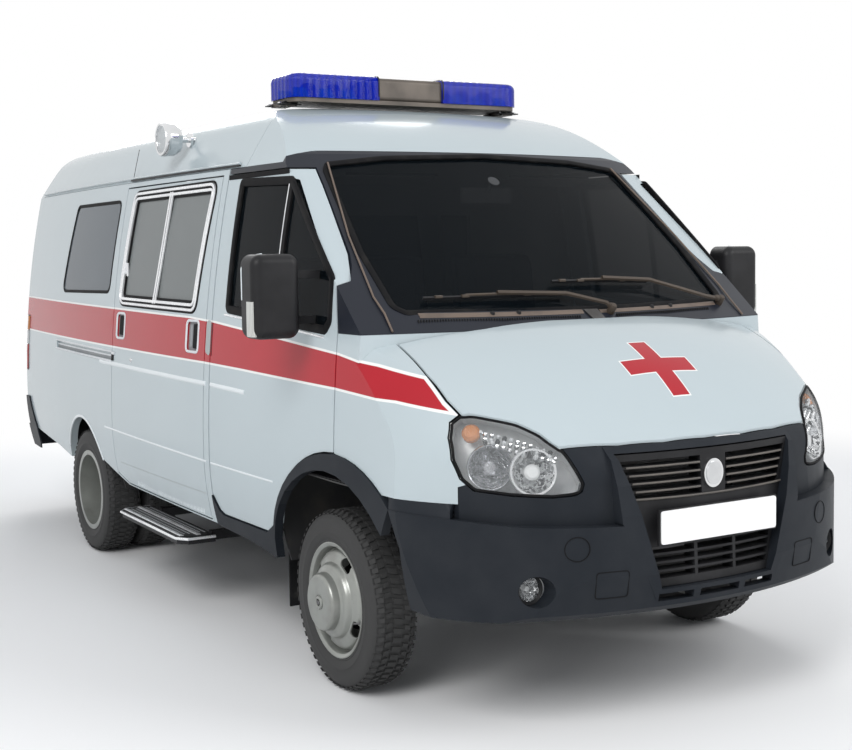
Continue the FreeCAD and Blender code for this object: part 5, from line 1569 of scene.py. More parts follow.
def spaced(
    points: Sequence[tuple[float, float]], spacing: float, closed: bool = False
) -> list[tuple[float, float]]:
    """Return an outline with points added so that none are further apart than a spacing."""
    result = []
    pairs = list(zip(points, points[1:])) + ([(points[-1], points[0])] if closed else [])
    for (x1, z1), (x2, z2) in pairs:
        count = max(1, math.ceil(math.hypot(x2 - x1, z2 - z1) / spacing))
        result += [(x1 + (x2 - x1) * k / count, z1 + (z2 - z1) * k / count) for k in range(count)]
    return result if closed else result + [points[-1]]


def inset(points: Sequence[tuple[float, float]], margin: float) -> list[tuple[float, float]]:
    """Return an outline's corners moved inwards by a margin, outwards where it is negative."""
    area = sum(x1 * z2 - x2 * z1 for (x1, z1), (x2, z2) in zip(points, (*points[1:], points[0])))
    way = 1.0 if area > 0 else -1.0
    result = []
    for index in range(len(points)):
        here = Vector(points[index])
        into = (here - Vector(points[index - 1])).normalized()
        away = (Vector(points[(index + 1) % len(points)]) - here).normalized()
        first = Vector((-into.y, into.x)) * way
        second = Vector((-away.y, away.x)) * way
        bisector = (first + second).normalized()
        result.append(tuple(here + bisector * (margin / max(bisector.dot(first), 0.3))))
    return result


def round_side(
    outline: Sequence[tuple[float, float]], radius: float, side: int, proud: float, margin: float = 0.0,
) -> list[Vector]:
    """Return the points of a rounded outline laid on a body side.

    Args:
        outline: (station, height) corners in millimetres.
        radius: corner radius in millimetres.
        side: -1 for the right, 1 for the left.
        proud: metres outside the skin.
        margin: millimetres inwards from the outline.
    """
    corners = inset(outline, margin) if margin else outline
    flat = spaced(rounded(corners, radius - margin, 6), 90.0, closed=True)
    return [on_skin(station, height, side, proud) for station, height in flat]


def along_side(
    points: Sequence[tuple[float, float]], side: int, proud: float, spacing: float = 120.0
) -> list[Vector]:
    """Return the points of a line laid on a body side."""
    return [on_skin(station, height, side, proud) for station, height in spaced(points, spacing)]


def sideways(side: int) -> Vector:
    """Return the outward direction of a side."""
    return Vector((0, side, 0))


def plate_on_side(
    maker: Maker, corners: Sequence[tuple[float, float]], side: int, low: float, high: float
) -> None:
    """Add a plate that follows a body side between two depths in metres."""
    outline = [on_skin(station, height, side, low) for station, height in corners]
    maker.slabbed(outline, Vector((0, side * (high - low), 0)))


@dataclass
class SideWindows:
    """Frames of the side windows: a bright double frame with a sliding pane, and a bonded quarter pane."""

    frame_width: float = 0.036
    frame_height: float = 0.008
    seal_width: float = 0.012
    bar_width: float = 0.013
    bar_top: tuple[float, float] = (-1662, 1928)
    bar_foot: tuple[float, float] = (-1730, 1402)
    latch: tuple[float, float] = (-2203, 1560)

    def build(self) -> None:
        """Build the frames of both sides."""
        half, high = self.frame_width / 2, self.frame_height
        double = [
            (-half, -0.008), (-half, high * 0.7), (-half + 0.003, high), (-0.006, high),
            (-0.004, high * 0.35),
            (0.004, high * 0.35), (0.006, high), (half - 0.003, high), (half, high * 0.7), (half, -0.010),
        ]
        frame_maker = Maker()
        opening = round_side(SLIDING_WINDOW, WINDOW_CORNER, RIGHT, 0.0005, 10)
        frame_maker.swept(double, opening, sideways(RIGHT), closed=True)
        for shift in (-0.013, 0.013):
            foot = on_skin(*self.bar_foot, RIGHT, -0.002) + Vector((shift, 0, 0))
            top = on_skin(*self.bar_top, RIGHT, -0.002) + Vector((shift, 0, 0))
            frame_maker.swept(
                rectangle(self.bar_width, 0.008, 0.002), [foot, (foot + top) / 2, top], sideways(RIGHT)
            )
        station, height = self.latch
        plate = on_skin(station, height, RIGHT, -0.006)
        frame_maker.box(
            plate + Vector((-0.020, -0.006, -0.034)), plate + Vector((0.020, 0.004, 0.034)), 0.004
        )
        frame_maker.mirror_left()
        frame_maker.piece("sliding_window_frames", BODY, [Finish.BRIGHT], 30.0, "aluminium_parts")
        seal = Maker()
        edge = bead(self.seal_width, 0.005)
        for section, proud, margin in (
            (edge, -0.001, -13), (rectangle(0.008, 0.003), 0.0012, 10),
            (rectangle(0.014, 0.009), -0.012, 33),
        ):
            path = round_side(SLIDING_WINDOW, WINDOW_CORNER, RIGHT, proud, margin)
            seal.swept(section, path, sideways(RIGHT), closed=True)
        foot, top = (on_skin(*spot, RIGHT, -0.004) for spot in (self.bar_foot, self.bar_top))
        seal.swept(rectangle(0.014, 0.004), [foot, (foot + top) / 2, top], sideways(RIGHT))
        rear = [(-2228, 1425), (-2174, 1908)]
        seal.swept(rectangle(0.040, 0.004), along_side(rear, RIGHT, -0.009), sideways(RIGHT))
        quarter = round_side(QUARTER_WINDOW, WINDOW_CORNER, RIGHT, -0.0005, 5)
        seal.swept(bead(0.018, 0.003), quarter, sideways(RIGHT), closed=True)
        seal.mirror_left()
        seal.piece("side_window_seals", BODY, [Finish.SEAL], 40.0, "black_trim")
        glass = Maker()
        rows = self._pane_rows(QUARTER_WINDOW)
        glass.grid(rows, Vector((0, 0.004, 0)))
        glass.mirror_left()
        glass.piece("quarter_panes", BODY, [Finish.SMOKED], 60.0, "window_glass")

    def _pane_rows(self, corners: Sequence[tuple[float, float]]) -> list[list[Vector]]:
        """Return the grid of a pane that lies nearly flush with the skin."""
        (x1, z1), (x2, z2), (x3, z3), (x4, z4) = inset(corners, 9)
        rows = []
        steps = 10
        for up in range(steps + 1):
            v = up / steps
            trim = 46.0 * (1 - math.sqrt(max(0.0, 1 - (max(abs(2 * v - 1) - 0.80, 0.0) / 0.20) ** 2)))
            low_x, low_z = x1 + (x2 - x1) * v, z1 + (z2 - z1) * v
            far_x, far_z = x4 + (x3 - x4) * v, z4 + (z3 - z4) * v
            row = []
            for across in range(13):
                u = across / 12
                station = (low_x + trim) * (1 - u) + (far_x - trim) * u
                row.append(on_skin(station, low_z * (1 - u) + far_z * u, RIGHT, -0.003))
            rows.append(row)
        return rows


@dataclass
class CabDoorTrim:
    """Black window surround, quarter-light bar and bright strip of each cab door."""

    bar: float = 0.030

    def build(self) -> None:
        """Build both doors' trim on the doors."""
        for name, side in SIDES:
            body = f"front_door_{name}_set"
            out = sideways(side)
            seal = Maker()
            section = both_halves([(-0.017, -0.006), (-0.017, 0.002), (-0.012, 0.0045)])
            seal.swept(section, round_side(CAB_WINDOW, 28, side, 0.0, 6), out, closed=True)
            divider = along_side([(-392, 1372), (-388, 1930)], side, -0.010)
            seal.swept(rectangle(self.bar, 0.010, 0.002), divider, out)
            seal.swept(rectangle(0.020, 0.004), along_side([(-992, 1962), (-420, 1962)], side, 0.0), out)
            seal.piece(f"cab_window_seal_{name}", body, [Finish.SEAL], 35.0, "black_trim")
            strip = Maker()
            strip.swept(
                rectangle(0.007, 0.004), along_side([(-407, 1376), (-403, 1926)], side, -0.003), out
            )
            sill = along_side([(-868, 1381), (-400, 1358), (16, 1328)], side, 0.0)
            strip.swept(bead(0.010, 0.005), sill, out)
            strip.piece(f"cab_window_strip_{name}", body, [Finish.BRIGHT], 50.0, "aluminium_parts")


@dataclass
class DoorHandles:
    """Recessed grips of the sliding door, the cab doors and their bright rims, with painted shade: a dark
    plate in each sliding door scoop and a grey plate for the recess on each cab pillar.
    """

    rim: float = 0.013
    cab_scoop: tuple = ((-1056, 1212), (-1054, 1350), (-1006, 1352), (-1006, 1196))

    def build(self) -> None:
        """Build the handles of the right side and the cab door pulls of both sides."""
        maker = Maker()
        for number, outline in enumerate(HANDLE_SCOOPS):
            edge = round_side(outline, 22, RIGHT, -0.001, -3)
            maker.use(0).swept(bead(self.rim, 0.006), edge, sideways(RIGHT), closed=True)
            floor = rounded(inset(outline, 1), 16, 4)
            plate_on_side(maker.use(1), floor, RIGHT, -0.0128, -0.0110)
            (x1, _), _, (x2, high), (_, low) = outline
            start, end = (x1 + 66, x2 - 10) if number else (x1 + 30, x2 - 12)
            # Dark plate over part of each scoop: painted shade of the finger slot.
            cover = [(start, low + 12), (start, high - 12), (end, high - 12), (end, low + 12)]
            plate_on_side(maker.use(2), rounded(cover, 10, 4), RIGHT, -0.0112, -0.0040)
            grip = [(x1 + 48, low + 20), (x1 + 46, high - 20)]
            if number:
                maker.use(1).swept(
                    rectangle(0.020, 0.009, 0.004), along_side(grip, RIGHT, -0.010), sideways(RIGHT)
                )
        maker.piece(
            "sliding_door_handles", BODY, [Finish.WHITE_TRIM, Finish.GREY, Finish.DARK], 40.0, "body_paint"
        )
        for name, side in SIDES:
            # Flat grey plate where the pillar is recessed: painted shade of the recess.
            scoop = Maker()
            plate_on_side(scoop, rounded(self.cab_scoop, 20, 5), side, -0.001, 0.0012)
            scoop.piece(f"cab_pillar_scoop_{name}", BODY, [Finish.GREY_PAINT], 30.0, "body_paint")
            pull = Maker()
            cup = ((-978, 1222), (-978, 1322), (-868, 1326), (-866, 1224))
            if side == LEFT:
                edge = round_side(cup, 24, side, -0.001)
                pull.use(0).swept(bead(0.010, 0.004), edge, sideways(side), closed=True)
                plate_on_side(pull.use(1), rounded(inset(cup, 2), 22, 5), side, -0.001, 0.0010)
                flap = along_side([(-962, 1274), (-884, 1276)], side, 0.0)
                pull.use(0).swept(bead(0.026, 0.012), flap, sideways(side))
            else:
                edge = along_side([(-990, 1200), (-990, 1344)], side, 0.0)
                pull.use(0).swept(bead(0.004, 0.002), edge, sideways(side))
            pull.piece(
                f"cab_door_pull_{name}", f"front_door_{name}_set", [Finish.TRIM, Finish.DARK], 40.0,
                "black_trim"
            )


@dataclass
class SideLines:
    """Pressed lines, rain gutters, sliding rail and lock of the sides; the pressed lines are in lightened
    enamel, a painted highlight.
    """

    upper: tuple = ((-2563, 1077), (-1040, 1076))
    lower: tuple = ((-2490, 736), (-1040, 737))

    def _pressed(
        self, maker: Maker, rows: Sequence[tuple[float, float]], side: int, width: float, height: float
    ) -> None:
        """Add one pressed line."""
        path = along_side(rows, side, 0.0, 60.0)
        section = both_halves([(-width / 2, -0.003), (-width / 2, 0.0), (-width * 0.15, height)])
        maker.swept(section, path, sideways(side))

    def build(self) -> None:
        """Build the lines of both sides."""
        # The pressed lines are raised beads in lightened enamel: a painted highlight along the creases.
        lines = Maker()
        self._pressed(lines, self.upper, -1, 0.022, 0.0040)
        self._pressed(lines, self.lower, -1, 0.010, 0.0022)
        lines.mirror_left()
        lines.piece("pressed_lines", BODY, [Finish.LIGHT_PAINT], 25.0, "body_paint")
        for name, side in SIDES:
            # The doors' pressed lines are in lightened enamel too: painted highlight.
            door = Maker()
            self._pressed(door, ((-990, 1076), (-790, 1074), (-640, 1071)), side, 0.020, 0.0036)
            self._pressed(door, ((-990, 737), (-380, 739)), side, 0.009, 0.0020)
            door.piece(
                f"pressed_lines_{name}", f"front_door_{name}_set", [Finish.LIGHT_PAINT], 25.0, "body_paint"
            )
        gutter = Maker()
        drip = [(-2318, 2012), (-1010, 2011), (-905, 2011)]
        roll = [(-4330, 2020), (-3535, 2021), (-2318, 2021), (-905, 2019)]
        gutter.use(0).swept(rectangle(0.008, 0.009, 0.002), along_side(drip, RIGHT, -0.002), sideways(RIGHT))
        gutter.use(1).swept(bead(0.012, 0.012), along_side(roll, RIGHT, -0.002), sideways(RIGHT))
        gutter.mirror_left()
        gutter.piece("rain_gutters", BODY, [Finish.TRIM, Finish.PLAIN_PAINT], 40.0, "body_paint")
        joint = Maker()
        upright = along_side([(-2294, 2028), (-2296, 2170)], RIGHT, -0.0003, 20.0)
        joint.swept(rectangle(0.004, 0.0015), upright, sideways(RIGHT))
        joint.mirror_left()
        joint.piece("roof_joints", BODY, [Finish.SEAL], 60.0, "black_trim")
        rail = Maker()
        for height in (1138, 1090):
            lip = along_side([(-3530, height), (-2353, height)], RIGHT, -0.001)
            rail.use(0).swept(bead(0.011, 0.006), lip, sideways(RIGHT))
        floor = along_side([(-3518, 1099), (-2353, 1099)], RIGHT, -0.0128)
        rail.use(1).swept(rectangle(0.030, 0.003), floor, sideways(RIGHT))
        runner = along_side([(-3515, 1116), (-2356, 1116)], RIGHT, -0.0125)
        rail.use(0).swept(rectangle(0.009, 0.006, 0.001), runner, sideways(RIGHT))
        plate_on_side(
            rail.use(2), [(-2348, 1094), (-2348, 1136), (-2318, 1136), (-2318, 1094)], RIGHT, -0.004, 0.004
        )
        plate_on_side(
            rail.use(0), [(-2342, 1126), (-2342, 1140), (-2300, 1140), (-2300, 1126)], RIGHT, -0.002, 0.006
        )
        lock = on_skin(-2032, 1114, RIGHT)
        barrel = [(0, 0.005), (0.007, 0.005), (0.011, 0.002), (0.012, -0.004), (0, -0.004)]
        rail.use(3).spun(barrel, lock, (0, -1, 0), 20)
        rail.use(2).spun([(0, 0.0056), (0.003, 0.0056), (0.003, 0.001), (0, 0.001)], lock, (0, -1, 0), 8)
        rail.piece(
            "sliding_door_rail", BODY,
            [Finish.WHITE_TRIM, Finish.GREY, Finish.DARK, Finish.CHROME], 40.0, "body_paint",
        )


# ---------------------------------------------------------------- windscreen, cowl and wipers

def on_screen_line(
    rows: Sequence[tuple[float, float]], proud: float, spacing: float = 80.0
) -> list[Vector]:
    """Return the points of a line of (offset, height) rows laid on the windscreen."""
    return [on_screen(offset, height, proud) for offset, height in spaced(rows, spacing)]


@dataclass
class Windscreen:
    """Screen rubber, painted highlight lines along the pillars, cowl panels with nozzles, air mesh and the
    two wipers.
    """

    outline: tuple = (
        (-745, 1418), (-782, 1440), (-786, 1640), (-738, 1965), (-715, 1992), (-470, 2020), (0, 2036),
        (470, 2020),
        (715, 1992), (738, 1965), (786, 1640), (782, 1440), (745, 1418), (0, 1408),
    )
    pillar: tuple = (
        (-422, -716, 1993), (-93, -799, 1696), (161, -835, 1472), (232, -830, 1415), (300, -836, 1352)
    )
    mesh_pitch: float = 0.0105

    def _wiper(
        self, maker: Maker, blade: Sequence[tuple[float, float]], arm: Sequence[tuple[float, float]]
    ) -> None:
        """Add one wiper: rubber, spine, four claws, arm, head and spindle cap; claws, arm, head and cap are
        brown, a painted sheen on black metal.
        """
        out = SCREEN_OUT
        rubber = [(-0.0035, 0), (0.0035, 0), (0.0015, 0.009), (-0.0015, 0.009)]
        maker.use(0).swept(rubber, on_screen_line(blade, 0.001), out)
        maker.use(0).swept(rectangle(0.009, 0.004, 0.001), on_screen_line(blade, 0.010), out)
        (x1, z1), (x2, z2) = blade[0], blade[-1]
        middle = ((x1 + x2) / 2, (z1 + z2) / 2 + 3)
        near_end = (x1 * 0.72 + x2 * 0.28, z1 * 0.72 + z2 * 0.28 + 2)
        far_end = (x1 * 0.28 + x2 * 0.72, z1 * 0.28 + z2 * 0.72 + 2)
        span = [near_end, middle, far_end]
        maker.use(1).swept(bead(0.010, 0.008), on_screen_line(span, 0.014), out)
        for share in (0.10, 0.28, 0.72, 0.90):
            spot = on_screen(x1 + (x2 - x1) * share, z1 + (z2 - z1) * share, 0.012)
            maker.use(1).box(
                spot - Vector((0.008, 0.016, 0.004)), spot + Vector((0.006, 0.016, 0.007)), 0.002
            )
        route = [middle, *reversed(arm)]
        channel = [(-0.009, 0), (0.009, 0), (0.007, 0.008), (-0.003, 0.011), (-0.007, 0.008)]
        maker.use(1).swept(channel, on_screen_line(route, 0.021), out)
        pivot = on_screen(*arm[0], 0.010)
        cap = [(0, 0.030), (0.011, 0.029), (0.015, 0.022), (0.016, -0.016), (0, -0.016)]
        maker.use(1).spun(cap, pivot, out, 20)
        near = on_screen(arm[0][0] * 0.75 + arm[1][0] * 0.25, arm[0][1] * 0.75 + arm[1][1] * 0.25, 0.030)
        head = [(0, 0.006), (0.010, 0.005), (0.013, 0.0), (0.013, -0.012), (0, -0.012)]
        maker.use(1).spun(head, near, out, 16)

    def build(self) -> None:
        """Build all of it."""
        out = SCREEN_OUT
        seal = Maker()
        path = on_screen_line([*rounded(self.outline, 30, 4)], 0.0005, 70.0)
        section = both_halves([(-0.013, -0.006), (-0.013, 0.001), (-0.006, 0.003)])
        seal.swept(section, path[:-1], out, closed=True)
        seal.piece("windscreen_rubber", BODY, [Finish.SEAL], 35.0, "black_trim")
        # Brown rods along the dark pillars' edges: a painted highlight.
        line = Maker()
        spots = spots_at(
            *((station, offset / 1000, height / 1000) for station, offset, height in self.pillar)
        )
        dense = [
            low.lerp(high, k / 4) for low, high in zip(spots, spots[1:]) for k in range(4)
        ] + [spots[-1]]
        line.rod([spot + Vector((0.004, -0.001, 0.004)) for spot in dense], 0.0042, 8)
        line.mirror_left()
        line.piece("pillar_highlight_lines", BODY, [Finish.COWL], 60.0, "black_trim")
        cowl = Maker()
        for low_y, high_y in ((-705, -20), (60, 715)):
            rows = []
            for up in range(4):
                row = []
                for across in range(15):
                    offset = low_y + (high_y - low_y) * across / 14
                    foot = 1392 + 6 * (offset / 700) ** 2
                    top = 1407 + 8 * (offset / 700) ** 2
                    row.append(
                        on_screen(offset, foot + (top - foot) * up / 3, 0.004 - 0.002 * abs(up - 1.5))
                    )
                rows.append(row)
            cowl.use(0).grid(rows, out * -0.004)
            for offset in (low_y + 0.42 * (high_y - low_y), low_y + 0.58 * (high_y - low_y)):
                spot = on_screen(offset, 1402 + 6 * (offset / 700) ** 2, 0.004)
                nozzle = [(0, 0.008), (0.005, 0.008), (0.008, 0.003), (0.010, 0.0), (0, 0.0)]
                cowl.use(1).spun(nozzle, spot, out, 14)
        hinge = [(-14, 1404), (10, 1352), (66, 1352), (50, 1404)]
        cowl.use(2).slabbed([on_screen(offset, height, 0.001) for offset, height in hinge], out * 0.005)
        cowl.piece("cowl_panels", BODY, [Finish.COWL, Finish.TRIM, Finish.CAST], 30.0, "black_trim")
        repeater = Repeater("mesh_repeat", round_axis=False)
        meshes = []
        for low_y, high_y in ((-720, -380), (-380, -40), (130, 400), (400, 660)):
            count = int((high_y - low_y) / 1000 / self.mesh_pitch)
            first, last = (on_screen(y, 1379 + 6 * (y / 700) ** 2, 0.0) for y in (low_y, high_y))
            cell = Maker()
            cell.box((-0.004, -0.0016, -0.009), (0.005, 0.0016, 0.009), 0.0008)
            step = tuple((last - first) / count)
            meshes.append(repeater.make(cell, f"cowl_bars_{low_y}", count, first, Finish.TRIM, step))
        bars = joined(meshes[0], meshes[1:], "cowl_mesh")
        shade(bars, 30)
        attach(bars, BODY)
        wipers = Maker()
        self._wiper(
            wipers, [(-658, 1461), (-335, 1462), (-66, 1460)], [(107, 1393), (94, 1412), (-66, 1452)]
        )
        self._wiper(
            wipers, [(-81, 1508), (160, 1507), (400, 1498)], [(742, 1404), (659, 1419), (400, 1492)]
        )
        wipers.piece("wipers", BODY, [Finish.TRIM, Finish.WIPER], 35.0, "black_trim")


# ---------------------------------------------------------------- nose fittings

@dataclass
class NoseFittings:
    """Plain badge, blank number plate, towing covers and the painted highlights on the edges of the grille
    bars.
    """

    badge: Point = (1.039, -0.005, 0.872)
    badge_half: tuple[float, float] = (0.043, 0.050)
    plate: Point = (1.075, 0.0, 0.713)
    plate_size: tuple[float, float] = (0.520, 0.112)
    bars: tuple = (830, 858, 885, 913)

    def build(self) -> None:
        """Build the fittings."""
        x, y, z = FRONT_AXLE + self.badge[0], self.badge[1], self.badge[2]
        wide, high = self.badge_half
        maker = Maker()
        for number, (share, front, back) in enumerate(((1.0, 0.010, -0.012), (0.80, 0.013, 0.004))):
            outline = []
            for step in range(40):
                angle = 2 * math.pi * step / 40
                across, upward = wide * share * math.cos(angle), high * share * math.sin(angle)
                outline.append(Vector((x + back, y + across, z + upward)))
            maker.use(number).slabbed(outline, Vector((front - back, 0, 0)))
        maker.piece("front_badge_blank", BODY, [Finish.CHROME, Finish.ALUMINIUM], 30.0, "bright_lamp")
        plate = Maker()
        x, y, z = FRONT_AXLE + self.plate[0], 0.0, self.plate[2]
        half, tall = self.plate_size[0] / 2, self.plate_size[1] / 2
        corners = [
            (1000 * a, 1000 * b) for a, b in ((-half, -tall), (half, -tall), (half, tall), (-half, tall))
        ]
        face = [Vector((x, a / 1000, z + b / 1000)) for a, b in rounded(corners, 10, 4)]
        plate.use(0).slabbed([spot + Vector((-0.004, 0, 0)) for spot in face], Vector((0.005, 0, 0)))
        low = (x - 0.016, -half - 0.006, z - tall - 0.006)
        high = (x - 0.0035, half + 0.006, z + tall + 0.004)
        plate.use(1).box(low, high, 0.003)
        plate.piece("front_plate_blank", BODY, [Finish.PLATE, Finish.TRIM], 30.0, "body_paint")
        covers = Maker()
        for side in (RIGHT, LEFT):
            ring = []
            for step in range(36):
                angle = 2 * math.pi * step / 36
                offset, height = 553 + 40 * math.cos(angle), 666 + 40 * math.sin(angle)
                ring.append(on_bumper(side * offset, height, 0.0006))
            covers.rod(ring, 0.0016, 6, closed=True)
            box = rounded([(-491, 494), (-491, 583), (-377, 583), (-377, 494)], 12, 3)
            frame_line = [on_bumper(side * -offset, height, 0.0006) for offset, height in box]
            covers.rod(frame_line, 0.0016, 6, closed=True)
        covers.piece("bumper_cover_lines", BODY, [Finish.DARK], 60.0, "black_trim")
        # Beads along the grille bars in a paler brown than the black bars: painted highlight.
        edges = Maker()
        for number, height in enumerate(self.bars):
            for side in (RIGHT, LEFT):
                inner, outer = 60, 320 + 11 * number
                offsets = [side * (inner + (outer - inner) * k / 6) for k in range(7)]
                spots = [on_grille(offset, height, 0.0010) for offset in offsets]
                edges.swept(bead(0.0075, 0.0030), spots, FORWARDS)
        spots = [
            on_grille(-345 + 690 * k / 16, 806 - 3 * (1 - ((k - 8) / 8) ** 2), 0.002) for k in range(17)
        ]
        edges.swept(bead(0.008, 0.004), spots, FORWARDS)
        edges.piece("grille_bar_highlights", BODY, [Finish.GRILLE_EDGE], 50.0, "black_trim")


# ---------------------------------------------------------------- mirrors

@dataclass
class Mirrors:
    """Glass, repeater and edge rod of the door mirrors, the rod in lightened enamel as a painted highlight
    along the housing's outline.
    """

    def build(self) -> None:
        """Build both mirrors' fittings on the doors."""
        for name, side in SIDES:
            body = f"front_door_{name}_set"
            back = at(-118)
            y1, y2 = side * 1.050, side * 1.224
            low, high = min(y1, y2), max(y1, y2)
            glass = Maker()
            corners = [(low * 1000, 1344), (low * 1000, 1622), (high * 1000, 1622), (high * 1000, 1344)]
            outline = [Vector((back, y / 1000, z / 1000)) for y, z in rounded(corners, 30, 5)]
            glass.slabbed(outline, Vector((-0.003, 0, 0)))
            glass.piece(f"mirror_glass_{name}", body, [Finish.MIRROR], 30.0, "bright_lamp")
            lamp = Maker()
            rows = []
            for up in range(9):
                share = up / 8
                height = 1.338 + 0.128 * share
                bulge = 0.012 * math.sin(math.pi * min(1.0, share * 1.08)) ** 0.6
                row = []
                for across in range(9):
                    turn = across / 8
                    x = at(-72) + 0.050 * turn
                    y = side * (1.2330 + 0.15 * bulge * math.sin(math.pi * (0.15 + 0.7 * turn)))
                    row.append(Vector((x, y, height)))
                rows.append(row)
            lamp.grid(rows, Vector((0, -side * 0.016, 0)))
            lamp.piece(f"mirror_repeater_{name}", body, [Finish.REPEATER], 40.0, "lamp_lens")
            # Rod along the housing's outer edge in lightened enamel: a painted highlight of the outline.
            edge = Maker()
            path = [Vector((at(-112), side * 1.2325, 1.470 + 0.019 * k)) for k in range(7)]
            corner = ((1.226, 1.602), (1.210, 1.622), (1.190, 1.632), (1.150, 1.6375))
            path += [Vector((at(-112), side * y, z)) for y, z in corner]
            edge.rod(path, 0.0028, 8)
            edge.piece(f"mirror_edge_{name}", body, [Finish.LIGHT_PAINT], 60.0, "body_paint")


# ---------------------------------------------------------------- roof lamps

@dataclass
class RoofLamps:
    """Rotators and mirrors inside the beacon bar, its feet and bands, and the searchlight's front."""

    middle: float = -1110
    foot: float = 2.3215
    rotators: tuple = (238, 345, 470)
    mirrors: tuple = (290, 405, 530)

    def build(self) -> None:
        """Build the roof lamps' fittings."""
        x = at(self.middle)
        inner = Maker()
        for offset in self.rotators:
            inner.use(0).spun(
                [(0, 0.072), (0.024, 0.072), (0.034, 0.064), (0.034, 0.010), (0.040, 0.004), (0, 0.004)],
                (x + 0.02, -offset / 1000, self.foot), UPWARDS, 20,
            )
        for offset in self.mirrors:
            for lean in (-1, 1):
                y = -offset / 1000
                corners = [(y - 0.044, 0.004), (y + 0.044, 0.004), (y + 0.030, 0.050), (y - 0.030, 0.050)]
                face = [Vector((x + 0.078 - (b - 0.004) * 0.5, a, self.foot + b)) for a, b in corners]
                shifted = [spot - Vector((0.156 * (lean < 0), 0, 0)) for spot in face]
                inner.use(1).slabbed(shifted, Vector((-0.003, 0, 0)))
        inner.use(2).box(
            (x - 0.10, -0.590, self.foot - 0.0005), (x + 0.10, -0.175, self.foot + 0.003), 0.001
        )
        inner.mirror_left()
        inner.piece(
            "beacon_rotators", BODY, [Finish.ROTATOR, Finish.AZURE, Finish.TRIM], 35.0, "beacon_lens"
        )
        band = Maker()
        outline = rounded([(-141, 0), (-141, 108), (141, 108), (141, 0)], 30, 5)
        path = [Vector((x + a / 1000, -0.171, self.foot + b / 1000)) for a, b in outline]
        heart = [Vector((x, spot.y, self.foot + 0.05)) for spot in path]
        band.swept(rectangle(0.006, 0.0018), path, lambda i: (path[i] - heart[i]).normalized(), closed=True)
        for sign in (-1, 1):
            for lift in (0.0, 0.058):
                start = Vector((x + sign * 0.052, -0.575 - lift * 0.2, 2.3035))
                end = Vector((x + sign * 0.060, -0.545 - lift * 1.2, 2.2935))
                band.rod([start, (start + end) / 2 + Vector((0, 0, 0.001)), end], 0.009, 8)
            foot_x = x + sign * 0.056
            band.box((foot_x - 0.018, -0.640, 2.2905), (foot_x + 0.018, -0.530, 2.2960), 0.002)
        band.mirror_left()
        band.piece("beacon_feet", BODY, [Finish.TRIM], 40.0, "aluminium_parts")
        bolts = Maker()
        head = [(0, 0.006), (0.007, 0.006), (0.009, 0.004), (0.009, -0.002), (0, -0.002)]
        for sign in (-1, 1):
            for y in (-0.628, -0.542):
                bolts.spun(head, (x + sign * 0.056, y, 2.2965), UPWARDS, 6)
        bolts.mirror_left()
        bolts.piece("beacon_bolts", BODY, [Finish.CHROME], 30.0, "bright_lamp")
        front = (at(-1690), -0.9465, 2.176)
        ring = Maker()
        rim = [
            (0.066, -0.004), (0.068, 0.004), (0.076, 0.005), (0.0805, -0.004), (0.0805, -0.020),
            (0.066, -0.012)
        ]
        ring.use(0).spun(rim, front, (0, -1, 0), 48, closed=True)
        cover = [(0, 0.006), (0.034, 0.0045), (0.060, 0.001), (0.067, -0.003), (0, -0.003)]
        ring.use(1).spun(cover, front, (0, -1, 0), 48)
        ring.piece("searchlight_front", BODY, [Finish.CHROME, Finish.FLUTED], 40.0, "bright_lamp")


# ---------------------------------------------------------------- step, sill and arch lips

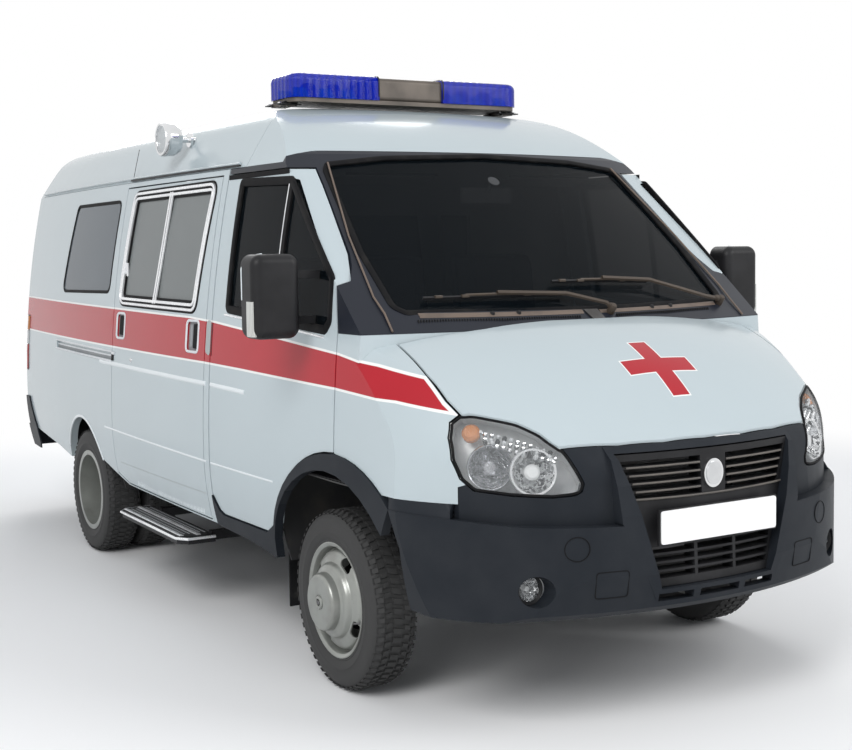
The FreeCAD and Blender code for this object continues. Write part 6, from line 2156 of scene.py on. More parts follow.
@dataclass
class StepAndSills:
    """Strips and studs of the side step, sill treads, and the rolled lips of the rear wheel openings; treads
    and lips are in lightened enamel, a painted highlight.
    """

    step_top: float = 0.361
    strips: tuple = (-1.036, -0.962)
    stud_rows: tuple = (-1.012, -0.990, -0.938, -0.916)
    arch: tuple[float, float, float] = (-2950, 330, 410)

    def build(self) -> None:
        """Build the step's dressing, the treads and the lips."""
        strips = Maker()
        section = both_halves([(-0.010, 0), (-0.010, 0.003), (-0.006, 0.005)])
        for number, y in enumerate(self.strips):
            far = -2112 if number else -2096
            near = -1304 if number else -1322
            path = [Vector((at(station), y, self.step_top - 0.0005)) for station in (far, -1700, near)]
            strips.swept(section, path, UPWARDS)
        rim = [(-2146, -893), (-2146, -1024), (-2092, -1064), (-1328, -1064), (-1274, -1024), (-1274, -893)]
        strips.rod([Vector((at(station), y / 1000, 0.352)) for station, y in rim], 0.0065, 8)
        strips.piece("step_strips", BODY, [Finish.BRIGHT], 30.0, "aluminium_parts")
        repeater = Repeater("stud_repeat", round_axis=False)
        rows = []
        for number, y in enumerate(self.stud_rows):
            cell = Maker()
            cell.spun([(0, 0.0035), (0.003, 0.003), (0.005, 0.0), (0, -0.0005)], (0, 0, 0), UPWARDS, 6)
            start = at(-2080 + 8 * (number % 2))
            first = (start, y, self.step_top)
            rows.append(repeater.make(cell, f"studs_{number}", 37, first, Finish.GREY, (0.0200, 0, 0)))
        studs = joined(rows[0], rows[1:], "step_studs")
        shade(studs, 30)
        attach(studs, BODY)
        # Sill tread ribs in lightened enamel: a painted highlight on the ribs.
        treads = []
        for number, station in enumerate((-2020, -1720, -1420)):
            spot = on_skin(station + 140, 500, RIGHT, 0.0)
            cell = Maker()
            cell.box((-0.0018, -0.0015, -0.011), (0.0018, 0.006, 0.011), 0.0006)
            first = Vector((at(station), spot.y + 0.0004, 0.500))
            treads.append(
                repeater.make(cell, f"treads_{number}", 17, first, Finish.LIGHT_PAINT, (0.0175, 0, 0))
            )
        sill = joined(treads[0], treads[1:], "sill_treads")
        shade(sill, 30)
        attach(sill, BODY)
        line = Maker()
        sill_line = along_side([(-2257, 576), (-1078, 590)], RIGHT, -0.0003)
        line.swept(rectangle(0.0022, 0.0010), sill_line, sideways(RIGHT))
        line.mirror_left()
        line.piece("sill_lines", BODY, [Finish.GREY_PAINT], 30.0, "body_paint")
        # Arch lips in lightened enamel: a painted highlight along the rolled rims.
        lips = Maker()
        station, height, radius = self.arch
        path = []
        reach = radius + 4
        for step in range(29):
            angle = math.radians(31 + 118 * step / 28)
            spot = (station + reach * math.cos(angle), height + reach * math.sin(angle))
            path.append(on_skin(*spot, RIGHT, 0.0005))
        section = [(-0.008, -0.004), (-0.007, 0.002), (0.0, 0.0045), (0.007, 0.002), (0.008, -0.004)]
        lips.swept(section, path, sideways(RIGHT))
        lips.mirror_left()
        lips.piece("rear_arch_lips", BODY, [Finish.LIGHT_PAINT], 60.0, "body_paint")


# ---------------------------------------------------------------- wheel fittings

@dataclass
class WheelFittings:
    """Nuts and grooves of the rear wheels."""

    nuts: int = 6

    def build(self) -> None:
        """Build the fittings of the rear wheels."""
        repeater = Repeater("nut_repeat", round_axis=True)
        for name, side in SIDES:
            cell = Maker()
            nut = [
                (0, 0.024), (0.009, 0.024), (0.0125, 0.020), (0.0125, 0.004), (0.019, 0.0), (0.019, -0.004),
                (0, -0.004),
            ]
            cell.spun(nut, (0, 0, 0.108), (0, side, 0), 6)
            hub_y = side * (REAR_WHEEL_Y + 0.012)
            nuts = repeater.make(
                cell, f"rear_nuts_{name}", self.nuts, (REAR_AXLE, hub_y, TYRE_RADIUS), Finish.CAST
            )
            rings = Maker()
            for radius, depth in ((0.188, 0.068), (0.172, 0.050), (0.152, 0.034)):
                section = [
                    (radius + across, lift)
                    for across, lift in ((-0.004, -0.003), (-0.003, 0.003), (0.003, 0.003), (0.004, -0.003))
                ]
                centre = (REAR_AXLE, side * (REAR_WHEEL_Y + depth * 0.42), TYRE_RADIUS)
                rings.spun(section, centre, (0, side, 0), 64, closed=True)
            ring_piece = formed(rings.mesh, f"rear_rings_{name}", [Finish.WHEEL])
            whole = joined(nuts, [ring_piece], f"rear_hub_fittings_{name}")
            shade(whole, 35)
            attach(whole, f"rear_wheels_{name}_set")
            LOG.info("%s: %d faces", whole.name, len(whole.data.polygons))


# ---------------------------------------------------------------- rear end

@dataclass
class RearEnd:
    """Rear lamp sections, door hinges, handle, window rubbers, blank plate and step grating."""

    window: tuple = ((-720, 1420), (-660, 1900), (-120, 1900), (-120, 1420))
    hinge_heights: tuple = (700, 1230, 1700)
    lamp_rows: tuple = ((905, 1062, "TAIL"), (1068, 1152, "WHITE_LENS"), (1158, 1245, "AMBER"))

    def _wrap(
        self, corner: BVHTree, side: int, low: float, high: float, first: float, last: float, proud: float
    ) -> list[list[Vector]]:
        """Return rows of points round the body's rear corner between two heights and two bearings."""
        middle = Vector((REAR_FACE + 0.12, side * 0.86, 0))
        rows = []
        for level in range(4):
            height = (low + (high - low) * level / 3) / 1000
            row = []
            for step in range(9):
                angle = math.radians(first + (last - first) * step / 8)
                way = Vector((-math.cos(angle), side * math.sin(angle), 0))
                start = middle + way * 0.5 + Vector((0, 0, height))
                hit = corner.ray_cast(start, -way, 0.5)[0]
                inward = middle + way * 0.12 + Vector((0, 0, height))
                row.append((hit if hit is not None else inward) + way * proud)
            rows.append(row)
        return rows

    def build(self) -> None:
        """Build the rear fittings."""
        x = REAR_FACE
        for name, side in SIDES:
            body = f"rear_door_{name}_set"
            flip = -side
            seal = Maker()
            path = [Vector((x - 0.0005, flip * y / 1000, z / 1000)) for y, z in rounded(self.window, 55, 6)]
            section = both_halves([(-0.014, -0.006), (-0.014, 0.002), (-0.008, 0.0045)])
            seal.swept(section, path, REARWARDS, closed=True)
            joint = [Vector((x + 0.002, side * 0.009, z / 1000)) for z in (640, 1300, 2040)]
            seal.swept(rectangle(0.012, 0.004), joint, REARWARDS)
            seal.piece(f"rear_window_rubber_{name}", body, [Finish.SEAL], 35.0, "black_trim")
            hinges = Maker()
            screw = [(0, 0.003), (0.005, 0.002), (0.006, 0.0), (0, 0.0)]
            for height in self.hinge_heights:
                z = height / 1000
                inner, outer = sorted((side * 0.725, side * 0.775))
                hinges.use(0).box((x - 0.006, inner, z - 0.028), (x - 0.0005, outer, z + 0.028), 0.002)
                for spot in (0.738, 0.760):
                    hinges.use(1).spun(screw, (x - 0.0055, side * spot, z), REARWARDS, 6)
            hinges.piece(
                f"rear_door_hinges_{name}", body, [Finish.PLAIN_PAINT, Finish.CAST], 35.0, "body_paint"
            )
            panel = Maker()
            pressing = [(y, z) for y, z in ((150, 700), (150, 1320), (720, 1320), (740, 700))]
            path = [Vector((x, side * y / 1000, z / 1000)) for y, z in rounded(pressing, 50, 5)]
            panel.swept(both_halves([(-0.010, -0.002), (-0.006, 0.0035)]), path, REARWARDS, closed=True)
            panel.piece(f"rear_door_pressing_{name}", body, [Finish.PLAIN_PAINT], 40.0, "body_paint")
            corner = BVHTree.FromBMesh(merged_copy(f"side_panel_{name}"))
            lamps = Maker()
            finishes = []
            for number, (low, high, finish) in enumerate(self.lamp_rows):
                section = self._wrap(corner, side, low, high, 6, 40, 0.012)
                lamps.use(number).grid(section, Vector((0.014, -side * 0.006, 0)))
                finishes.append(Finish[finish])
            surround = self._wrap(corner, side, 898, 1252, 3, 43, 0.004)
            lamps.use(3).grid(surround, Vector((0.010, -side * 0.005, 0)))
            finishes.append(Finish.TRIM)
            lamp = lamps.piece(f"tail_lamp_{name}", BODY, finishes, 35.0, "tail_lens")
            if side == RIGHT:
                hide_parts("tail_lamps")
        handle = Maker()
        cup = rounded([(-175, 1040), (-175, 1110), (-60, 1110), (-60, 1040)], 20, 5)
        floor = [Vector((x - 0.002, y / 1000, z / 1000)) for y, z in cup]
        handle.use(0).slabbed(floor, Vector((0.004, 0, 0)))
        handle.use(1).box((x - 0.022, -0.160, 1.064), (x - 0.012, -0.080, 1.086), 0.004)
        handle.use(1).box((x - 0.016, -0.160, 1.068), (x - 0.001, -0.148, 1.082), 0.002)
        handle.use(1).box((x - 0.016, -0.092, 1.068), (x - 0.001, -0.080, 1.082), 0.002)
        lock = [(0, 0.004), (0.008, 0.004), (0.011, 0.0), (0, 0.0)]
        handle.use(2).spun(lock, (x - 0.002, -0.070, 1.050), REARWARDS, 20)
        finishes = [Finish.DARK, Finish.TRIM, Finish.CHROME]
        handle.piece("rear_door_handle", "rear_door_right_set", finishes, 35.0, "black_trim")
        plate = Maker()
        bx, z = -2.780, 0.468
        face = [(y, z * 1000 + h) for y, h in ((-260, -56), (260, -56), (260, 56), (-260, 56))]
        outline = [Vector((bx - 0.0045, y / 1000, h / 1000)) for y, h in rounded(face, 10, 4)]
        plate.use(0).slabbed(outline, Vector((0.0030, 0, 0)))
        plate.use(1).box((bx - 0.0030, -0.266, z - 0.062), (bx + 0.001, 0.266, z + 0.062), 0.001)
        for y in (-0.21, 0.21):
            screw = [(0, 0.004), (0.006, 0.003), (0.008, 0.0), (0, 0.0)]
            plate.use(2).spun(screw, (bx - 0.004, y, z), REARWARDS, 12)
        plate.piece("rear_plate_blank", BODY, [Finish.PLATE, Finish.TRIM, Finish.CAST], 30.0, "body_paint")
        repeater = Repeater("grip_repeat", round_axis=False)
        rows = []
        for number in range(2):
            cell = Maker()
            cell.box((-0.003, -0.012, -0.001), (0.003, 0.012, 0.003), 0.001)
            first = (bx + 0.010 + 0.013 * number, -0.80, 0.540)
            rows.append(repeater.make(cell, f"rear_grips_{number}", 45, first, Finish.GREY, (0, 0.0364, 0)))
        grips = joined(rows[0], rows[1:], "rear_step_grips")
        shade(grips, 30)
        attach(grips, BODY)


# ---------------------------------------------------------------- cushions

@dataclass
class Upholstery:
    """Turns rounded blocks into stuffed cushions by a cloth simulation, then sews them."""

    pressure: float = 4.0
    last_frame: int = 20
    voxel: float = 0.013
    seam_width: float = 0.010
    seam_depth: float = 0.009
    piping: float = 0.0045

    def block(self, half: Vector, corner: float, steps: int = 10) -> bmesh.types.BMesh:
        """Return a block about the origin whose edges are rounded.

        Args:
            half: half its size along each axis.
            corner: the radius of its edges.
            steps: divisions along each edge.
        """
        mesh = bmesh.new()
        bmesh.ops.create_cube(mesh, size=2.0)
        bmesh.ops.subdivide_edges(mesh, edges=mesh.edges[:], cuts=steps, use_grid_fill=True)
        core = Vector([max(side - corner, 0.001) for side in half])
        for vert in mesh.verts:
            spot = Vector([vert.co[k] * half[k] for k in range(3)])
            inner = Vector([max(-core[k], min(core[k], spot[k])) for k in range(3)])
            away = spot - inner
            vert.co = inner + away.normalized() * corner if away.length > 1e-6 else spot
        return mesh

    def _simulate(self, made: bpy.types.Object, cap: float) -> bpy.types.Object:
        """Swell a shell under pressure and keep each point within a distance of where it began."""
        remesh = made.modifiers.new("remesh", "REMESH")
        remesh.mode = "VOXEL"
        remesh.voxel_size = self.voxel
        made = baked(made, made.name)
        start = [vert.co.copy() for vert in made.data.vertices]
        cloth = made.modifiers.new("cloth", "CLOTH")
        cloth.settings.use_pressure = True
        cloth.settings.uniform_pressure_force = self.pressure
        cloth.settings.effector_weights.gravity = 0.0
        cloth.settings.quality = 5
        cloth.collision_settings.use_collision = False
        cloth.point_cache.frame_start = 1
        cloth.point_cache.frame_end = self.last_frame
        scene = bpy.context.scene
        for number in range(1, self.last_frame + 1):
            scene.frame_set(number)
        made = baked(made, made.name)
        scene.frame_set(1)
        for vert, first in zip(made.data.vertices, start):
            move = vert.co - first
            if move.length > cap:
                vert.co = first + move.normalized() * cap
        return made

    def cushion(
        self, name: str, half: Point, corner: float, seams: Sequence[tuple[int, float]], face: int,
        cap: float,
        shape: Callable[[Vector], Vector], finish: Finish, body: str = BODY,
    ) -> bpy.types.Object:
        """Make one stuffed and sewn cushion.

        Args:
            name: the piece's name.
            half: half its size in its own frame.
            corner: radius of its edges.
            seams: (axis, place) rows; a seam lies in the plane where that axis has that place.
            face: the axis that its wide face looks along.
            cap: how far a point may swell.
            shape: turns its own frame into the vehicle's.
            finish: its cover.
            body: the body that carries it.
        """
        mesh = self.block(Vector(half) - Vector((0.008, 0.008, 0.008)), corner)
        made = formed(mesh, name)
        made = self._simulate(made, cap)
        mesh = bmesh.new()
        mesh.from_mesh(made.data)
        axes = {"use_axis_x": True, "use_axis_y": True, "use_axis_z": True}
        bmesh.ops.smooth_vert(mesh, verts=mesh.verts[:], factor=0.5, **axes)
        bmesh.ops.subdivide_edges(mesh, edges=mesh.edges[:], cuts=1, use_grid_fill=True)
        bmesh.ops.smooth_vert(mesh, verts=mesh.verts[:], factor=0.5, **axes)
        mesh.normal_update()
        for vert in mesh.verts:
            depth = 0.0
            for axis, place in seams:
                depth = max(depth, math.exp(-(((vert.co[axis] - place) / self.seam_width) ** 2)))
            x, y, z = vert.co
            wave = 0.0012 * math.sin(x * 61 + 1.3 * math.sin(y * 37)) * math.sin(y * 53 + z * 41)
            groove = self.seam_depth * depth * abs(vert.normal[face]) ** 0.5
            vert.co += vert.normal * (wave * (1 - depth) - groove)
        piping = self._piping(mesh, half, face)
        for vert in mesh.verts:
            vert.co = shape(vert.co.copy())
        mesh.to_mesh(made.data)
        mesh.free()
        made.data.materials.clear()
        made.data.materials.append(finish.get())
        welt = Maker()
        for path in piping:
            welt.rod([shape(spot) for spot in path], self.piping, 8, closed=True)
        edge = formed(welt.mesh, f"{name}_welt", [Finish.TRIM])
        whole = joined(made, [edge], name)
        shade(whole, 60)
        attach(whole, body)
        LOG.info("%s: %d faces", name, len(whole.data.polygons))
        return whole

    def _piping(self, mesh: bmesh.types.BMesh, half: Point, face: int) -> list[list[Vector]]:
        """Return the closed welt lines that follow the cushion's two wide edges."""
        tree = BVHTree.FromBMesh(mesh)
        first, second = [axis for axis in range(3) if axis != face]
        paths = []
        for level in (-0.62, 0.62):
            path = []
            for step in range(56):
                angle = 2 * math.pi * (step + 0.5) / 56
                cos, sin = math.cos(angle), math.sin(angle)
                away = Vector((0, 0, 0))
                away[first] = math.copysign(abs(cos) ** 0.35, cos) * half[first]
                away[second] = math.copysign(abs(sin) ** 0.35, sin) * half[second]
                middle = Vector((0, 0, 0))
                middle[face] = level * half[face]
                far = middle + away * 1.5
                hit = tree.ray_cast(far, (middle - far).normalized())[0]
                path.append(hit if hit is not None else middle + away * 0.97)
            paths.append(path)
        return paths


@dataclass
class Seats:
    """Driver's seat, passenger bench and attendant's seat: cushions, backs and frames."""

    rows: tuple = (
        ("driver", 0.400, 0.500, (0.0 - 0.500 * 0.22, 0.0 + 0.500 * 0.22)),
        ("bench", -0.380, 0.860, (-0.350, -0.080, 0.080, 0.350, 0.0)),
    )

    def build(self) -> None:
        """Build the seats in place of the plain ones."""
        sewing = Upholstery()
        x_middle = at(-645)
        for name, y_middle, width, places in self.rows:
            seams = [(1, place) for place in places]
            cushion_seams = seams + [(0, 0.150), (0, -0.060)]

            def lie(spot: Vector, y: float = y_middle) -> Vector:
                """Lay a cushion on its box with its front a little higher, and flatten its underside."""
                height = 0.9255 + spot.z + 0.010 * (spot.x / 0.25)
                return Vector((x_middle + spot.x, y + spot.y, max(height, 0.8615)))

            size = (0.253, width / 2 - 0.004, 0.063)
            sewing.cushion(f"{name}_cushion", size, 0.048, cushion_seams, 2, 0.012, lie, Finish.CLOTH)
            back_seams = seams + [(2, -0.140), (2, 0.120)]

            def lean(spot: Vector, y: float = y_middle) -> Vector:
                """Lean a back and thin it towards its top."""
                share = (spot.z + 0.320) / 0.640
                thin = 1.06 - 0.26 * share
                narrow = 1.0 - 0.05 * max(share - 0.6, 0.0)
                return Vector(
                    (at(-842 - 100 * share) + spot.x * thin, y + spot.y * narrow, 1.3125 + spot.z)
                )

            size = (0.048, width / 2 - 0.006, 0.322)
            sewing.cushion(f"{name}_back", size, 0.038, back_seams, 0, 0.010, lean, Finish.CLOTH)
            self._frame(name, y_middle, width)
        attendant = sewing.cushion(
            "attendant_cushion", (0.196, 0.161, 0.052), 0.040, [(1, -0.08), (1, 0.08)], 2, 0.010,
            lambda spot: Vector((at(-1800) + spot.x, 0.685 + spot.y, max(1.026 + spot.z, 0.972))),
            Finish.VINYL,
        )
        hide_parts("seats")
        stand = Maker()
        stand.use(0).box((at(-1985), 0.535, 0.956), (at(-1615), 0.835, 0.972), 0.004)
        stand.use(0).box((at(-1960), 0.555, 0.6405), (at(-1640), 0.815, 0.956), 0.012)
        stand.use(1).box((at(-1636), 0.600, 0.700), (at(-1630), 0.770, 0.900), 0.003)
        stand.piece("attendant_base", BODY, [Finish.CAB, Finish.TRIM], 30.0, "seat_cloth")

    def _frame(self, name: str, y_middle: float, width: float) -> None:
        """Add a seat's box, slides, side hinges and lever."""
        half = width / 2
        maker = Maker()
        for rear, front, margin, low, high, bevel in (
            (-856, -454, 0.044, 0.668, 0.845, 0.008), (-870, -430, 0.020, 0.845, 0.8605, 0.004),
        ):
            reach = half - margin
            maker.use(0).box((at(rear), y_middle - reach, low), (at(front), y_middle + reach, high), bevel)
        for side in (RIGHT, LEFT):
            y = y_middle + side * (half - 0.075)
            maker.use(1).box((at(-858), y - 0.022, 0.6405), (at(-452), y + 0.022, 0.668), 0.004)
            y = y_middle + side * (half - 0.003)
            plate = [
                (-890, 870), (-830, 868), (-806, 905), (-835, 1010), (-870, 1100), (-890, 1096),
                (-868, 990), (-890, 930),
            ]
            outline = [Vector((at(s), y - 0.003, z / 1000)) for s, z in rounded(plate, 12, 3)]
            maker.use(1).slabbed(outline, Vector((0, 0.006, 0)))
            knob = [(0, 0.008), (0.018, 0.007), (0.022, 0.002), (0.022, -0.004), (0, -0.004)]
            maker.use(2).spun(knob, (at(-848), y, 0.945), (0, side, 0), 24)
        maker.piece(
            f"{name}_seat_frame", BODY, [Finish.CAB, Finish.CHASSIS, Finish.TRIM], 30.0, "seat_cloth"
        )


@dataclass
class Stretcher:
    """Stretcher trolley: mattress, tubular frame, side rails, cross bars, legs and castors."""

    rear: float = -4150
    front: float = -2250

    def build(self) -> None:
        """Build the stretcher in place of the plain one."""
        sewing = Upholstery(voxel=0.016, seam_width=0.014, seam_depth=0.012)
        middle = at((self.rear + self.front) / 2)
        mattress = sewing.cushion(
            "stretcher_mattress", (0.945, 0.277, 0.038), 0.030, [(0, -0.47), (0, 0.0), (0, 0.47)], 2, 0.008,
            lambda spot: Vector((middle + spot.x, spot.y, max(1.0495 + spot.z, 1.0115))), Finish.VINYL,
        )
        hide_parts("stretcher")
        frame_maker = Maker()
        x1, x2 = at(self.rear + 20), at(self.front - 20)
        ring = [(x1 * 1000, -248), (x2 * 1000, -248), (x2 * 1000, 248), (x1 * 1000, 248)]
        for height, radius in ((0.995, 0.0145), (0.966, 0.008)):
            path = [Vector((x / 1000, y / 1000, height)) for x, y in rounded(ring, 80, 6)]
            frame_maker.use(0).rod(path, radius, 12, closed=True)
        for index in range(9):
            x = x1 + 0.10 + (x2 - x1 - 0.20) * index / 8
            frame_maker.use(0).box((x - 0.012, -0.240, 0.988), (x + 0.012, 0.240, 1.0095), 0.003)
        wheel = [
            (0, 0.012), (0.030, 0.012), (0.046, 0.009), (0.050, 0.0), (0.046, -0.009), (0.030, -0.012),
            (0, -0.012),
        ]
        for station in (-3970, -2470):
            x = at(station)
            for side in (RIGHT, LEFT):
                y = side * 0.225
                leg = spots_at((station, y, 0.985), (station, y, 0.80), (station, y, 0.695))
                frame_maker.use(0).rod(leg, 0.014, 12)
                frame_maker.use(1).spun(wheel, (x - 0.010, y, 0.6915), (0, 1, 0), 28)
                frame_maker.use(2).box((x - 0.018, y - 0.020, 0.690), (x + 0.014, y + 0.020, 0.750), 0.004)
            cross_bar = spots_at((station, -0.225, 0.80), (station, 0.0, 0.80), (station, 0.225, 0.80))
            frame_maker.use(0).rod(cross_bar, 0.010, 10)
        for side in (RIGHT, LEFT):
            y = side * 0.252
            rail = [(-3300, 1000), (-3290, 1082), (-2900, 1082), (-2890, 1000)]
            foot, top, far_top, far_foot = (Vector((at(s), y, z / 1000)) for s, z in rail)
            inward = Vector((0.02, 0, 0))
            arch = [
                foot, foot.lerp(top, 0.8), top + inward, far_top - inward, far_foot.lerp(far_top, 0.8),
                far_foot
            ]
            frame_maker.use(0).rod(arch, 0.006, 8)
        frame_maker.piece(
            "stretcher_frame", BODY, [Finish.ALUMINIUM, Finish.TYRE, Finish.CAST], 35.0, "aluminium_parts"
        )


# ---------------------------------------------------------------- cab details

@dataclass
class CabDetails:
    """Instrument hood, dials, vents, radio, glove box, levers, stalks, mirror, visors and pedals."""

    hood_y: float = 0.400

    def build(self) -> None:
        """Build the cab's details."""
        hood = Maker()
        rows = []
        for along in range(7):
            share = along / 6
            row = []
            for across in range(15):
                angle = math.pi * across / 14
                wide = 0.205 - 0.035 * share
                tall = 0.078 - 0.030 * share ** 2
                x = at(-150 + 190 * share)
                height = 1.262 + 0.018 * share + tall * math.sin(angle) ** 0.7
                row.append(Vector((x, self.hood_y - wide * math.cos(angle), height)))
            rows.append(row)
        hood.use(0).grid(rows, Vector((0, 0, -0.006)))
        face_x = at(-120)
        low, high = (face_x, self.hood_y - 0.175, 1.236), (face_x + 0.004, self.hood_y + 0.175, 1.318)
        hood.use(1).box(low, high, 0.002)
        for y, radius in ((-0.085, 0.034), (0.010, 0.034), (0.085, 0.020), (-0.145, 0.018), (0.135, 0.018)):
            centre = (face_x, self.hood_y + y, 1.280)
            inner, outer = radius - 0.003, radius + 0.002
            bezel = [(inner, 0.0), (radius - 0.001, 0.004), (outer, 0.004), (outer, 0.0)]
            hood.use(2).spun(bezel, centre, REARWARDS, 32, closed=True)
            hood.use(3).spun([(0, 0.003), (inner, 0.0022), (inner, 0.0), (0, 0.0)], centre, REARWARDS, 32)
        hood.piece(
            "instrument_hood", BODY, [Finish.GREY, Finish.TRIM, Finish.CHROME, Finish.DARK], 35.0,
            "cab_plastic"
        )
        dash = Maker()

        def on_dash(height: float) -> float:
            """Return the station of the dashboard's rear face at a height, in millimetres."""
            return -60 - (height - 900) * 120 / 280 if height < 1180 else -180 + (height - 1180) * 60 / 80

        for y in (-0.700, -0.120, 0.060, 0.700):
            z = 1150
            x = at(on_dash(z) - 2)
            dash.use(0).box((x - 0.006, y - 0.058, 1.118), (x + 0.014, y + 0.058, 1.176), 0.006)
            for row in range(5):
                lift = row * 0.010
                dash.use(1).box((x - 0.009, y - 0.050, 1.124 + lift), (x - 0.003, y + 0.050, 1.127 + lift))
        x = at(on_dash(1060) - 2)
        dash.use(0).box((x - 0.004, -0.120, 1.010), (x + 0.030, 0.060, 1.095), 0.004)
        for z in (1.030, 1.075):
            dash.use(2).box((x - 0.008, -0.108, z - 0.014), (x - 0.002, 0.048, z + 0.014), 0.002)
        knob = [(0, 0.014), (0.012, 0.012), (0.014, 0.0), (0, 0.0)]
        for y in (-0.09, -0.03, 0.03):
            dash.use(3).spun(knob, (at(on_dash(985)) - 0.001, y, 0.985), REARWARDS, 20)
        glove = rounded([(-640, 960), (-300, 960), (-300, 1090), (-640, 1090)], 20, 4)
        lid = [Vector((at(on_dash(z)) - 0.0005, y / 1000, z / 1000)) for y, z in glove]
        dash.use(4).swept(bead(0.004, 0.003), lid, REARWARDS, closed=True)
        catch = at(on_dash(1072))
        dash.use(3).box((catch - 0.010, -0.500, 1.062), (catch + 0.002, -0.440, 1.082), 0.003)
        dash.piece(
            "dashboard_fittings", BODY,
            [Finish.TRIM, Finish.GREY, Finish.DARK, Finish.CHROME, Finish.DARK], 30.0, "cab_plastic",
        )
        stalks = Maker()
        for side in (RIGHT, LEFT):
            start = Vector((at(-245), self.hood_y + side * 0.030, 1.118))
            bend = start + Vector((-0.010, side * 0.06, 0.010))
            tip = start + Vector((-0.020, side * 0.150, 0.020))
            stalks.use(0).rod([start, bend, tip], 0.006, 10)
        lever = spots_at((-300, 0.02, 0.640), (-310, 0.02, 0.80), (-340, 0.02, 0.93), (-352, 0.02, 0.955))
        stalks.use(1).rod(lever, 0.008, 12)
        knob = [(0, 0.040), (0.016, 0.036), (0.024, 0.020), (0.020, 0.002), (0.010, -0.006), (0, -0.006)]
        stalks.use(0).spun(knob, lever[-1], (-0.3, 0, 1), 24)
        boot = [
            (0, 0.120), (0.012, 0.118), (0.020, 0.090), (0.045, 0.050), (0.055, 0.006), (0.075, 0.0),
            (0, 0.0)
        ]
        stalks.use(0).spun(boot, (at(-300), 0.02, 0.6405), UPWARDS, 28)
        for y in (0.30, 0.40, 0.52):
            stalks.use(1).rod(spots_at((60, y, 0.92), (40, y, 0.84), (0, y, 0.76)), 0.007, 8)
            stalks.use(0).box((at(-16), y - 0.032, 0.735), (at(6), y + 0.032, 0.790), 0.005)
        stalks.piece("cab_controls", BODY, [Finish.TRIM, Finish.CAST], 40.0, "cab_plastic")
        top = Maker()
        glass = on_screen(-10, 1935, -0.012)
        top.use(0).spun([(0, 0.010), (0.022, 0.010), (0.026, 0.0), (0, 0.0)], glass, (-0.68, 0, -0.75), 20)
        stem = [glass, glass + Vector((-0.030, 0, -0.022)), glass + Vector((-0.050, 0, -0.045))]
        top.use(0).rod(stem, 0.006, 10)
        centre = glass + Vector((-0.062, 0, -0.060))
        top.use(0).box(
            centre - Vector((0.010, 0.125, 0.034)), centre + Vector((0.012, 0.125, 0.034)), 0.008
        )
        top.use(1).box(
            centre - Vector((0.0125, 0.116, 0.027)), centre - Vector((0.0095, -0.116, -0.027)), 0.001
        )
        top.piece("cab_mirror", BODY, [Finish.WHITE_TRIM, Finish.MIRROR], 35.0, "cab_plastic")
        visors = Maker()
        for y in (-0.400, 0.400):
            outline = rounded([(-220, 0), (220, 0), (220, 150), (-220, 150)], 30, 4)
            face = [Vector((at(-452 - b), y + a / 1000, 1.962 - 0.0002 * b)) for a, b in outline]
            visors.use(0).slabbed(face, Vector((0, 0, -0.014)))
            hinge = spots_at((-450, y - 0.215, 1.957), (-450, y, 1.957), (-450, y + 0.215, 1.957))
            visors.use(1).rod(hinge, 0.005, 8)
        visors.piece("sun_visors", BODY, [Finish.LINING, Finish.TRIM], 35.0, "cab_plastic")
        wheel = Maker()
        tilt = math.radians(45)
        axis = Vector((-math.cos(tilt), 0, math.sin(tilt)))
        hub = Vector((at(-330), 0.400, 1.200))
        pad = [(0, 0.034), (0.030, 0.033), (0.052, 0.026), (0.058, 0.010), (0.050, -0.006), (0, -0.006)]
        wheel.use(0).spun(pad, hub, axis, 36)
        ring = [(0.022, 0.0345), (0.024, 0.0365), (0.027, 0.0365), (0.029, 0.0335), (0.026, 0.032)]
        wheel.use(1).spun(ring, hub, axis, 36, closed=True)
        wheel.piece("horn_pad", BODY, [Finish.TRIM, Finish.CHROME], 40.0, "cab_plastic")


# ---------------------------------------------------------------- steel front wheels

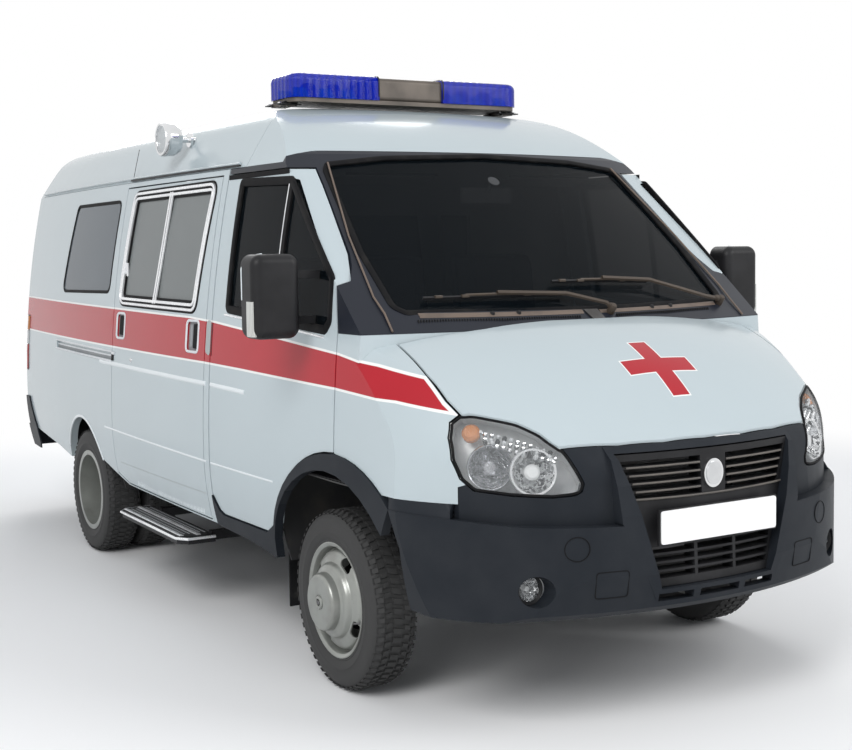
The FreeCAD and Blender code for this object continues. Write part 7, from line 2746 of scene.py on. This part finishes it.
@dataclass
class FrontWheels:
    """Pressed-steel front wheels: rim and barrel, dished disc with four windows, hub and flat cap."""

    windows: int = 4
    first_window: float = 60.5
    reach: float = 0.150

    def _profile(self) -> list[tuple[float, float]]:
        """Return the wheel's section as (radius, outwards) rows about the tyre's middle plane."""
        r = self.reach
        return [
            (0.2030, 0.0760), (0.2165, 0.0780), (0.2185, 0.0820), (0.2175, 0.0855), (0.2140, 0.0862),
            (0.2085, 0.0835),
            (0.2020, 0.0800), (0.1975, 0.0700), (0.1950, 0.0560), (0.1925, 0.0530), (0.1885, 0.0560),
            (0.1840, 0.0660),
            (0.1780, 0.0735), (0.1640, 0.0790), (0.1500, 0.0830), (0.1440, 0.0860), (0.1400, 0.0930),
            (0.1370, 0.1010),
            (0.1320, 0.1060), (0.1210, 0.1090), (0.1130, 0.1120), (0.1090, 0.1160), (0.1065, r - 0.012),
            (0.1045, r - 0.006),
            (0.0990, r - 0.001), (0.0940, r), (0.0600, r - 0.0005), (0.0300, r - 0.001),
            (0.0270, r - 0.004), (0.0, r - 0.004),
        ]

    def _window(self) -> bpy.types.Object:
        """Return the cutter of all windows as one object about the wheel's axis."""
        outline = [
            (-0.030, 0.1490), (0.030, 0.1490), (0.036, 0.1640), (0.026, 0.1830), (-0.026, 0.1830),
            (-0.036, 0.1640)
        ]
        cutter = Maker()
        for number in range(self.windows):
            angle = math.radians(self.first_window + 360 / self.windows * number - 90)
            turned = []
            cos, sin = math.cos(angle), math.sin(angle)
            for across, out in rounded([(a * 1000, b * 1000) for a, b in outline], 12, 4):
                x, z = across / 1000, out / 1000
                turned.append(Vector((x * cos - z * sin, -0.05, x * sin + z * cos)))
            cutter.slabbed(turned, Vector((0, 0.3, 0)))
        return formed(cutter.mesh, "window_cutter")

    def build(self) -> None:
        """Build both front wheels in place of the plain ones."""
        for name, side in SIDES:
            profile = self._profile()
            maker = Maker()
            back = [(r - 0.0045 if r > 0.02 else r, out - 0.0045) for r, out in reversed(profile[7:])]
            inner = [
                (0.2030, 0.0700), (0.1985, 0.0640), (0.1985, -0.0780), (0.2160, -0.0800), (0.2170, -0.0850),
                (0.1930, -0.0850), (0.1905, 0.0500),
            ]
            section = profile + [(0.0, self.reach - 0.009)] + [
                spot for spot in back if spot[0] > 0.001
            ] + inner[::-1]
            maker.spun(section, (0, 0, 0), (0, 1, 0), 96, closed=True)
            bmesh.ops.remove_doubles(maker.mesh, verts=maker.mesh.verts[:], dist=0.00001)
            bmesh.ops.recalc_face_normals(maker.mesh, faces=maker.mesh.faces[:])
            wheel = formed(maker.mesh, "wheel")
            cutter = self._window()
            cut = wheel.modifiers.new("windows", "BOOLEAN")
            cut.operation, cut.object, cut.solver = "DIFFERENCE", cutter, "EXACT"
            wheel = baked(wheel, f"steel_wheel_{name}")
            discard(cutter)
            mesh = bmesh.new()
            mesh.from_mesh(wheel.data)
            if side == RIGHT:
                mesh.transform(Matrix.Diagonal((1, -1, 1, 1)))
                bmesh.ops.reverse_faces(mesh, faces=mesh.faces[:])
            mesh.transform(Matrix.Translation((FRONT_AXLE, side * FRONT_WHEEL_Y, TYRE_RADIUS)))
            mesh.to_mesh(wheel.data)
            mesh.free()
            wheel.data.materials.clear()
            wheel.data.materials.append(Finish.WHEEL.get())
            shade(wheel, 32)
            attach(wheel, f"front_wheel_{name}_set")
            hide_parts(f"front_wheel_{name}")
            LOG.info("%s: %d faces", wheel.name, len(wheel.data.polygons))
            face = side * (FRONT_WHEEL_Y + self.reach)
            centre = (FRONT_AXLE, face, TYRE_RADIUS)
            fittings = Maker()
            bolt = [(0.0, 0.006), (0.007, 0.006), (0.009, 0.004), (0.009, -0.005), (0.0, -0.005)]
            fittings.use(0).spun(bolt, centre, (0, side, 0), 6)
            collar = [(0.014, -0.006), (0.014, 0.0035), (0.018, 0.0050), (0.023, 0.0030), (0.025, -0.003)]
            fittings.use(1).spun(collar, centre, (0, side, 0), 36, closed=True)
            valve = [
                Vector((FRONT_AXLE + ahead, side * y, TYRE_RADIUS - 0.05))
                for ahead, y in ((0.186, 0.912), (0.180, 0.925), (0.170, 0.945))
            ]
            fittings.use(0).rod(valve, 0.0042, 8)
            hub = fittings.use(2).spun(
                [
                    (0, 0.120), (0.060, 0.118), (0.075, 0.100), (0.078, 0.0), (0.120, -0.01),
                    (0.130, -0.04), (0, -0.05)
                ],
                (FRONT_AXLE, side * (FRONT_WHEEL_Y + 0.015), TYRE_RADIUS), (0, side, 0), 40,
            )
            hub.piece(
                f"front_hub_fittings_{name}", f"front_wheel_{name}_set",
                [Finish.CAST, Finish.WHEEL, Finish.DARK], 35.0, "wheel_paint",
            )


# ---------------------------------------------------------------- ledge and lamps at the corners

@dataclass
class BumperLedge:
    """Shelf between the bumper's lip and the foot of each fender."""

    first: float = 24.0
    last: float = 50.0
    steps: int = 52

    def build(self) -> None:
        """Build both shelves by looking inwards at the bumper and the fenders."""
        bumper = BVHTree.FromBMesh(merged_copy("front_bumper"))
        fender = BVHTree.FromBMesh(merged_copy("fenders"))
        centre = Vector((at(NOSE_CENTRE), 0, 0))
        maker = Maker()
        rows = []
        for step in range(self.steps + 1):
            angle = math.radians(self.first + (self.last - self.first) * step / self.steps)
            way = Vector((math.cos(angle), -math.sin(angle), 0))

            def look(tree: BVHTree, heights: Sequence[float]) -> Vector | None:
                """Return the first hit at the highest of some heights."""
                for height in heights:
                    origin = centre + way * 2.6 + Vector((0, 0, height))
                    hit = tree.ray_cast(origin, -way, 1.5)[0]
                    if hit is not None:
                        return hit
                return None

            lip = look(bumper, [0.775 - 0.002 * k for k in range(22)])
            foot = look(fender, [0.807 + 0.002 * k for k in range(8)])
            if lip is None or foot is None or (lip - foot).length > 0.16:
                LOG.info("ledge %.1f: %s %s", math.degrees(angle), lip, foot)
                continue
            lip = lip - way * 0.003 + Vector((0, 0, -0.0015))
            foot = foot - way * 0.004 + Vector((0, 0, 0.004))
            near = lip.lerp(foot, 0.35) + Vector((0, 0, 0.003))
            far = lip.lerp(foot, 0.75) + Vector((0, 0, 0.002))
            rows.append([lip, near, far, foot, foot - way * 0.02])
        if len(rows) > 3:
            maker.grid(rows, Vector((0, 0, -0.004)))
            maker.mirror_left()
            maker.piece("bumper_ledges", BODY, [Finish.BUMPER], 50.0, "bumper_plastic")
        LOG.info("bumper_ledges: %d rows", len(rows))


FITTINGS = (
    Headlamps, Tyres, FrontWheels, WheelFittings, SideWindows, CabDoorTrim, DoorHandles, SideLines,
    Windscreen,
    NoseFittings, BumperLedge, Mirrors, RoofLamps, StepAndSills, RearEnd, Seats, Stretcher, CabDetails,
)


# ---------------------------------------------------------------- assembly

def main() -> None:
    """Build the studio, dress the frame and add every fitting in order."""
    logging.basicConfig(level=logging.INFO, format="%(name)s: %(message)s")
    Studio().build()
    dress_nodes()
    for fitting in FITTINGS:
        fitting().build()


if __name__ == "__main__":
    main()
